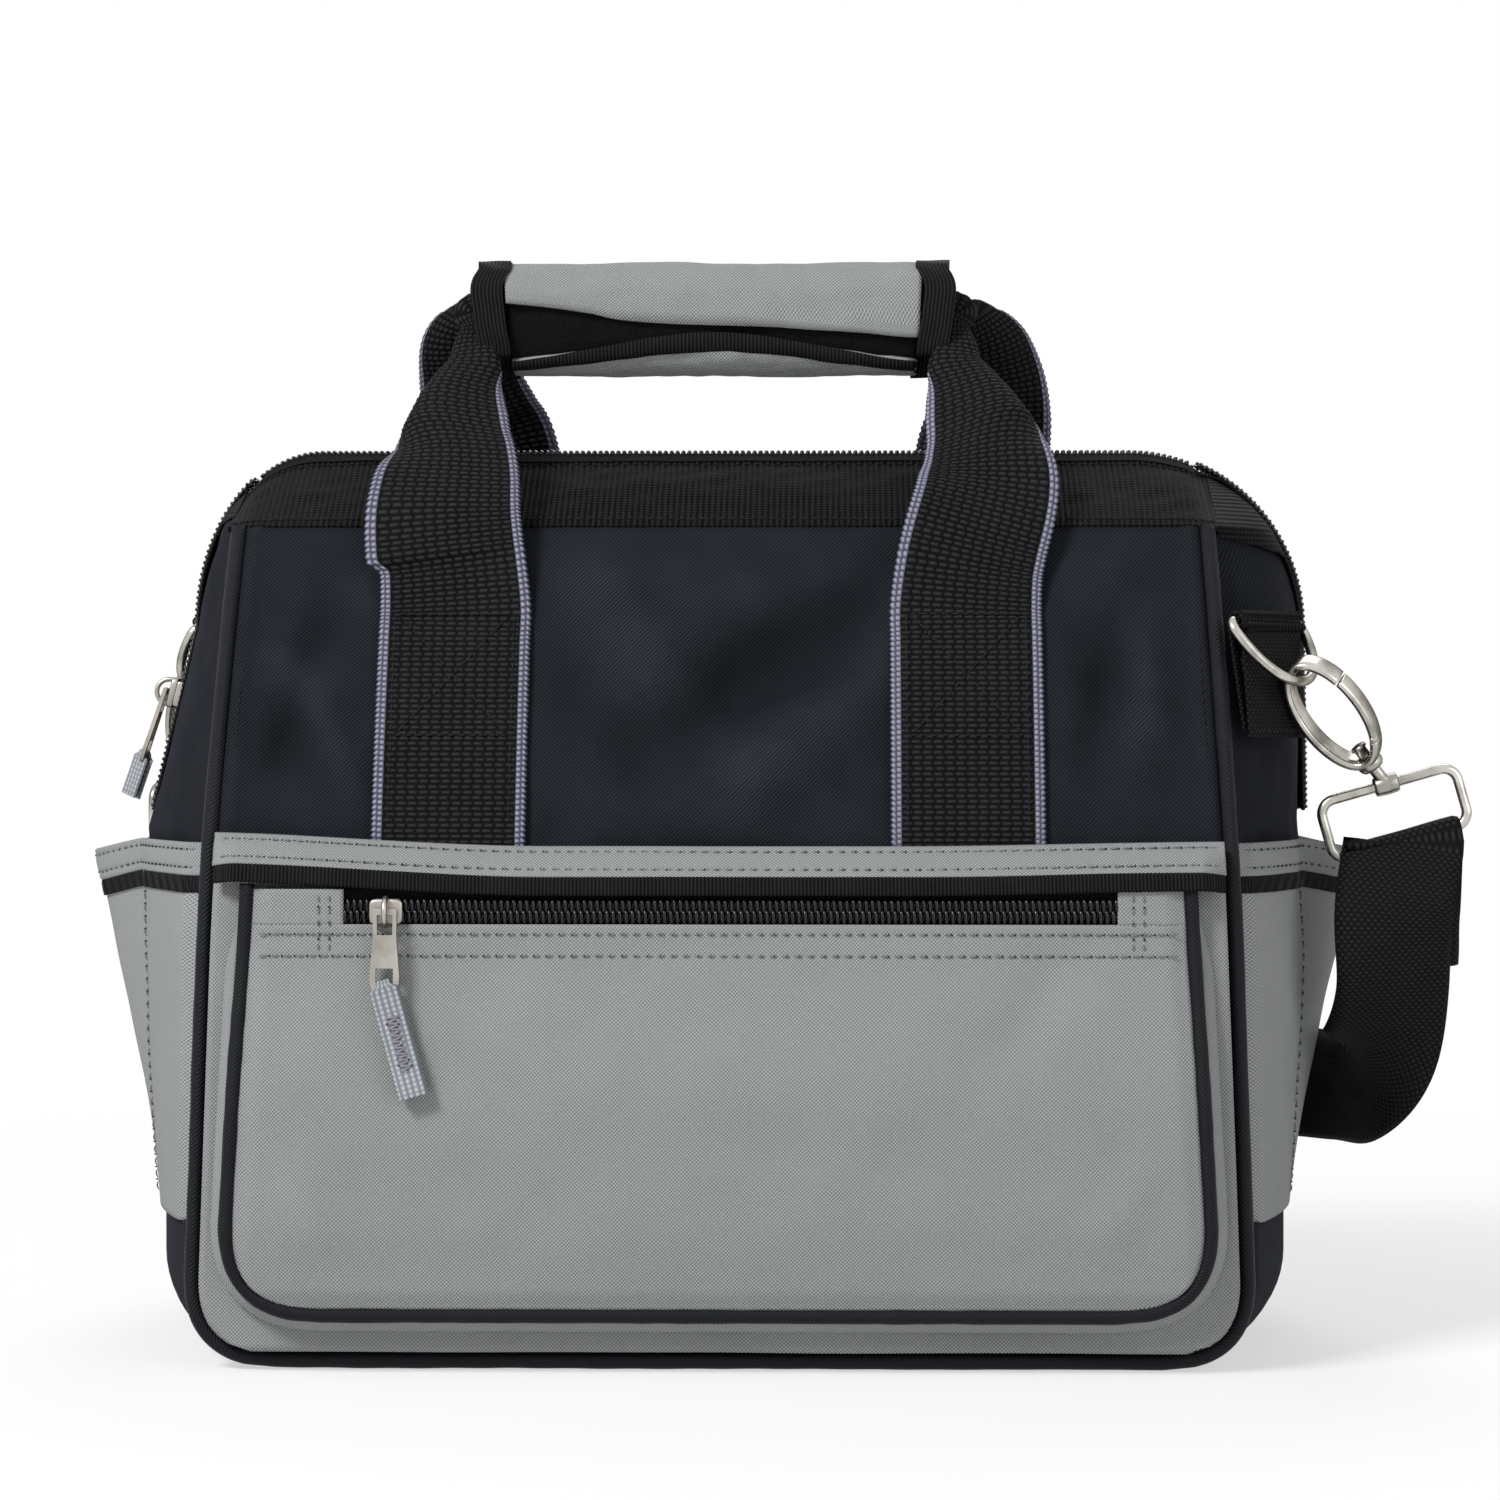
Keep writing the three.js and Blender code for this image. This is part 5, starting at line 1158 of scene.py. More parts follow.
@dataclass
class Body:
    """Panels, ends, base, piping and the lower grey cloth with its hem and tape."""

    form: BagForm = FORM
    panel_inset: float = 6.1
    lower_out: float = 4.4
    trim: float = 1.0
    hem_lean: float = 8.2
    fold_depth: float = 6.0
    hem_rows: Tuple[float, float] = (172.8, 166.6)
    board_half: Tuple[float, float, float] = (150.0, 84.0, 1.2)
    board_z: float = 5.55
    fold_rows: Tuple[Crease, ...] = (
        (8.0, (-66.0, 290.0), (8.0, 190.0), 17.0), (-8.5, (74.0, 268.0), (-46.0, 186.0), 15.0),
        (6.5, (66.0, 240.0), (-6.0, 168.0), 13.0), (6.5, (128.0, 284.0), (146.0, 188.0), 9.0),
        (-5.5, (142.0, 280.0), (120.0, 180.0), 8.0), (6.0, (-152.0, 250.0), (-112.0, 176.0), 8.0),
        (-5.5, (-128.0, 262.0), (-148.0, 184.0), 8.0),
    )

    def folds(self, x: Array, z: Array, face: Face) -> Array:
        """Soft unevenness of the upper cloth: broad ripples and listed folds between the handles."""
        hold = ease((self.form.seam - z) / 25.0) * ease((self.form.width(z) - np.abs(x)) / 22.0)
        sewn = 1.0 - 0.85 * ease((34.0 - np.abs(np.abs(x) - 85.0)) / 10.0)
        wavy = 2.3 * ripples(x, 1.3 * z, 11 + face.value, 70.0) + 0.8 * ripples(x, z, 21 + face.value, 30.0)
        ridge = 1.1 * np.exp(-(((self.form.width(z) - np.abs(x) - 9.2) / 1.9) ** 2)) * ease((z - 60.0) / 40.0)
        return hold * sewn * (wavy + creases(x, z, self.fold_rows)) + ridge - 0.6

    def shade(self, piece: bpy.types.Object, rise: Array) -> None:
        """Writes how far each point stands off its cloth, held to -1 and 1, as the fold attribute that paints
        shade and light.
        """
        layer = piece.data.attributes.new(PAINTED_FOLD_SHADE, "FLOAT", "POINT")
        layer.data.foreach_set("value", np.clip(rise / self.fold_depth, -1.0, 1.0).astype(np.float32).ravel())

    def panels(self, face: Face) -> None:
        """Black panel, grey lower panel, hem, tape and their stitches on one face."""
        form, word = self.form, face.word
        grid = form.panel_patch(
            6.2, form.seam - 0.2, self.panel_inset - 0.4, face, 130, 170, lambda x, z: self.folds(x, z, face)
        )
        panel = upright(f"{word}_panel_cloth", grid)
        # Painted shade: fold valleys darken the navy, ridges and the ridge by the seam lighten it, and the
        # 0.6 mm set-in darkens it a little.
        self.shade(panel, self.folds(grid[..., 0] * face.value, grid[..., 2], face))
        dress(thicken(panel, 3.0), "navy", "bag", f"{word}_panel")
        grid = self.hung_patch(6.4, form.hem_top - 0.3, self.panel_inset - 0.3, face, 70, 150, self.lower_sag)
        lower = upright(f"{word}_lower_cloth", grid)
        dress(thicken(lower, 1.6), "grey", "bag", f"{word}_lower_panel")
        self.hem(face)

    def lower_sag(self, x: Array, z: Array) -> Array:
        """Grey cloth a little slack between its seams: ripples that fade at the edges."""
        hold = ease((self.form.width(z) - np.abs(x)) / 30.0)
        return self.lower_out + 0.8 * hold * ripples(x, z, 31, 80.0)

    def droop(self, x: Array, z: Array) -> Array:
        """How far the hem hangs below its seam ends: two smooth steps along it, fading to none lower down."""
        fall = 1.0 + 4.4 * ease((x + 175.0) / 120.0) - 1.5 * ease((x - 60.0) / 105.0)
        return fall * ease((z - 60.0) / 80.0)

    def tip(self, x: Array, z: Array, face: Face) -> Array:
        """How far the front hem leans out over the top of the pocket, none at the seams."""
        over = np.clip((self.form.hem_top - z) / (self.form.hem_top - self.form.hem_low), 0.0, 1.0)
        return (
            self.hem_lean * over * ease((168.0 - np.abs(x)) / 12.0) * (face is Face.FRONT)
            * (z > self.form.tape_low - 1.0)
        )

    def hung_patch(
        self, low: float, high: float, inset: float, face: Face, rows: int, columns: int, out: Relief
    ) -> Array:
        """A grid on the lower half of a panel that hangs with the hem."""
        z = np.linspace(low, high, rows)[:, None]
        x = np.linspace(-1.0, 1.0, columns)[None, :] * self.form.outline(z, inset)
        z = z + 0.0 * x
        return self.form.on_panel(x, z - self.droop(x, z), out(x, z), face)

    def hem(self, face: Face) -> None:
        """Folded grey hem with two stitched rows, and the black tape below it."""
        form, word = self.form, face.word
        base = self.lower_out + self.trim

        def puff(x: Array, z: Array) -> Array:
            """Level of the hem over its panel."""
            slack = 0.35 * ripples(x, z, 41, 60.0)
            return base + form.hem_section(x, z, 0.22) + slack + self.tip(x, z, face)

        def ribs(x: Array, z: Array) -> Array:
            """Level of the tape over its panel."""
            return base + 0.25 + form.tape_section(x, z) + self.tip(x, z, face)

        inset = self.panel_inset
        grid = self.hung_patch(form.hem_low, form.hem_top, inset - 0.6, face, 26, 460, puff)
        cloth(f"{word}_hem_cloth", grid, 1.0, "grey", "bag", f"{word}_hem")
        grid = self.hung_patch(form.tape_low + 1.0, form.hem_low + 0.4, inset - 0.2, face, 8, 900, ribs)
        cloth(f"{word}_tape_cloth", grid, 0.8, "grosgrain", "bag", f"{word}_tape")
        lines = [self.hem_line(face, z) for z in self.hem_rows]
        sew(f"{word}_hem_stitches", lines, "thread", "bag")

    def hem_line(self, face: Face, z: float) -> Tuple[Array, Array]:
        """Path of a stitched row along the hem with the way out of the cloth."""
        form = self.form
        half = float(form.outline(np.asarray(z), self.panel_inset)) - 1.5
        x = np.linspace(-half, half, 240)
        seat = self.lower_out + self.trim + 0.45 + self.tip(x, np.full_like(x, z), face)
        height = z - self.droop(x, np.full_like(x, z))
        level = form.on_panel(x, height, seat, face)
        out = form.on_panel(x, height, seat + 1.0, face)
        return level, out - level

    def piping(self, face: Face) -> None:
        """Cloth-covered cord along the seam of one face, a little uneven, with a stitched row beside it."""
        form = self.form
        heights = (form.seam - 1.0, form.corner, form.piping)
        path_x, path_z = round_edge(lambda z: form.outline(z, form.piping), heights, (90, 30, 120))
        y = -(form.depth(path_z) - form.piping_seat) * face.value
        path = even_steps(np.stack([path_x * face.value, y, path_z], axis=1), 520)
        travel = np.arange(520) * 1.7
        radius = form.piping - 0.12 + 0.14 * ripples(travel, 0.0 * travel, 51, 16.0)
        cord = tube(f"{face.word}_piping_cord", path, radius, 18)
        dress(cord, "piping", "bag", f"{face.word}_piping")
        drawn = path_x * (1.0 - 6.6 / form.half_bottom) * face.value
        inner = even_steps(np.stack([drawn, y - 0.6 * face.value, path_z], axis=1), 400)
        x, z = inner[:, 0] * face.value, np.maximum(inner[:, 2], 9.0)
        level, out = (form.on_panel(x, z, np.full(400, proud), face) for proud in (0.25, 1.25))
        upper = level[:, 2] > form.hem_top + 3.0
        halves = [np.flatnonzero(upper & (level[:, 0] * s > 0.0)) for s in (-1.0, 1.0)]
        lines = [(level[h], (out - level)[h]) for h in halves]
        sew(f"{face.word}_seam_stitches", lines, "black_thread", "bag", 3.6, 2.8, 0.24)

    def ends(self, side: Side) -> None:
        """Curved black end of the bag, with soft hollows."""
        form = self.form
        tip = float(form.arch_height(np.asarray(form.half_top), side))

        def slack(y: Array, z: Array) -> Array:
            """Broad ripples that fade at the seams."""
            hold = ease((form.depth(z) - np.abs(y)) / 24.0)
            return hold * (0.9 * ripples(y, z, 61 + side.value, 60.0) + 0.5 * ripples(y, z, 64, 26.0)) - 0.9

        grid = form.gusset_patch(form.turn_up, tip, side, 110, 80, slack)
        end = upright(f"{side.word}_end_cloth", grid, 1)
        # Painted shade: hollows darken the navy and rises lighten it, and the 0.9 mm set-in of the slack
        # makes the whole end darker.
        self.shade(end, 2.5 * slack(grid[..., 1], grid[..., 2]))
        dress(thicken(end, 3.0), "navy", "bag", f"{side.word}_gusset")

    def base(self) -> None:
        """Black base: flat underneath, round at both ends and turned up to the side pockets."""
        form = self.form
        share = np.linspace(1.0, -1.0, 50)[:, None]
        top = np.asarray(form.turn_up)
        half = mix(float(form.middle(top, Side.RIGHT)), float(form.width(top)), share**2)
        angle = np.linspace(0.0, math.pi / 2.0, 14)[None, :]
        x = half - form.corner + form.corner * np.sin(angle)
        z = form.corner - form.corner * np.cos(angle) + 0.0 * half
        rise = np.linspace(form.corner, form.turn_up + 0.6, 8)[None, 1:] + 0.0 * half
        right_x = np.concatenate([x, half + 0.0 * rise], axis=1)
        right_z = np.concatenate([z, rise], axis=1)
        flat = np.linspace(-1.0, 1.0, 60)[None, 1:-1] * (half - form.corner)
        grid_x = np.concatenate([-right_x[:, ::-1], flat, right_x], axis=1)
        grid_z = np.concatenate([right_z[:, ::-1], 0.0 * flat, right_z], axis=1)
        grid_y = share * (form.half_depth - form.gusset_start + 2.2) + 0.0 * grid_x
        lift = 0.35 * ripples(grid_x, grid_y, 71, 50.0) * ease(grid_z / 12.0)
        points = np.stack([grid_x, grid_y, grid_z], axis=-1)
        points[..., 0] += lift * np.sign(grid_x)
        cloth("base_cloth", points, 3.2, "navy", "bag", "base_panel")
        board = rounded_block("base_stiffener", self.board_z * UP, np.eye(3), self.board_half, 0.12)
        dress(board, "board", "bag", "base_board")

    def build(self) -> None:
        """Makes all body pieces."""
        for face in Face:
            self.panels(face)
            self.piping(face)
        for side in Side:
            self.ends(side)
        self.base()


@dataclass
class FrontPocket:
    """Zipped pocket that stands proud of the front, with its rim, piping, zip and stitching."""

    half_bottom: float = 163.0
    half_top: float = 155.0
    bottom: float = 17.0
    top: float = 157.2
    corner: float = 34.0
    back: float = 99.7
    top_depth: float = 106.0
    belly_depth: float = 113.0
    foot_depth: float = 110.0
    belly_top: float = 84.0
    piping: float = 2.5
    zip_z: float = 150.0
    zip_half: float = 125.0
    zip_middle: float = 4.0
    slot_low: float = 145.5
    skin: float = 2.2
    tape_low: float = 143.6
    zip_rows: Tuple[float, float] = (142.6, 135.6)
    zip_row_half: float = 149.0
    end_rows: Tuple[float, ...] = (-125.5, -129.0, 134.0, 137.5)
    end_row_span: Tuple[float, float] = (136.5, 156.0)
    pulls: Tuple[Crease, ...] = (
        (1.2, (-120.0, 140.0), (-88.0, 96.0), 7.0), (-1.1, (118.0, 140.0), (84.0, 92.0), 9.0),
        (1.0, (-146.0, 70.0), (-118.0, 34.0), 8.0), (1.0, (146.0, 74.0), (116.0, 36.0), 8.0),
    )

    @property
    def inset(self) -> float:
        """How far the face stays inside the pocket's edge, under the piping."""
        return 2.0 * self.piping - 0.6

    def half(self, z: Array) -> Array:
        """Half-width of the pocket: a straight taper."""
        return mix(self.half_bottom, self.half_top, (z - self.bottom) / (self.top - self.bottom))

    def outline(self, z: Array, inset: float) -> Array:
        """Half-width drawn in by an inset, round at the lower corners."""
        return round_foot(z, self.bottom, self.corner, inset, self.half)

    def depth(self, z: Array) -> Array:
        """How far the face stands from the mid plane: a smooth line through foot, belly and zip."""
        foot = mix(self.foot_depth, self.belly_depth, ease((z - self.bottom) / self.corner))
        fall = ease((z - self.belly_top) / (self.slot_low - 1.0 - self.belly_top))
        return mix(foot, self.top_depth, fall)

    def swell(self, x: Array, z: Array) -> Array:
        """Slack of the face cloth: ripples and listed pulls that fade near its edges."""
        edge = ease((self.half(z) - np.abs(x) - 6.0) / 26.0)
        edge = edge * ease((z - self.bottom - 6.0) / 22.0) * ease((self.slot_low - z) / 10.0)
        wavy = 0.7 * ripples(x, z, 81, 95.0) + 0.3 * ripples(x, z, 84, 34.0)
        return edge * (wavy + creases(x, z, self.pulls))

    def patch(
        self, low: float, high: float, left: Optional[float], right: Optional[float], rows: int, columns: int
    ) -> Array:
        """A grid of the face between two heights and two sideways limits, None being the pocket's edge."""
        z = np.linspace(low, high, rows)[:, None]
        edge = self.outline(z, self.inset)
        start = -edge if left is None else np.full_like(z, left)
        end = edge if right is None else np.full_like(z, right)
        x = mix(start, end, np.linspace(0.0, 1.0, columns)[None, :])
        z = z + 0.0 * x
        gap = np.minimum(self.half(z) - self.inset - np.abs(x), z - self.bottom - self.inset)
        roll = 1.6 * (1.0 - ease(gap / 7.0))
        y = -(self.depth(z) + self.swell(x, z) - roll)
        return np.stack([x, y, z], axis=-1)

    def face(self) -> None:
        """Grey face below the zip and the two grey ends beside it."""
        grid = self.patch(self.bottom + self.inset, self.slot_low + 0.3, None, None, 110, 200)
        pieces = [thicken(upright("front_pocket_face", grid), 1.6)]
        for side in Side:
            inner = self.zip_middle + side.value * self.zip_half
            limits = (None, inner) if side is Side.LEFT else (inner, None)
            tab = self.patch(self.slot_low, self.top, *limits, 12, 24)
            pieces.append(thicken(surface(f"front_pocket_end_{side.word}", tab), 1.6))
        dress(pieces[0], "grey", "bag", "front_pocket")
        for piece in pieces[1:]:
            dress(piece, "grey", "bag")

    def rim(self) -> None:
        """Grey side strip from the body out to the piping, all round the sides and foot."""
        path = self.edge_path(0.6, 300)
        run = np.gradient(path, axis=0)
        away = unit(np.stack([run[:, 1], -run[:, 0]], axis=1))
        reach = np.linspace(0.0, 1.0, 8)[None, :]
        front = self.depth(path[:, 1]) - 2.0 * self.piping + 1.2
        y = -mix(self.back - 0.2, front[:, None], reach)
        spread = 4.6 * (1.0 - reach) ** 0.7 + 0.7 * np.sin(math.pi * reach)
        spread = spread * ease((self.top - path[:, 1:2]) / 30.0)
        x = path[:, :1] + spread * away[:, :1]
        z = path[:, 1:2] + spread * away[:, 1:2]
        grid = np.stack(np.broadcast_arrays(x, y, z), axis=-1)
        cloth("front_pocket_rim", grid[:, ::-1], 1.4, "grey", "bag")

    def edge_path(self, inset: float, count: int) -> Array:
        """X and Z along the pocket's edge from the top left round the foot to the top right."""
        heights = (self.top, self.bottom + self.corner, self.bottom + inset)
        xs, zs = round_edge(lambda z: self.outline(z, inset), heights, (80, 40, 100))
        return even_steps(np.stack([xs, zs, 0.0 * xs], axis=1), count)[:, :2]

    def cord(self) -> None:
        """Black piping on the pocket's edge."""
        flat = self.edge_path(self.piping, 420)
        flat[0, 1] = flat[-1, 1] = self.top + 1.6
        path = np.stack([flat[:, 0], -(self.depth(flat[:, 1]) - self.piping), flat[:, 1]], axis=1)
        travel = np.arange(len(path)) * 1.2
        radius = self.piping - 0.08 + 0.13 * ripples(travel, 0.0 * travel, 91, 13.0)
        dress(tube("front_pocket_cord", path, radius, 16), "piping", "bag", "front_pocket_piping")

    def zip(self) -> None:
        """Zip tape with ribbed edges and the two meshed coils."""
        x = self.zip_middle + np.linspace(-self.zip_half - 4.0, self.zip_half + 4.0, 320)[None, :]
        z = np.linspace(self.tape_low, self.top + 0.2, 16)[:, None] + 0.0 * x
        y = -(self.top_depth - self.skin - 0.15 + 0.12 * np.sin(TAU * (z - self.tape_low) / 1.5)) + 0.0 * x
        grid = np.stack([x + 0.0 * z, y, z], axis=-1)
        cloth("front_zip_cloth", grid, 0.5, "tape", "bag", "front_zip_tape")
        run = self.zip_middle + np.linspace(-self.zip_half, self.zip_half, 800)
        seat = -(self.top_depth - self.skin + 1.05)
        line = np.stack([run, np.full(800, seat), np.full(800, self.zip_z)], axis=1)
        coils = coil_pair("front_zip_coils", line, UP, FRONTWARD)
        dress(coils, "zip", "bag", "front_zip_chain")

    def sewing(self) -> None:
        """Two rows under the zip and two at each end of it."""
        x = np.linspace(-self.zip_row_half, self.zip_row_half, 200)
        lines = [self.on_face(x, np.full_like(x, row)) for row in self.zip_rows]
        sew("front_pocket_stitches", lines, "thread", "bag")
        z = np.linspace(*self.end_row_span, 30)
        ends = [self.on_face(np.full_like(z, row), z) for row in self.end_rows]
        sew("front_pocket_end_stitches", ends, "thread", "bag", 3.4, 2.6, 0.26)

    def on_face(self, x: Array, z: Array) -> Tuple[Array, Array]:
        """Points just on the face with the way out of it."""
        y = -(self.depth(z) + self.swell(x, z) + 0.05)
        points = np.stack([x, y, z], axis=1)
        return points, np.tile(FRONTWARD, (len(x), 1))

    def build(self) -> None:
        """Makes all pieces of the front pocket."""
        self.face()
        self.rim()
        self.cord()
        self.zip()
        self.sewing()


def coil_points(line: Array, across: Array, out: Array, sign: float, phase: float) -> Array:
    """One nylon coil along a line: a flattened screw whose loops reach over the middle.

    The loops cross the front nearly square to the line and run on behind it: the travel gains
    0.85 p cos(a) / (2 pi).

    Args:
        line: middle line of the zip.
        across: direction across the zip at each point.
        out: direction out of the cloth at each point.
        sign: which half.
        phase: start of the screw in turns.

    Returns:
        Tube points of the coil.
    """
    length = path_length(line)
    turns = int(length / COIL_PITCH)
    base = even_steps(np.hstack([line, across, out]), turns * COIL_STEP)
    angle = TAU * (np.arange(len(base)) / COIL_STEP + phase)
    reach = sign * 1.75 + 1.95 * np.cos(angle)
    slant = 0.85 * COIL_PITCH / TAU * np.cos(angle)
    path = base[:, :3] + base[:, 3:6] * reach[:, None] + base[:, 6:9] * (0.75 * np.sin(angle))[:, None]
    path = path + tangents(base[:, :3]) * slant[:, None]
    return tube_points(path, COIL_WIRE, 6)


def coil_pair(name: str, line: Array, across: Array, out: Array) -> bpy.types.Object:
    """Both meshed coils of a closed zip as one piece."""
    wide = np.broadcast_to(across, line.shape)
    proud = np.broadcast_to(out, line.shape)
    halves = []
    for sign, phase in ((-1.0, 0.0), (1.0, 0.5)):
        halves.append(rod(f"{name}_{phase}", coil_points(line, wide, proud, sign, phase)))
    return join(name, halves)


@dataclass
class SidePocket:
    """Flared grey pocket on one end, with hem, tape and the stitched lines that hold it."""

    side: Side
    form: BagForm = FORM
    stitch_rows: Tuple[float, float] = (172.6, 166.8)

    def slack(self, y: Array, z: Array) -> Array:
        """Folds of the pocket cloth: upright ripples towards its mouth, none at the seams."""
        up = ease((z - 60.0) / 90.0)
        hold = ease((self.form.depth(z) - np.abs(y)) / 20.0)
        return (
            hold * up
            * (0.9 * ripples(y, 0.35 * z, 101 + self.side.value, 34.0) + 0.5 * ripples(y, z, 107, 60.0))
        )

    def level(self, y: Array, z: Array) -> Array:
        """Distance of the pocket's outside from the end cloth."""
        edge = ease((self.form.end_reach(z, self.side) - np.abs(y)) / 5.0)
        return mix(-1.4, 2.2, edge) + self.form.flare_at(y, z) + self.slack(y, z)

    def hung(self, points: Array) -> Array:
        """Lets the mouth down: 3.5 mm at the seams, 5 mm more where it stands off, none at the base."""
        off = np.clip(1.0 - (points[..., 1] / self.form.flare_half) ** 2, 0.0, 1.0) ** 2
        drop = (3.5 + 5.0 * off) * ease((points[..., 2] - 80.0) / 85.0)
        return points - np.stack([0.0 * drop, 0.0 * drop, drop], axis=-1)

    def build(self) -> None:
        """Makes the pocket, its hem, its tape and its stitches."""
        form, word = self.form, self.side.word
        grid = self.hung(
            form.gusset_patch(form.turn_up + 0.4, form.hem_top - 0.3, self.side, 80, 110, self.level)
        )
        pocket = upright(f"{word}_side_pocket_cloth", grid, 1)
        dress(thicken(pocket, 1.6), "grey", "bag", f"{word}_side_pocket")

        def puff(y: Array, z: Array) -> Array:
            """Level of the hem over the end cloth."""
            return self.level(y, z) + 0.4 + form.hem_section(y, z, 0.2)

        def ribs(y: Array, z: Array) -> Array:
            """Level of the tape over the end cloth."""
            return self.level(y, z) + 0.4 + form.tape_section(y, z)

        grid = self.hung(form.gusset_patch(form.hem_low, form.hem_top, self.side, 26, 260, puff))
        cloth(f"{word}_side_hem_cloth", grid, 0.9, "grey", "bag", f"{word}_side_hem")
        grid = self.hung(form.gusset_patch(form.tape_low + 1.0, form.hem_low + 0.4, self.side, 8, 560, ribs))
        cloth(f"{word}_side_tape_cloth", grid, 0.8, "grosgrain", "bag", f"{word}_side_tape")
        rows = []
        for z in self.stitch_rows:
            y = np.linspace(-1.0, 1.0, 200) * (float(form.depth(np.asarray(z))) - form.gusset_start - 2.0)
            rows.append(self.sewn(y, np.full_like(y, z), 0.75))
        sew(f"{word}_side_hem_stitches", rows, "thread", "bag")
        z = np.linspace(form.turn_up + 4.0, form.hem_top - 1.0, 80)
        seams = [self.sewn(np.full_like(z, y), z, 0.3) for y in (-form.flare_half, form.flare_half)]
        sew(f"{word}_side_seam_stitches", seams, "thread", "bag")

    def sewn(self, y: Array, z: Array, proud: float) -> Tuple[Array, Array]:
        """Points on the pocket with the way out of it."""
        points = self.hung(self.form.gusset(y, z, self.level(y, z) + proud, self.side))
        return points, np.tile(np.array([float(self.side.value), 0.0, 0.0]), (len(y), 1))


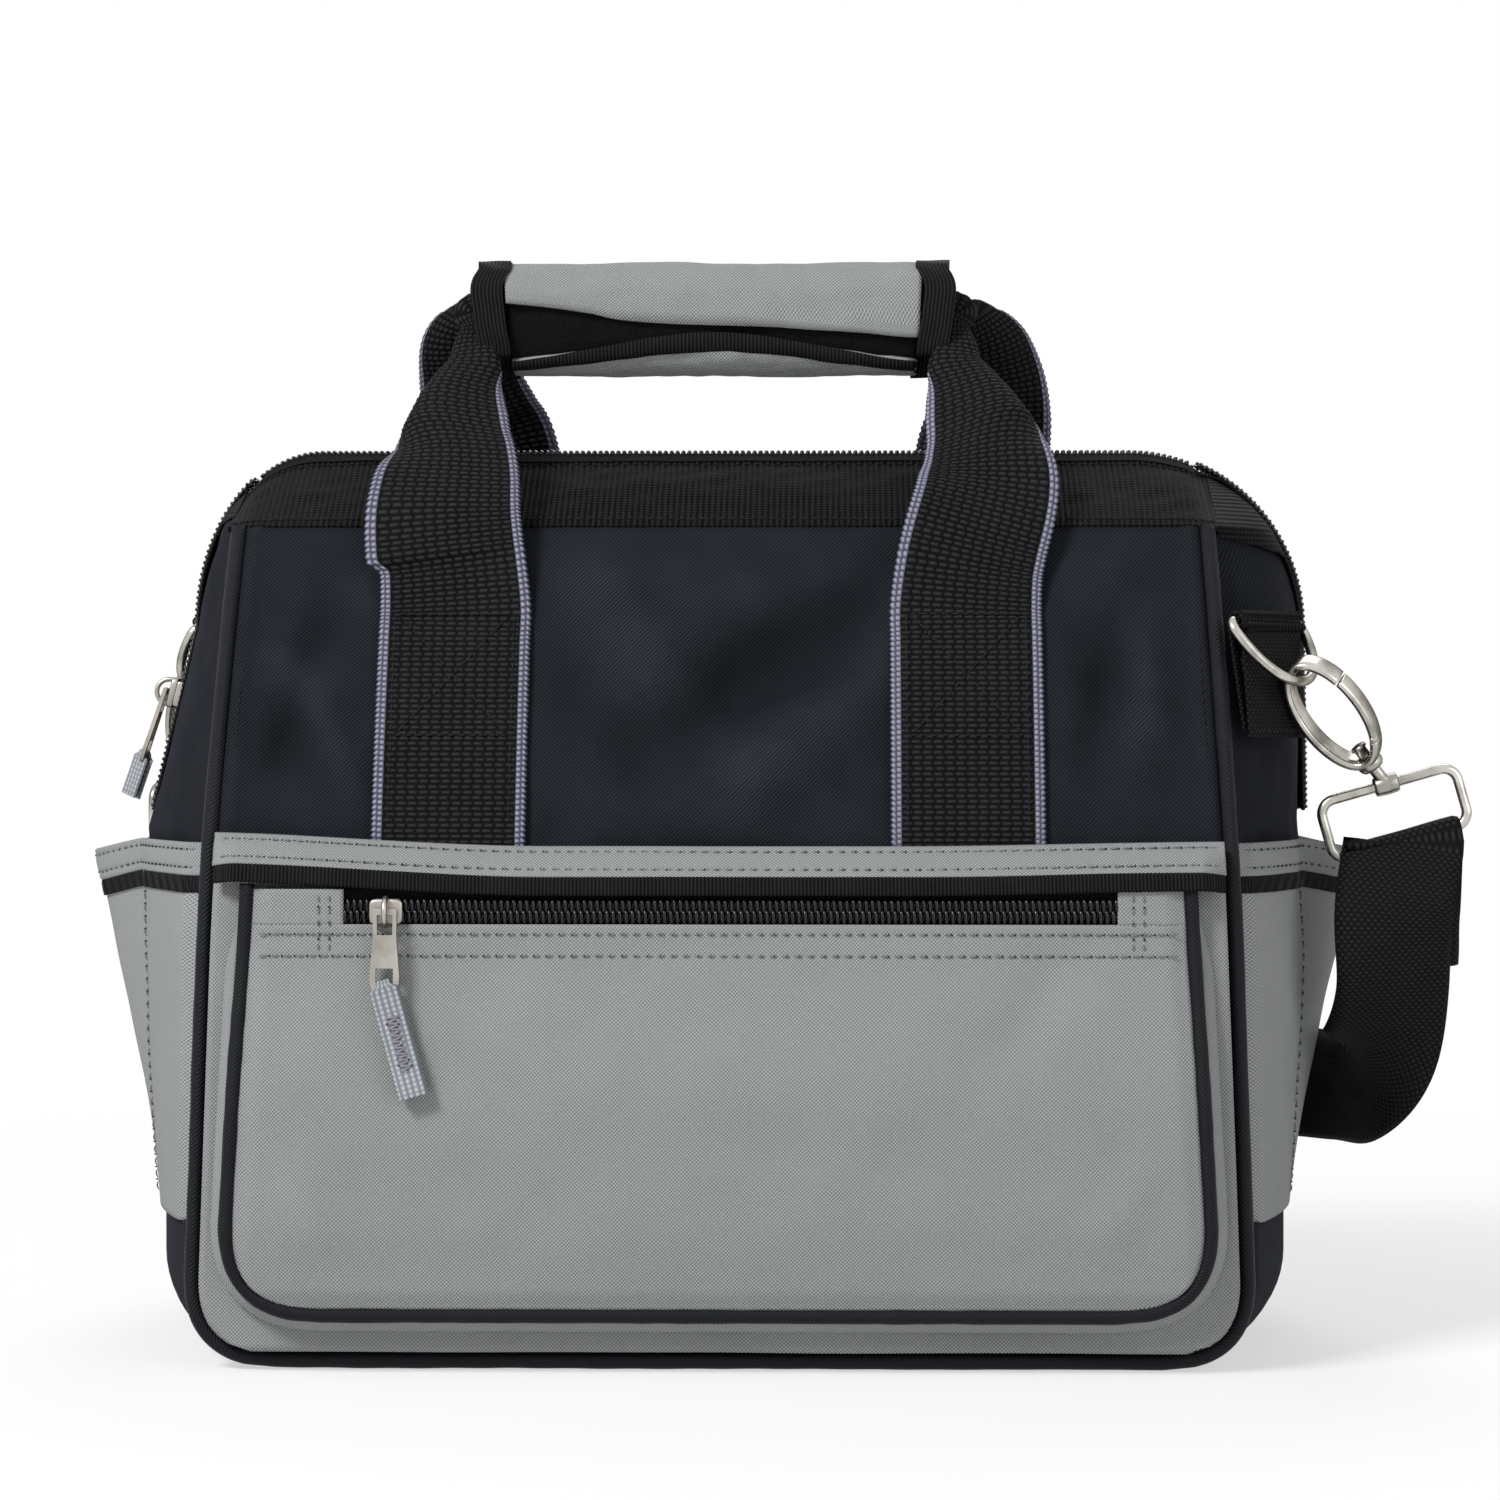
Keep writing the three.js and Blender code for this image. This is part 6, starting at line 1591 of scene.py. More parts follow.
@dataclass
class Mouth:
    """The two lips with their meshed coils, and the zip that runs on down both ends."""

    form: BagForm = FORM
    lip_half: float = 161.7
    band_low: Tuple[float, float] = (276.0, 267.0)
    band_start: float = 7.0
    tape_half: float = 7.6
    tape_row: int = 87
    zip_end: float = 180.9
    lean_out: float = 0.55
    lean_up: float = 0.83
    stitch_rows: Tuple[int, int] = (7, 83)

    def lip(self, face: Face) -> None:
        """Webbing band from the seam up to the zip, lower at both ends where the mouth curves down."""
        form = self.form
        half = form.half_top + 0.9
        x = np.linspace(-half, half, 640)[None, :]
        share = np.linspace(0.0, 1.0, 100)[:, None]
        top = form.arch_over(x, face)
        bow = np.sin(math.pi * share)
        wide = x + 0.0 * share
        tall = 52.0 * share + 0.0 * x
        slack = (
            1.1 * bow + 0.6 * bow * ripples(wide, tall, 121, 50.0)
            + 0.25 * bow * ripples(wide, tall, 125, 17.0)
        )
        fade = ease((half - np.abs(x)) / 9.0)
        crown = (slack + 0.5 * woven(Weave.DOTS, wide, tall, sine) + 0.4) * fade - 0.4
        y = -mix(form.seam_depth - 0.2, form.lip_top, share) - self.lean_out * crown
        z = mix(form.seam + 0.2, top - 0.6, share) + self.lean_up * crown
        grid = np.stack(np.broadcast_arrays(x * face.value, y * face.value, z), axis=-1)
        band = lay_uv(surface(f"{face.word}_lip_band", grid), wide, tall)
        dress(thicken(band, 2.0), "band", f"{face.word}_lip", f"{face.word}_top_band")
        smooth = (slack[self.tape_row :] + 1.3) * fade - 0.45
        hem = mix(-form.seam_depth + 0.2, -form.lip_top, share[self.tape_row :]) - self.lean_out * smooth
        rise = mix(form.seam + 0.2, top - 0.6, share[self.tape_row :]) + self.lean_up * smooth
        grid = np.stack(np.broadcast_arrays(x * face.value, hem * face.value, rise), axis=-1)
        cloth(f"{face.word}_lip_tape", grid, 0.6, "tape", f"{face.word}_lip")
        run = np.linspace(-self.lip_half, self.lip_half, 220)
        line = np.stack([run * face.value, np.zeros(220), form.arch_over(run, face) + 0.1], axis=1)
        wide, proud = (np.tile(way, (220, 1)) for way in (FRONTWARD * face.value, UP))
        points = coil_points(line, wide, proud, 1.0, 0.5 * (face is Face.REAR))
        coil = rod(f"{face.word}_lip_coil", points)
        dress(coil, "zip", f"{face.word}_lip", f"{face.word}_zip_half")
        out = np.tile([0.0, -self.lean_out * face.value, self.lean_up], (x.shape[1], 1))
        rows = []
        for row in self.stitch_rows:
            line = np.stack([x[0] * face.value, y[row] * face.value, z[row] + 0.1], axis=1)
            rows.append((line, out))
        sew(f"{face.word}_lip_stitches", rows, "black_thread", f"{face.word}_lip", 3.8, 2.9, 0.28)

    def end_line(self, side: Side, count: int) -> Tuple[Array, Array]:
        """Middle line of the zip down one end, with the way out of the bag."""
        form = self.form
        low = np.linspace(self.zip_end, form.shoulder, 60)
        turn = np.linspace(0.0, 1.0, 60)[1:]
        end = self.lip_half + 1.5
        span = form.shoulder_half(side) - form.arch_flat
        angle = turn * math.acos(((end - form.arch_flat) / span) ** (form.arch_power / 2.0))
        power = 2.0 / form.arch_power
        arch = form.shoulder + (form.zip_height - form.shoulder) * np.sin(angle) ** power
        z = np.concatenate([low, arch])
        x = np.concatenate([form.middle(low, side), form.arch_flat + span * np.cos(angle) ** power])
        line = even_steps(np.stack([x * side.value, 0.0 * x, z], axis=1), count)
        along = tangents(line)
        out = np.stack([along[:, 2] * side.value, 0.0 * along[:, 0], -along[:, 0] * side.value], axis=1)
        return line, unit(out)

    def end_zip(self, side: Side) -> None:
        """Tape, ribbed bands beside it and meshed coils down one end."""
        form, word = self.form, side.word
        line, out = self.end_line(side, 300)
        travel = np.linspace(0.0, path_length(line), len(line))
        dip = 2.2 * ease((travel - travel[-1] + 10.0) / 9.0)[:, None]
        y = np.linspace(-self.tape_half, self.tape_half, 17)[None, :] * side.value
        proud = 0.25 + 0.1 * np.sin(TAU * y / 1.6) - dip
        grid = line[:, None] + proud[..., None] * out[:, None] + np.stack([0.0 * y, y, 0.0 * y], axis=-1)
        cloth(f"{word}_zip_cloth", grid, 0.8, "tape", "bag", f"{word}_zip_tape")
        coils = coil_pair(f"{word}_zip_coils", line + 1.15 * out, np.array([0.0, 1.0, 0.0]), out)
        dress(coils, "zip", "bag", f"{word}_zip_chain")
        low = self.band_low[side is Side.RIGHT]
        for face in Face:
            z = line[:, 2:3] - 0.6
            reach = np.minimum(10.0 + 40.0 * ease((z - low) / 8.0), form.end_reach(z, side) - 0.1)
            share = np.linspace(0.0, 1.0, 56)[None, :]
            across = mix(self.band_start, np.maximum(reach, self.band_start + 0.5), share)
            run = travel[:, None] + 0.0 * across
            lift = (
                0.5 + 0.35 * np.sin(math.pi * share) + 0.28 * woven(Weave.DOTS, run, across, sine) - 0.2 * dip
            )
            points = form.gusset(-across * face.value, z + 0.0 * across, lift, side)
            turn = slice(None, None, -1 if side.value * face.value > 0 else 1)
            band = surface(f"{word}_{face.word}_zip_band", points[:, turn])
            dress(thicken(lay_uv(band, run[:, turn], across[:, turn]), 0.9), "band", "bag")

    def build(self) -> None:
        """Makes both lips and both ends of the zip."""
        for face in Face:
            self.lip(face)
        for side in Side:
            self.end_zip(side)


@dataclass(frozen=True)
class HandleFall:
    """How the legs of one handle rise.

    The rows are height, outer edge and inner edge; the outer part folds back by an angle between two heights.
    """

    shift: float
    lean: float
    lean_at: float
    rows: Tuple[Tuple[float, float, float], ...]
    fold_from: float
    fold_to: float
    fold: float
    depth: float


HANDLE_FALLS = {
    Face.FRONT: HandleFall(
        -3.5, 2.7, 297.0,
        (
            (262.0, 110.8, 61.5), (270.0, 112.0, 63.0), (283.0, 114.0, 65.6), (295.0, 114.0, 67.4),
            (307.0, 110.0, 69.2), (318.0, 103.4, 70.5), (334.0, 93.0, 74.0), (342.0, 89.8, 78.0),
            (349.0, 87.4, 80.5),
        ),
        292.0, 338.0, 3.4, 1.0,
    ),
    Face.REAR: HandleFall(
        3.2, 5.0, 352.0,
        (
            (262.0, 110.5, 60.5), (270.0, 111.0, 61.0), (295.0, 112.0, 62.5), (310.0, 112.5, 65.0),
            (320.0, 112.3, 70.0), (334.0, 110.0, 77.0), (344.0, 106.0, 81.0), (350.0, 100.0, 83.0),
            (353.5, 94.0, 84.0),
        ),
        305.0, 346.0, 1.1, 0.6,
    ),
}


@dataclass
class Handle:
    """One webbing handle, sewn up the panel at both legs, folded and gathered into the grip."""

    face: Face
    form: BagForm = FORM
    width: float = 50.6
    leg_x: float = 85.0
    anchor_low: float = 142.0
    anchor_top: float = 252.0
    grip_z: float = 350.0
    offset: float = 5.3
    thickness: float = 1.4
    rises: Tuple[float, ...] = (252.0, 260.1, 281.6, 309.0, 330.5, 345.1, 352.0)
    nearness: Tuple[float, ...] = (1.0, 0.99, 0.92, 0.66, 0.36, 0.16, 0.1)
    bend: Tuple[Tuple[float, float, float], ...] = (
        (85.2, 353.0, 5.0), (80.5, 355.0, 5.0), (72.0, 353.0, 7.0), (58.0, 350.4, 10.0), (30.0, 350.0, 11.0),
        (0.0, 350.0, 11.0),
    )
    stitch_inset: float = 19.8
    stitch_span: Tuple[float, float] = (206.0, 246.0)
    free_from: Tuple[float, float, float] = (0.061, 0.248, 0.264)

    @property
    def fall(self) -> HandleFall:
        """The shape of this handle's legs."""
        return HANDLE_FALLS[self.face]

    def leg(self) -> Array:
        """Rows of (x, y, z, half-width) from the sewn end of the right leg to the middle of the grip."""
        form = self.form
        z = np.linspace(self.anchor_low, self.anchor_top - 4.0, 12)
        depth, level, up = form.panel(z)
        half = np.full_like(z, self.width / 2.0)
        sewn = np.stack([np.full_like(z, self.leg_x), -(depth + 1.3 * level), z + 1.3 * up, half], axis=1)
        seat = float(form.panel(np.asarray(self.anchor_top))[0]) + 1.2
        rows = np.asarray(self.fall.rows)
        y = -seat * np.interp(rows[:, 0], self.rises, self.nearness)
        free = np.stack(
            [0.5 * (rows[:, 1] + rows[:, 2]), y, rows[:, 0], 0.5 * (rows[:, 1] - rows[:, 2])], axis=1
        )
        held = np.array([[x, -self.offset, height, reach] for x, height, reach in self.bend])
        return even_steps(smooth_path(np.vstack([sewn, free, held]), 900), 700)

    def section(self, rows: Array, width: Array) -> Section:
        """Section at each station: the outer part curls back by an angle that grows with height.

        The direction across turns by fold * ease((u + 8) / 33). Reach and height are its running sums, and
        the reach is then fitted to the station's half-width.

        Args:
            rows: stations of (x, y, z, half-width).
            width: places across the unfolded webbing.

        Returns:
            The width, the reach across and the height for each station and place.
        """
        fall = self.fall
        share = ease((rows[:, 2] - fall.fold_from) / (fall.fold_to - fall.fold_from))
        angle = (fall.fold * share)[:, None] * ease((width + 8.0) / 33.0)[None, :]
        tuck = 2.6 * ease((rows[:, 2] - 322.0) / 20.0)
        angle = (angle - tuck[:, None] * ease((-10.0 - width) / 15.0)[None, :]) * self.face.value
        step = width[1] - width[0]
        reach = np.cumsum(np.cos(angle), axis=1) * step
        height = -np.cumsum(np.sin(angle), axis=1) * step
        height = height - height[:, len(width) // 3 : len(width) // 3 + 1]
        low, high = reach.min(axis=1, keepdims=True), reach.max(axis=1, keepdims=True)
        half = rows[:, 3:4]
        inside = ease((80.0 - np.abs(rows[:, :1])) / 8.0) * (rows[:, 2:3] > self.grip_z - 24.0)
        fitted = (2.0 * (reach - low) / (high - low) - 1.0) * half
        height = height * fall.depth * (half / width.max()) * (1.0 - 0.6 * inside)
        return width, *self.hang(rows, width, fitted, height)

    def hang(self, rows: Array, width: Array, reach: Array, height: Array) -> Tuple[Array, Array]:
        """The outer edge of the front handle's left leg bulges sideways and forwards over its sewn end."""
        z = rows[:, 2]
        spread = np.where(z < 268.0, 2.6, 30.0)
        bulge = 4.0 * np.exp(-(((z - 268.0) / spread) ** 2)) * (rows[:, 0] < 0.0) * (self.face is Face.FRONT)
        outer = np.clip(width / self.width + 0.5, 0.0, 1.0)
        forwards = 0.7 * bulge[:, None] * np.sin(0.5 * math.pi * outer)[None, :]
        return reach + bulge[:, None] * outer[None, :] ** 2, height + forwards

    def build(self) -> None:
        """Makes the webbing in one piece, and its stitches."""
        right = self.leg()
        left = right[::-1] * np.array([-1.0, 1.0, 1.0, 1.0])
        rows = even_steps(np.vstack([right, left[1:]]), 1340)
        lean = self.fall.lean * np.exp(-(((rows[:, 2] - self.fall.lean_at) / 20.0) ** 2))
        rows[:, 0] += lean * ease((np.abs(rows[:, 0]) - 56.0) / 26.0)
        width = np.linspace(-self.width / 2.0, self.width / 2.0, 55)
        profile = self.section(rows, width)
        path = rows[:, :3] + np.array([self.fall.shift * self.face.value, 0.0, 0.0])
        along = tangents(path)
        across = unit(np.stack([along[:, 2], 0.0 * along[:, 0], -along[:, 0]], axis=1))
        turn = np.array([self.face.value, self.face.value, 1.0])
        word = self.face.word
        name = f"{word}_handle_webbing"
        piece = strip(name, path * turn, across * turn, profile, self.thickness, Weave.LADDER, (0.42, 0.2))
        dress(piece, "striped", None, f"{word}_handle", f"{word}_handle_end_left", f"{word}_handle_end_right")
        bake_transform(piece)
        self.sewing()

    def sewing(self) -> None:
        """Stitched rows inside both edges of each leg, two cross rows and a diagonal pair between them."""
        lines = []
        for sign in (-1.0, 1.0):
            middle = sign * self.leg_x + self.fall.shift * self.face.value
            for inset in (-self.stitch_inset, self.stitch_inset):
                z = np.linspace(self.form.hem_top + 2.0, self.stitch_span[1], 90)
                lines.append(self.on_leg(np.full_like(z, middle + inset), z))
            for z0 in self.stitch_span[::-1]:
                x = np.linspace(-19.0, 19.0, 30)
                lines.append(self.on_leg(x + middle, np.full_like(x, z0)))
            for slope in (-1.0, 1.0):
                x = np.linspace(-18.0, 18.0, 30)
                lines.append(self.on_leg(x + middle, sum(self.stitch_span) / 2.0 + slope * x * 1.08))
        sew(f"{self.face.word}_handle_stitches", lines, "black_thread", "bag", 3.4, 2.7, 0.3)

    def on_leg(self, x: Array, z: Array) -> Tuple[Array, Array]:
        """Points on the sewn webbing with the way out of it."""
        level = self.form.on_panel(x, z, np.full_like(x, 2.25), self.face)
        return level, self.form.on_panel(x, z, np.full_like(x, 3.25), self.face) - level


@dataclass
class Grip:
    """Padded grey wrap round both handles, bound in black, with its closing flap."""

    z: float = 350.8
    half: float = 82.0
    binding: float = 10.4
    half_height: float = 17.6
    half_depth: float = 12.8
    thickness: float = 2.4
    power: float = 3.0
    shift: float = -4.0
    wrap_end: float = 250.0
    binding_start: float = -34.0
    flap_start: float = 252.0
    lining_span: Tuple[float, float] = (-112.0, 32.0)

    @property
    def inner(self) -> float:
        """Half-length of the wrap, which ends under its bindings."""
        return self.half - self.binding + 1.0

    def wrap_edge(self, x: Array) -> Array:
        """Angle of the wrap's front edge: lower towards the right end, a little wavy."""
        share = np.clip(x / self.half + 1.0, 0.0, 2.0) / 2.0
        return mix(7.0, -14.0, share) + 1.5 * np.sin(x / 19.0)

    def flap_edge(self, x: Array, further: float = 0.0) -> Array:
        """Angle of the flap's free edge, further round in the middle of the grip than at its ends."""
        return 314.0 + 36.0 * np.cos(math.pi * x / (2.0 * self.inner)) ** 1.2 + further

    def ring(self, degrees: Array, x: Array, out: Array) -> Array:
        """Points round the grip: a rounded box in section, 0 degrees in front and 90 on top."""
        angle = np.radians(degrees)
        y = -(self.half_depth + out) * bent(np.cos(angle), 2.0 / self.power)
        z = self.z + (self.half_height + out) * bent(np.sin(angle), 2.0 / self.power)
        drawn = x * (1.0 - 0.016 * (1.0 - np.sin(angle)))
        return np.stack(np.broadcast_arrays(drawn + self.shift, y, z), axis=-1)

    def sheet(
        self, name: str, start: Edge, end: Edge, low: float, high: float, out: float, seed: int,
        bulge: float = 0.0, sway: float = 0.0,
    ) -> bpy.types.Object:
        """A wrapped sheet between two angles that may vary along the grip, with soft dents.

        Args:
            name: piece name.
            start: angle of one edge in degrees, a number or a function of the place along the grip.
            end: angle of the other edge.
            low: one end of the sheet along the grip.
            high: the other end.
            out: distance from the grip's core.
            seed: picks the dents.
            bulge: extra height in the middle between the two edges.
            sway: how far the ends move along the grip in front, against the top.

        Returns:
            The open surface.
        """
        x = np.linspace(low, high, 100)[None, :]
        share = np.linspace(0.0, 1.0, 61)[:, None]
        first, last = (edge(x) if callable(edge) else edge + 0.0 * x for edge in (start, end))
        degrees = mix(first, last, share)
        wide = x + 0.0 * share
        dents = (
            0.55 * ripples(wide, 0.5 * degrees, seed, 38.0)
            + 0.35 * ripples(wide, 0.5 * degrees, seed + 3, 15.0)
        )
        sag = 0.9 * np.cos(math.pi * x / (2.0 * self.half)) - 0.5
        rise = bulge * np.sqrt(np.clip(np.sin(math.pi * share), 0.0, 1.0))
        moved = x + sway * (np.cos(np.radians(degrees)) ** 2 - 0.5 + 0.3 * np.sin(np.radians(5.0 * degrees)))
        points = self.ring(degrees, moved, out + dents * 0.6 + sag * 0.3 + rise)
        return surface(name, points)

    def build(self) -> None:
        """Makes wrap, bindings, flap and the flap's bound edge."""
        inner, thick = self.inner, self.thickness
        wrap = self.sheet("grip_wrap_cloth", self.wrap_edge, self.wrap_end, -inner, inner, thick - 0.5, 131)
        dress(thicken(wrap, 2.0), "grey", "rear_handle", "grip_wrap")
        lining = self.sheet("grip_lining", *self.lining_span, 0.5 - inner, inner - 0.5, thick - 2.6, 151)
        dress(thicken(lining, 0.8), "felt", "rear_handle")
        half = (inner + 3.0, 4.2, self.half_height - 2.6)
        core = rounded_block("grip_core", np.array([self.shift, 0.0, self.z]), np.eye(3), half, 0.25)
        dress(core, "felt", "rear_handle")
        for side in Side:
            ends = sorted([side.value * (self.half - self.binding), side.value * (self.half + 0.6)])
            band = self.sheet(
                f"grip_binding_{side.word}_cloth", self.binding_start, self.wrap_end, *ends, thick + 0.6,
                137 + side.value, 0.0, 3.0 * side.value,
            )
            dress(thicken(band, 2.8), "grosgrain", "rear_handle", f"grip_binding_{side.word}")
        ends = (1.0 - inner, inner - 1.0)
        flap = self.sheet("grip_flap_cloth", self.flap_start, self.flap_edge, *ends, thick - 0.6, 141)
        dress(thicken(flap, 1.8), "grey", "grip_flap", "grip_flap")
        bound = self.sheet(
            "grip_flap_binding", lambda x: self.flap_edge(x, -20.0), lambda x: self.flap_edge(x, 1.5), *ends,
            thick - 0.5, 147, 1.0,
        )
        dress(thicken(bound, 2.4), "grosgrain", "grip_flap")


@dataclass
class ZipPull:
    """Slider, puller and folded pull tape of one zip, set by the joint that its puller lifts on."""

    name: str
    channel_up: bool
    tape_length: float
    sway: float
    twist: float = 0.0
    lean: float = 5.0
    puller_length: float = 26.0
    pivot_height: float = 4.7
    slider_half: Tuple[float, float, float] = (5.4, 4.1, 1.45)
    cheek_half: Tuple[float, float, float] = (4.4, 0.72, 1.25)
    cheek_apart: float = 3.45
    tape_half: float = 4.9
    layer: float = 1.05
    weld_gap: float = 0.02
    edge_round: float = 0.32

    def __post_init__(self) -> None:
        """Works out its axes (along the pivot, up the puller, out of the cloth) and the slider's middle."""
        place, lift = joint_line(f"{self.name}_puller_lift")
        up = joint_line(f"{self.name}_slider_run")[1] if self.channel_up else UP
        self.axes = np.stack([-lift, up, np.cross(-lift, up)])
        self.origin = place - self.pivot_height * self.axes[2]

    def slider(self) -> None:
        """Rounded slider body with two cheeks, and the crown that holds the puller."""
        axes, centre = self.axes, self.origin
        order = [1, 0, 2] if self.channel_up else [0, 1, 2]
        half, size = (np.array(sizes)[order] for sizes in (self.slider_half, self.cheek_half))
        body = rounded_block(f"{self.name}_slider_top", centre + 1.85 * axes[2], axes, half, 0.38)
        cheeks = []
        for sign in (-1.0, 1.0):
            middle = centre + sign * self.cheek_apart * axes[order[1]] - 0.3 * axes[2]
            cheeks.append(rounded_block(f"{self.name}_cheek_{sign}", middle, axes, size, 0.4))
        angle = np.linspace(0.0, math.pi, 40)
        level, rise = 4.35 * np.cos(angle), 2.6 + 5.3 * np.sin(angle) ** 0.8
        arch = centre + level[:, None] * axes[1] + rise[:, None] * axes[2]
        crown = tube(f"{self.name}_crown", arch, 0.85, 14)
        join(f"{self.name}_slider_metal", [body, *cheeks, crown])
        dress(body, "satin", f"{self.name}_slider", f"{self.name}_slider")

    def metal(self) -> None:
        """Puller: its solid with softened edges and bright plate."""
        node = frame["nodes"][f"{self.name}_puller"]
        weld = node.modifiers.new("weld", "WELD")
        weld.merge_threshold = self.weld_gap * MM
        soft = node.modifiers.new("soft", "BEVEL")
        soft.width = self.edge_round * MM
        soft.segments = 3
        soft.limit_method = "ANGLE"
        soft.angle_limit = math.radians(35.0)
        node.data.materials.clear()
        node.data.materials.append(material("satin"))

    def tape(self) -> None:
        """Folded woven tape through the puller's slot, stitched together below the fold."""
        axes = self.axes
        lean, sway = math.radians(self.lean), math.radians(self.sway)
        down = -axes[1] * math.cos(lean) + axes[2] * math.sin(lean)
        out = np.cross(axes[0], -down)
        hang = down * math.cos(sway) + axes[0] * math.sin(sway)
        square = np.cross(hang, out)
        spin = math.radians(self.twist)
        wide = square * math.cos(spin) + out * math.sin(spin)
        out = np.cross(wide, hang)
        foot = self.origin + self.pivot_height * axes[2] + down * (self.puller_length - 1.2)
        t = np.linspace(0.0, 1.0, 40)
        fold = -2.6 * np.sin(math.pi * t)
        drop = np.concatenate([self.tape_length * (1.0 - t[:-1]), fold, self.tape_length * t[1:]])
        swing = np.cos(math.pi * t)
        bulge = self.layer * np.concatenate([np.ones(39), swing * 1.25, -np.ones(39)])
        neck = 0.55 + 0.45 * ease((drop + 1.4) / 1.6)
        path = foot + drop[:, None] * hang + bulge[:, None] * out
        line = even_steps(np.hstack([path, neck[:, None]]), 150)
        width = np.linspace(-self.tape_half, self.tape_half, 21)
        reach = width[None, :] * line[:, 3:]
        profile = (width, reach, 0.0 * reach)
        across = np.tile(wide, (150, 1))
        name = f"{self.name}_pull_tape_cloth"
        piece = strip(name, line[:, :3], across, profile, 0.7, Weave.DOTS, (0.12, 0.12))
        dress(piece, "pull", f"{self.name}_puller", f"{self.name}_pull_tape")
        if self.tape_length > 20.0:
            fall = np.linspace(9.0, self.tape_length - 9.0, 19)
            sideways = 2.3 * (1.0 - 2.0 * (np.arange(19) % 2))
            zigzag = foot + fall[:, None] * hang + (self.layer + 0.45) * out + sideways[:, None] * wide
            leg = path_length(zigzag) / 18.0
            row = (even_steps(zigzag, 18 * 12 + 1), np.tile(out, (18 * 12 + 1, 1)))
            name, body = f"{self.name}_pull_stitches", f"{self.name}_puller"
            sew(name, [row], "lilac_thread", body, leg * 0.999, leg, 0.42)

    def build(self) -> None:
        """Makes slider, puller and tape."""
        self.slider()
        self.metal()
        self.tape()


@dataclass
class Hanger:
    """D-ring on its tab, the swivel snap hook on the ring, and the wire loop that holds the strap."""

    side: Side
    lean: float
    loop_across: Array
    drop: Array
    tab_rise: float = 19.5
    tab_stand: float = 5.45
    tab_foot: float = 19.3
    tab_bend: float = 2.9
    tab_sewn: Tuple[float, float] = (-17.0, 8.0)
    tab_sewn_half: float = 16.0
    tab_width: float = 38.0
    ring_wire: float = 1.75
    ring_half: float = 22.0
    ring_drop: float = 24.0
    hook_half: Tuple[float, float] = (22.0, 12.0)
    band: float = 3.2
    band_width: float = 9.0
    hook_centre: float = 14.25
    gate: Tuple[float, float] = (5.0, 29.0)
    swivel: float = 45.0
    loop_wire: float = 1.7
    loop_half: float = 23.5
    loop_drop: float = 20.0
    loop_corner: float = 5.0

    def __post_init__(self) -> None:
        """Works out its places in millimetres and its directions from the joints of the frame."""
        word = self.side.word
        self.ring, swing = joint_line(f"{word}_strap_swing")
        self.wire, self.down = joint_line(f"{word}_swivel")
        self.along = -swing
        self.across = np.cross(joint_line(f"{word}_gate_open")[1], self.down)
        level, tilt = np.cross(self.along, UP), math.radians(self.lean)
        self.out = math.cos(tilt) * level + math.sin(tilt) * UP
        self.up = math.cos(tilt) * UP - math.sin(tilt) * level
        self.origin = self.ring - self.tab_rise * self.up - self.tab_stand * self.out
        fall = self.wire - self.ring
        self.hang = unit(fall - self.along * (fall @ self.along))

    def tab(self) -> None:
        """Webbing folded over the ring's bar and sewn flat to the end of the bag."""
        along, up, out, origin = self.along, self.up, self.out, self.origin
        bar = self.ring
        t = np.linspace(0.0, 1.0, 30)[:, None]
        foot = origin - self.tab_foot * up
        radius = self.tab_bend
        angle = np.linspace(-0.15 * math.pi, 1.05 * math.pi, 30)[:, None]
        outer = mix(foot + 2.5 * out, bar + radius * out * 0.6 - 3.2 * up, t)
        fold = bar + radius * (np.cos(angle) * out + np.sin(angle) * up)
        inner = mix(bar - radius * out - 1.0 * up, foot + 0.5 * out, t)
        path = even_steps(smooth_path(np.vstack([outer, fold, inner])[::3], 160), 150)
        wide = np.broadcast_to(along, path.shape)
        profile = flat_profile(self.tab_width / 2.0, 61, len(path))
        piece = strip(f"{self.side.word}_tab_webbing", path, -wide, profile, 1.3, Weave.CHECKER, (0.25, 0.1))
        dress(piece, "webbing", "bag", f"{self.side.word}_d_tab")
        t = np.linspace(-18.4, 18.4, 150)
        rows = []
        for lift, proud in ((1.6, 2.6), (-2.2, 3.2)):
            braid = bar + lift * up + proud * out + t[:, None] * along
            rows.append(
                tube(f"{self.side.word}_braid_{lift}", braid, 1.5 + 0.3 * np.sin(TAU * t / 2.2 + lift), 10)
            )
        dress(join(f"{self.side.word}_tab_braid", rows), "webbing", "bag")
        half, ends = self.tab_sewn_half, self.tab_sewn
        corners = [((-half, ends[0]), (-half, ends[1])), ((half, ends[0]), (half, ends[1]))]
        corners += [((-half, height), (half, height)) for height in (*ends, sum(ends) / 2.0)]
        lines = []
        for start, end in corners:
            flat = np.linspace(start, end, 20)
            line = origin + flat[:, :1] * along + flat[:, 1:] * up + 3.4 * out
            lines.append((line, np.tile(out, (20, 1))))
        sew(f"{self.side.word}_tab_stitches", lines, "black_thread", "bag", 3.2, 2.5, 0.28)

    def d_ring(self) -> None:
        """Round wire bent to a D: half an ellipse closed by a straight bar with small bends."""
        along, hang, centre = self.along, self.hang, self.ring
        angle = np.linspace(0.12, math.pi - 0.12, 60)[:, None]
        arc = self.ring_half * np.cos(angle) * along + self.ring_drop * np.sin(angle) * hang
        bar = np.linspace(-self.ring_half + 1.6, self.ring_half - 1.6, 24)[:, None] * along
        path = even_steps(smooth_path(np.vstack([arc, bar, arc[:1]]), 400)[:-1], 150, True)
        piece = tube(f"{self.side.word}_ring_wire", centre + path, self.ring_wire, 16, True)
        dress(piece, "nickel", f"{self.side.word}_d_ring", f"{self.side.word}_d_ring")

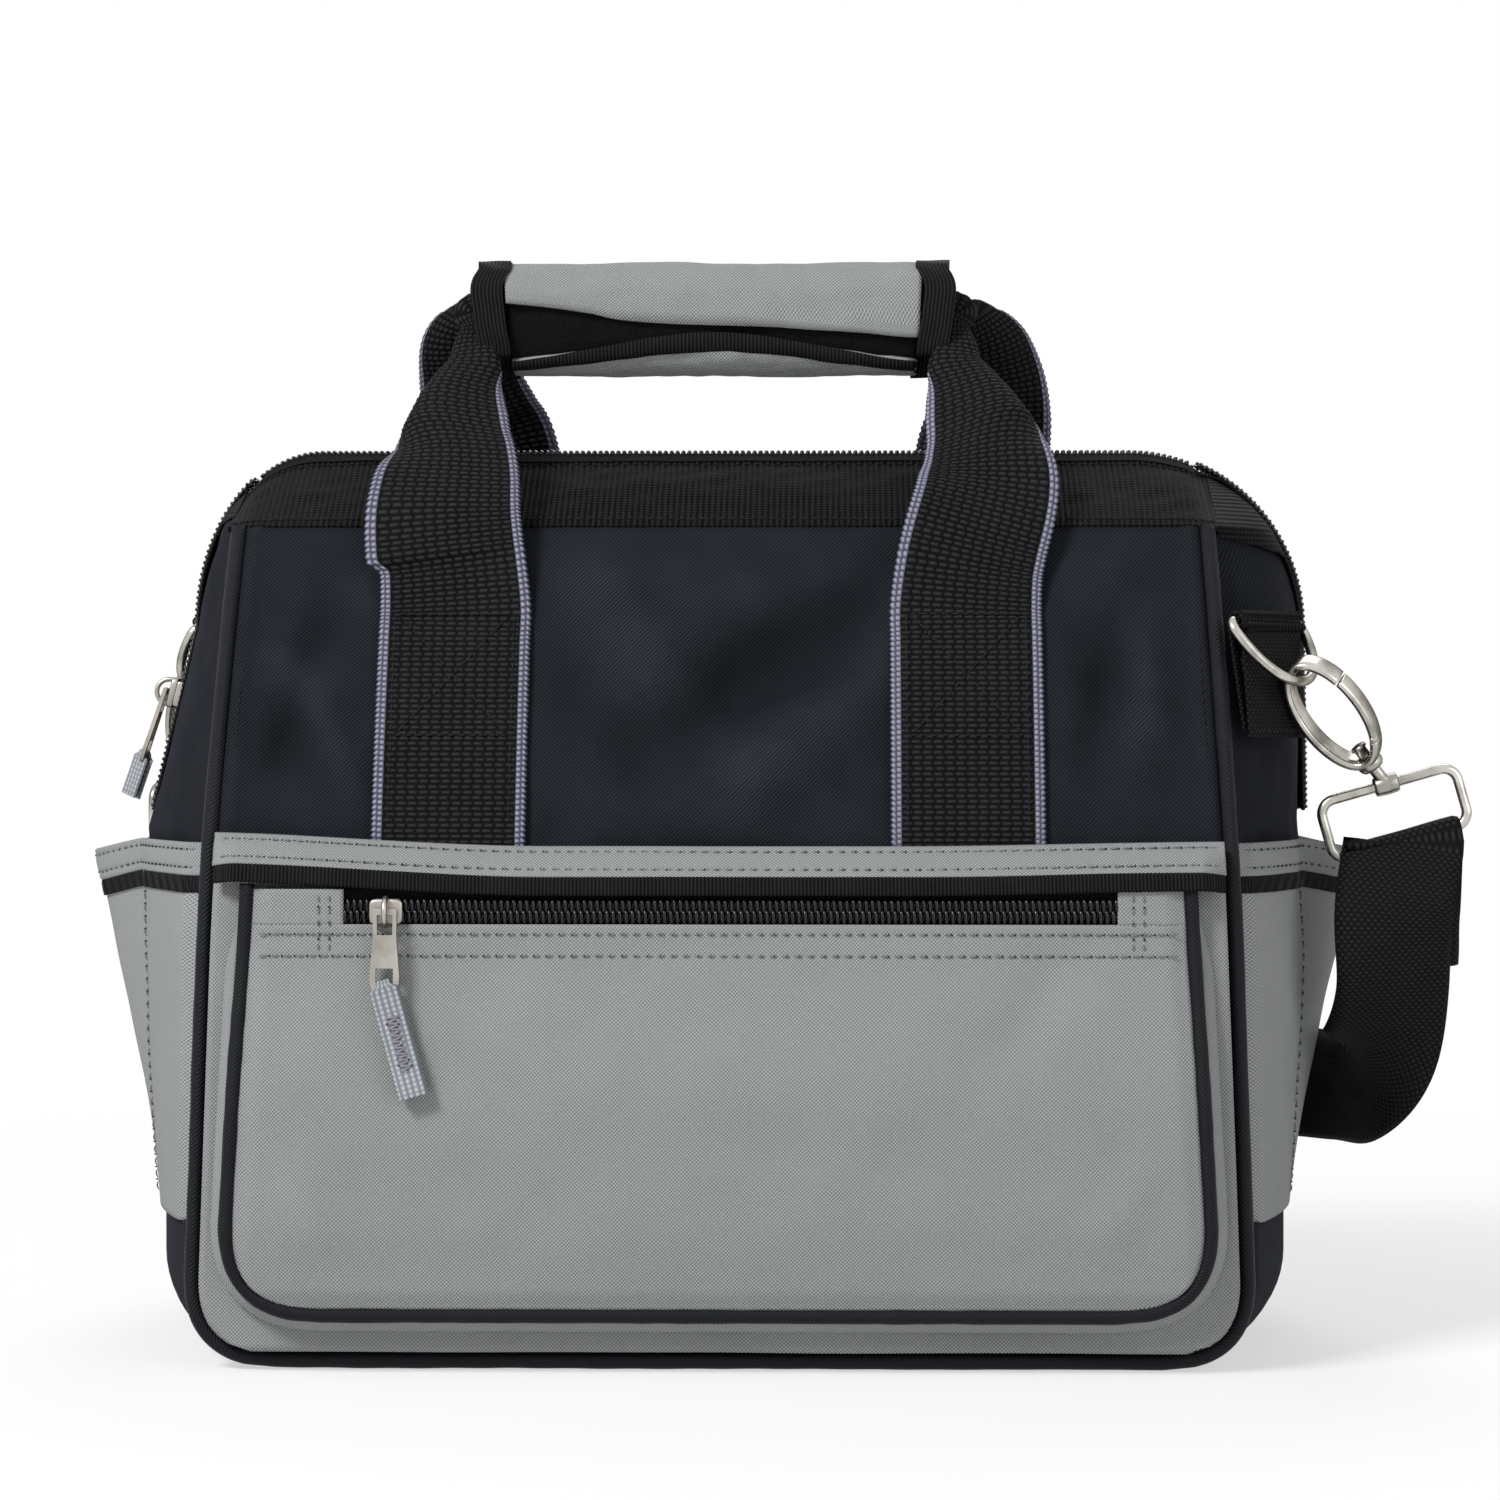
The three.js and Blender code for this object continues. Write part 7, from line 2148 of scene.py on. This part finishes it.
    def hook_path(self, start: float, end: float, count: int) -> Tuple[Array, Array]:
        """Middle line of the hook's oval band between two angles, with the way out of the oval."""
        angle = np.linspace(start, end, count)[:, None]
        down, across = self.down, self.across
        a = self.hook_half[0] - self.band / 2.0
        b = self.hook_half[1] - self.band / 2.0
        line = self.wire + (self.hook_centre + a * np.cos(angle)) * down + b * np.sin(angle) * across
        out = unit(np.cos(angle) / a * down + np.sin(angle) / b * across)
        return line, out

    def band_piece(self, name: str, start: float, end: float, width: float, swell: float) -> bpy.types.Object:
        """Part of the band: an oval section carried along the oval, thicker by swell in the part's middle."""
        line, out = self.hook_path(start, end, 90)
        axis = np.cross(self.down, self.across)
        turn = np.arange(28) * TAU / 28.0
        share = np.linspace(-1.0, 1.0, 90)
        thick = (self.band / 2.0 - 0.05) * (1.0 + swell * (1.0 - share**2))
        wide = (width / 2.0) * bent(np.cos(turn), 0.55)
        tall = bent(np.sin(turn), 0.7)
        grid = (
            line[:, None] + wide[None, :, None] * axis
            + (thick[:, None] * tall[None, :])[..., None] * out[:, None]
        )
        return rod(name, grid)

    def oval_angle(self, along: float) -> float:
        """Angle on the oval at a distance down the hook, on the gate's side."""
        a = self.hook_half[0] - self.band / 2.0
        return math.acos(max(-1.0, min(1.0, (along - self.hook_centre) / a)))

    def hook(self) -> None:
        """Hook band with its collar, and the sprung gate on its pin that closes the oval."""
        word, down = self.side.word, self.down
        top, low = self.oval_angle(self.gate[0]), self.oval_angle(self.gate[1])
        body = self.band_piece(f"{word}_hook_band", top, low + TAU, self.band_width, 0.12)
        end = self.hook_centre + self.hook_half[0]
        collar = turned(
            f"{word}_collar", self.wire + (end - 2.2) * down, down,
            [(0.0, 2.5), (0.4, 4.3), (1.8, 4.6), (3.0, 4.2), (3.8, 3.6), (4.0, 2.4)],
        )
        join(f"{word}_hook_metal", [body, collar])
        dress(body, "nickel", f"{word}_hook", f"{word}_hook")
        gate = self.band_piece(f"{word}_gate_metal", low + 0.012, top - 0.05, self.band_width - 0.7, 0.05)
        dress(gate, "nickel", f"{word}_hook_gate", f"{word}_hook_gate")
        pivot_line, _ = self.hook_path(low + 0.05, low + 0.06, 2)
        axis = np.cross(down, self.across)
        pin = turned(
            f"{word}_gate_pin", pivot_line[0] - (self.band_width / 2.0 + 0.15) * axis, axis,
            [(0.0, 0.6), (0.15, 0.95), (self.band_width + 0.15, 0.95), (self.band_width + 0.3, 0.6)], 20,
        )
        dress(pin, "satin", f"{word}_hook_gate")

    def loop(self) -> None:
        """Swivel post and knuckle with the round wire loop of the strap."""
        word, down = self.side.word, self.down
        b, drop = self.loop_across, self.drop
        knuckle = self.wire + self.swivel * down
        head_at = self.hook_centre + self.hook_half[0] - self.band - 1.5 * self.band
        end = self.swivel - head_at
        post = turned(
            f"{word}_post", self.wire + head_at * down, down,
            [(0.0, 1.6), (0.3, 2.6), (1.2, 2.8), (1.6, 2.1), (end - 3.0, 2.1), (end - 2.0, 2.9), (end, 2.6)],
        )
        barrel = turned(
            f"{word}_barrel", knuckle - 4.2 * b, b,
            [(0.0, 2.2), (0.3, 3.0), (1.0, 3.3), (4.2, 3.45), (7.4, 3.3), (8.1, 3.0), (8.4, 2.2)],
        )
        angle = np.linspace(0.0, math.pi / 2.0, 12)
        x, z, r = self.loop_half - self.loop_corner, self.loop_drop - self.loop_corner, self.loop_corner
        corners = [(x, r, -math.pi / 2.0), (x, z, 0.0), (-x, z, math.pi / 2.0), (-x, r, math.pi)]
        bends = [(cx + r * np.cos(angle + a), cz + r * np.sin(angle + a)) for cx, cz, a in corners]
        flat = np.vstack([np.stack(bend, axis=1) for bend in bends])
        path = knuckle + flat[:, :1] * b + flat[:, 1:] * drop
        wire = tube(f"{word}_loop_wire", even_steps(path, 220, True), self.loop_wire, 16, True)
        join(f"{word}_loop_metal", [post, barrel, wire])
        dress(post, "nickel", f"{word}_strap_end", f"{word}_strap_loop")

    def turn(self, facing: float) -> Array:
        """The strap's turn over the loop's lower bar, from its carrying layer to the one behind."""
        b, drop = self.loop_across, self.drop
        centre = self.wire + self.swivel * self.down + self.loop_drop * drop
        out = np.cross(b, drop) * facing
        angle = np.linspace(0.0, math.pi, 13)[:, None]
        return centre + 3.2 * (np.cos(angle) * out - np.sin(angle) * drop)

    def build(self) -> None:
        """Makes tab, ring, hook and loop."""
        self.tab()
        self.d_ring()
        self.hook()
        self.loop()


@dataclass
class ShoulderStrap:
    """Flat webbing from the right loop round the back of the bag to the left one."""

    right: Hanger
    left: Hanger
    width: float = 40.0
    thickness: float = 1.5
    station: float = 0.85
    loop_height: float = 0.166
    route: List[Tuple[float, ...]] = field(
        default_factory=lambda: [
            (224, -61.5, 147, 0.97, 0.05, 0.2), (224, -58, 122, 0.92, 0.3, -0.2),
            (221.5, -40, 99, 0.65, 0.35, -0.66), (218, -9, 85, 0.3, 0.1, -0.95),
            (212, 30, 82, 0.12, 0.05, -0.99), (197, 72, 79, 0, 0, -1), (172, 112, 69, 0, 0, -1),
            (135, 145, 52, 0, 0, -1), (85, 168, 34, 0, 0, -1), (0, 178, 24, 0, 0, -1),
            (-85, 170, 30, 0, 0, -1), (-140, 150, 52, 0, -0.1, -0.99), (-178, 123.5, 86, -0.15, -0.35, -0.92),
            (-196, 102.5, 122, -0.3, -0.75, -0.6), (-199, 88.3, 147.5, -0.3, -0.95, -0.1),
        ]
    )
    tail: List[Tuple[float, ...]] = field(
        default_factory=lambda: [(227, -55.5, 147, 0.97, 0.05, 0.2), (228.5, -52, 127, 0.92, 0.3, -0.2)]
    )

    def webbing(
        self, name: str, rows: Array, node: Sequence[str], side: Side, low: float
    ) -> bpy.types.Object:
        """Webbing along rows of (point, direction across).

        Args:
            name: piece name.
            rows: stations along the webbing.
            node: solids that it stands for.
            side: not used.
            low: not used.

        Returns:
            The object.
        """
        line = even_steps(rows, max(int(path_length(rows) / self.station), 40))
        profile = flat_profile(self.width / 2.0, 49, len(line))
        piece = strip(name, line[:, :3], line[:, 3:], profile, self.thickness, Weave.CHECKER, (0.25, 0.25))
        dress(piece, "webbing", None, *node)
        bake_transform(piece)
        return piece

    def build(self) -> None:
        """Makes the strap in two lengths that meet behind the bag, and adds the doubled end."""
        right_turn, left_turn = self.right.turn(-1.0), self.left.turn(1.0)
        b_right, b_left = self.right.loop_across, -self.left.loop_across
        start = np.concatenate([right_turn[0], b_right])
        end = np.concatenate([left_turn[0], b_left])
        middle = even_steps(smooth_path(np.vstack([start, np.asarray(self.route, float), end]), 700), 520)
        first = np.hstack([right_turn[1:-2][::-1], np.tile(b_right, (10, 1))])
        last = np.hstack([left_turn[1:-2], np.tile(b_left, (10, 1))])
        rows = np.vstack([first, middle, last])
        split = int(np.argmin(np.abs(rows[:, 0]) + (rows[:, 1] < 0.0) * 1000.0))
        near, far = rows[: split + 2], rows[split:]
        tail_start = np.concatenate([right_turn[-1] + 1.8 * self.right.drop, b_right])
        tail_rows = smooth_path(np.vstack([tail_start, np.asarray(self.tail, float)]), 70)
        tail = self.webbing("strap_return_webbing", tail_rows, ["strap_return"], Side.RIGHT, 0.1)
        right = self.webbing("strap_webbing_right", near, ["shoulder_strap"], Side.RIGHT, 0.1)
        left = self.webbing("strap_webbing_left", far, [], Side.LEFT, 0.08)
        tuple(right_turn[0] * MM)
        self.width * MM
        self.width * MM
        LOG.info("strap between its loops: %.3f m", path_length(rows) * MM)


@dataclass
class Studio:
    """Camera at the photo's angle, pale floor, soft lamps and white surroundings."""

    target: Tuple[float, float, float] = (0.0085, 0.0, 0.201)
    distance: float = 1.4
    azimuth: float = 1.08
    elevation: float = 0.64
    frame_width: float = 0.5233
    sensor: float = 36.0
    floor_half: float = 6000.0
    floor_z: float = -0.4
    surroundings: float = 0.33
    lamps: Tuple[Tuple[str, Tuple[float, float, float], float, float], ...] = (
        ("key", (-1.35, -1.45, 1.9), 0.7, 63.0),
        ("fill", (1.5, -1.3, 0.8), 1.4, 9.0),
        ("back", (0.3, 1.3, 1.6), 1.2, 14.0),
    )

    def camera(self) -> None:
        """Places the camera level with the middle of the frame."""
        turn, tilt = math.radians(self.azimuth), math.radians(self.elevation)
        lens = bpy.data.cameras.new("camera")
        lens.sensor_width = self.sensor
        lens.lens = self.sensor * self.distance / self.frame_width
        made = bpy.data.objects.new("camera", lens)
        made.location = (
            self.target[0] + self.distance * math.sin(turn) * math.cos(tilt),
            self.target[1] - self.distance * math.cos(turn) * math.cos(tilt),
            self.target[2] + self.distance * math.sin(tilt),
        )
        made.rotation_euler = (math.pi / 2.0 - tilt, 0.0, turn)
        bpy.context.scene.collection.objects.link(made)
        bpy.context.scene.camera = made

    def floor(self) -> None:
        """Pale floor: paper that takes the shadow near the bag and shows plain white further off."""
        steps = np.linspace(-self.floor_half, self.floor_half, 5)
        x, y = np.meshgrid(steps, steps)
        made = surface("floor", np.stack([x, y, np.full_like(x, self.floor_z)], axis=-1))
        graph = Graph(bpy.data.materials.new("floor_paper"))
        where = graph.node("ShaderNodeTexCoord", None, None, "Object")
        far = graph.node("ShaderNodeVectorMath", {"operation": "LENGTH"}, {0: where}, 1)
        share = graph.seen() * (far.clamp(0.3, 0.9) * 0.42 + 0.58)
        paper = graph.node("ShaderNodeBsdfDiffuse", None, {0: (0.88, 0.88, 0.88, 1.0)})
        white = graph.node("ShaderNodeEmission", None, {0: (1.0, 1.0, 1.0, 1.0), 1: 1.0})
        mixed = graph.node("ShaderNodeMixShader", None, {0: share, 1: paper, 2: white})
        graph.node("ShaderNodeOutputMaterial", None, {0: mixed})
        made.data.materials.append(graph.owner)

    def lamp(self, name: str, place: Tuple[float, float, float], size: float, power: float) -> None:
        """A square soft lamp that faces the middle of the bag."""
        light = bpy.data.lights.new(name, "AREA")
        light.size = size
        light.energy = power
        made = bpy.data.objects.new(name, light)
        made.location = place
        aim = np.asarray(self.target) - np.asarray(place)
        made.rotation_euler = (
            math.atan2(math.hypot(aim[0], aim[1]), -aim[2]), 0.0, math.atan2(aim[1], aim[0]) - math.pi / 2.0,
        )
        bpy.context.scene.collection.objects.link(made)

    def world(self) -> None:
        """White to the camera and in reflections, a lower even light on everything else."""
        scene = bpy.context.scene
        scene.view_settings.view_transform = "Standard"
        graph = Graph(bpy.data.worlds.new("surroundings"))
        scene.world = graph.owner
        strength = graph.node("ShaderNodeMapRange", None, {0: graph.seen(), 3: self.surroundings, 4: 1.0})
        sky = graph.node("ShaderNodeBackground", None, {0: (1.0, 1.0, 1.0, 1.0), 1: strength})
        graph.node("ShaderNodeOutputWorld", None, {0: sky})

    def build(self) -> None:
        """Makes floor, lamps and surroundings."""
        self.floor()
        for lamp in self.lamps:
            self.lamp(*lamp)
        self.world()


RIGHT_HANGER = Hanger(
    Side.RIGHT, 12.7654, np.array([0.961335, 0.0, 0.275382]), np.array([0.275382, 0.0, -0.961335])
)
LEFT_HANGER = Hanger(Side.LEFT, 13.7461, np.array([0.301131, 0.953583, 0.0]), -UP)


def main() -> None:
    """Builds camera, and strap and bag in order."""
    logging.basicConfig(level=logging.INFO, format="%(name)s %(message)s")
    studio = Studio()
    studio.camera()
    ShoulderStrap(RIGHT_HANGER, LEFT_HANGER).build()
    Body().build()
    FrontPocket().build()
    for side in Side:
        SidePocket(side).build()
    Mouth().build()
    for face in Face:
        Handle(face).build()
    Grip().build()
    ZipPull("front", False, 36.0, 16.0).build()
    ZipPull("main", True, 14.0, 0.0, 40.0).build()
    RIGHT_HANGER.build()
    LEFT_HANGER.build()
    studio.build()


if __name__ == "__main__":
    main()
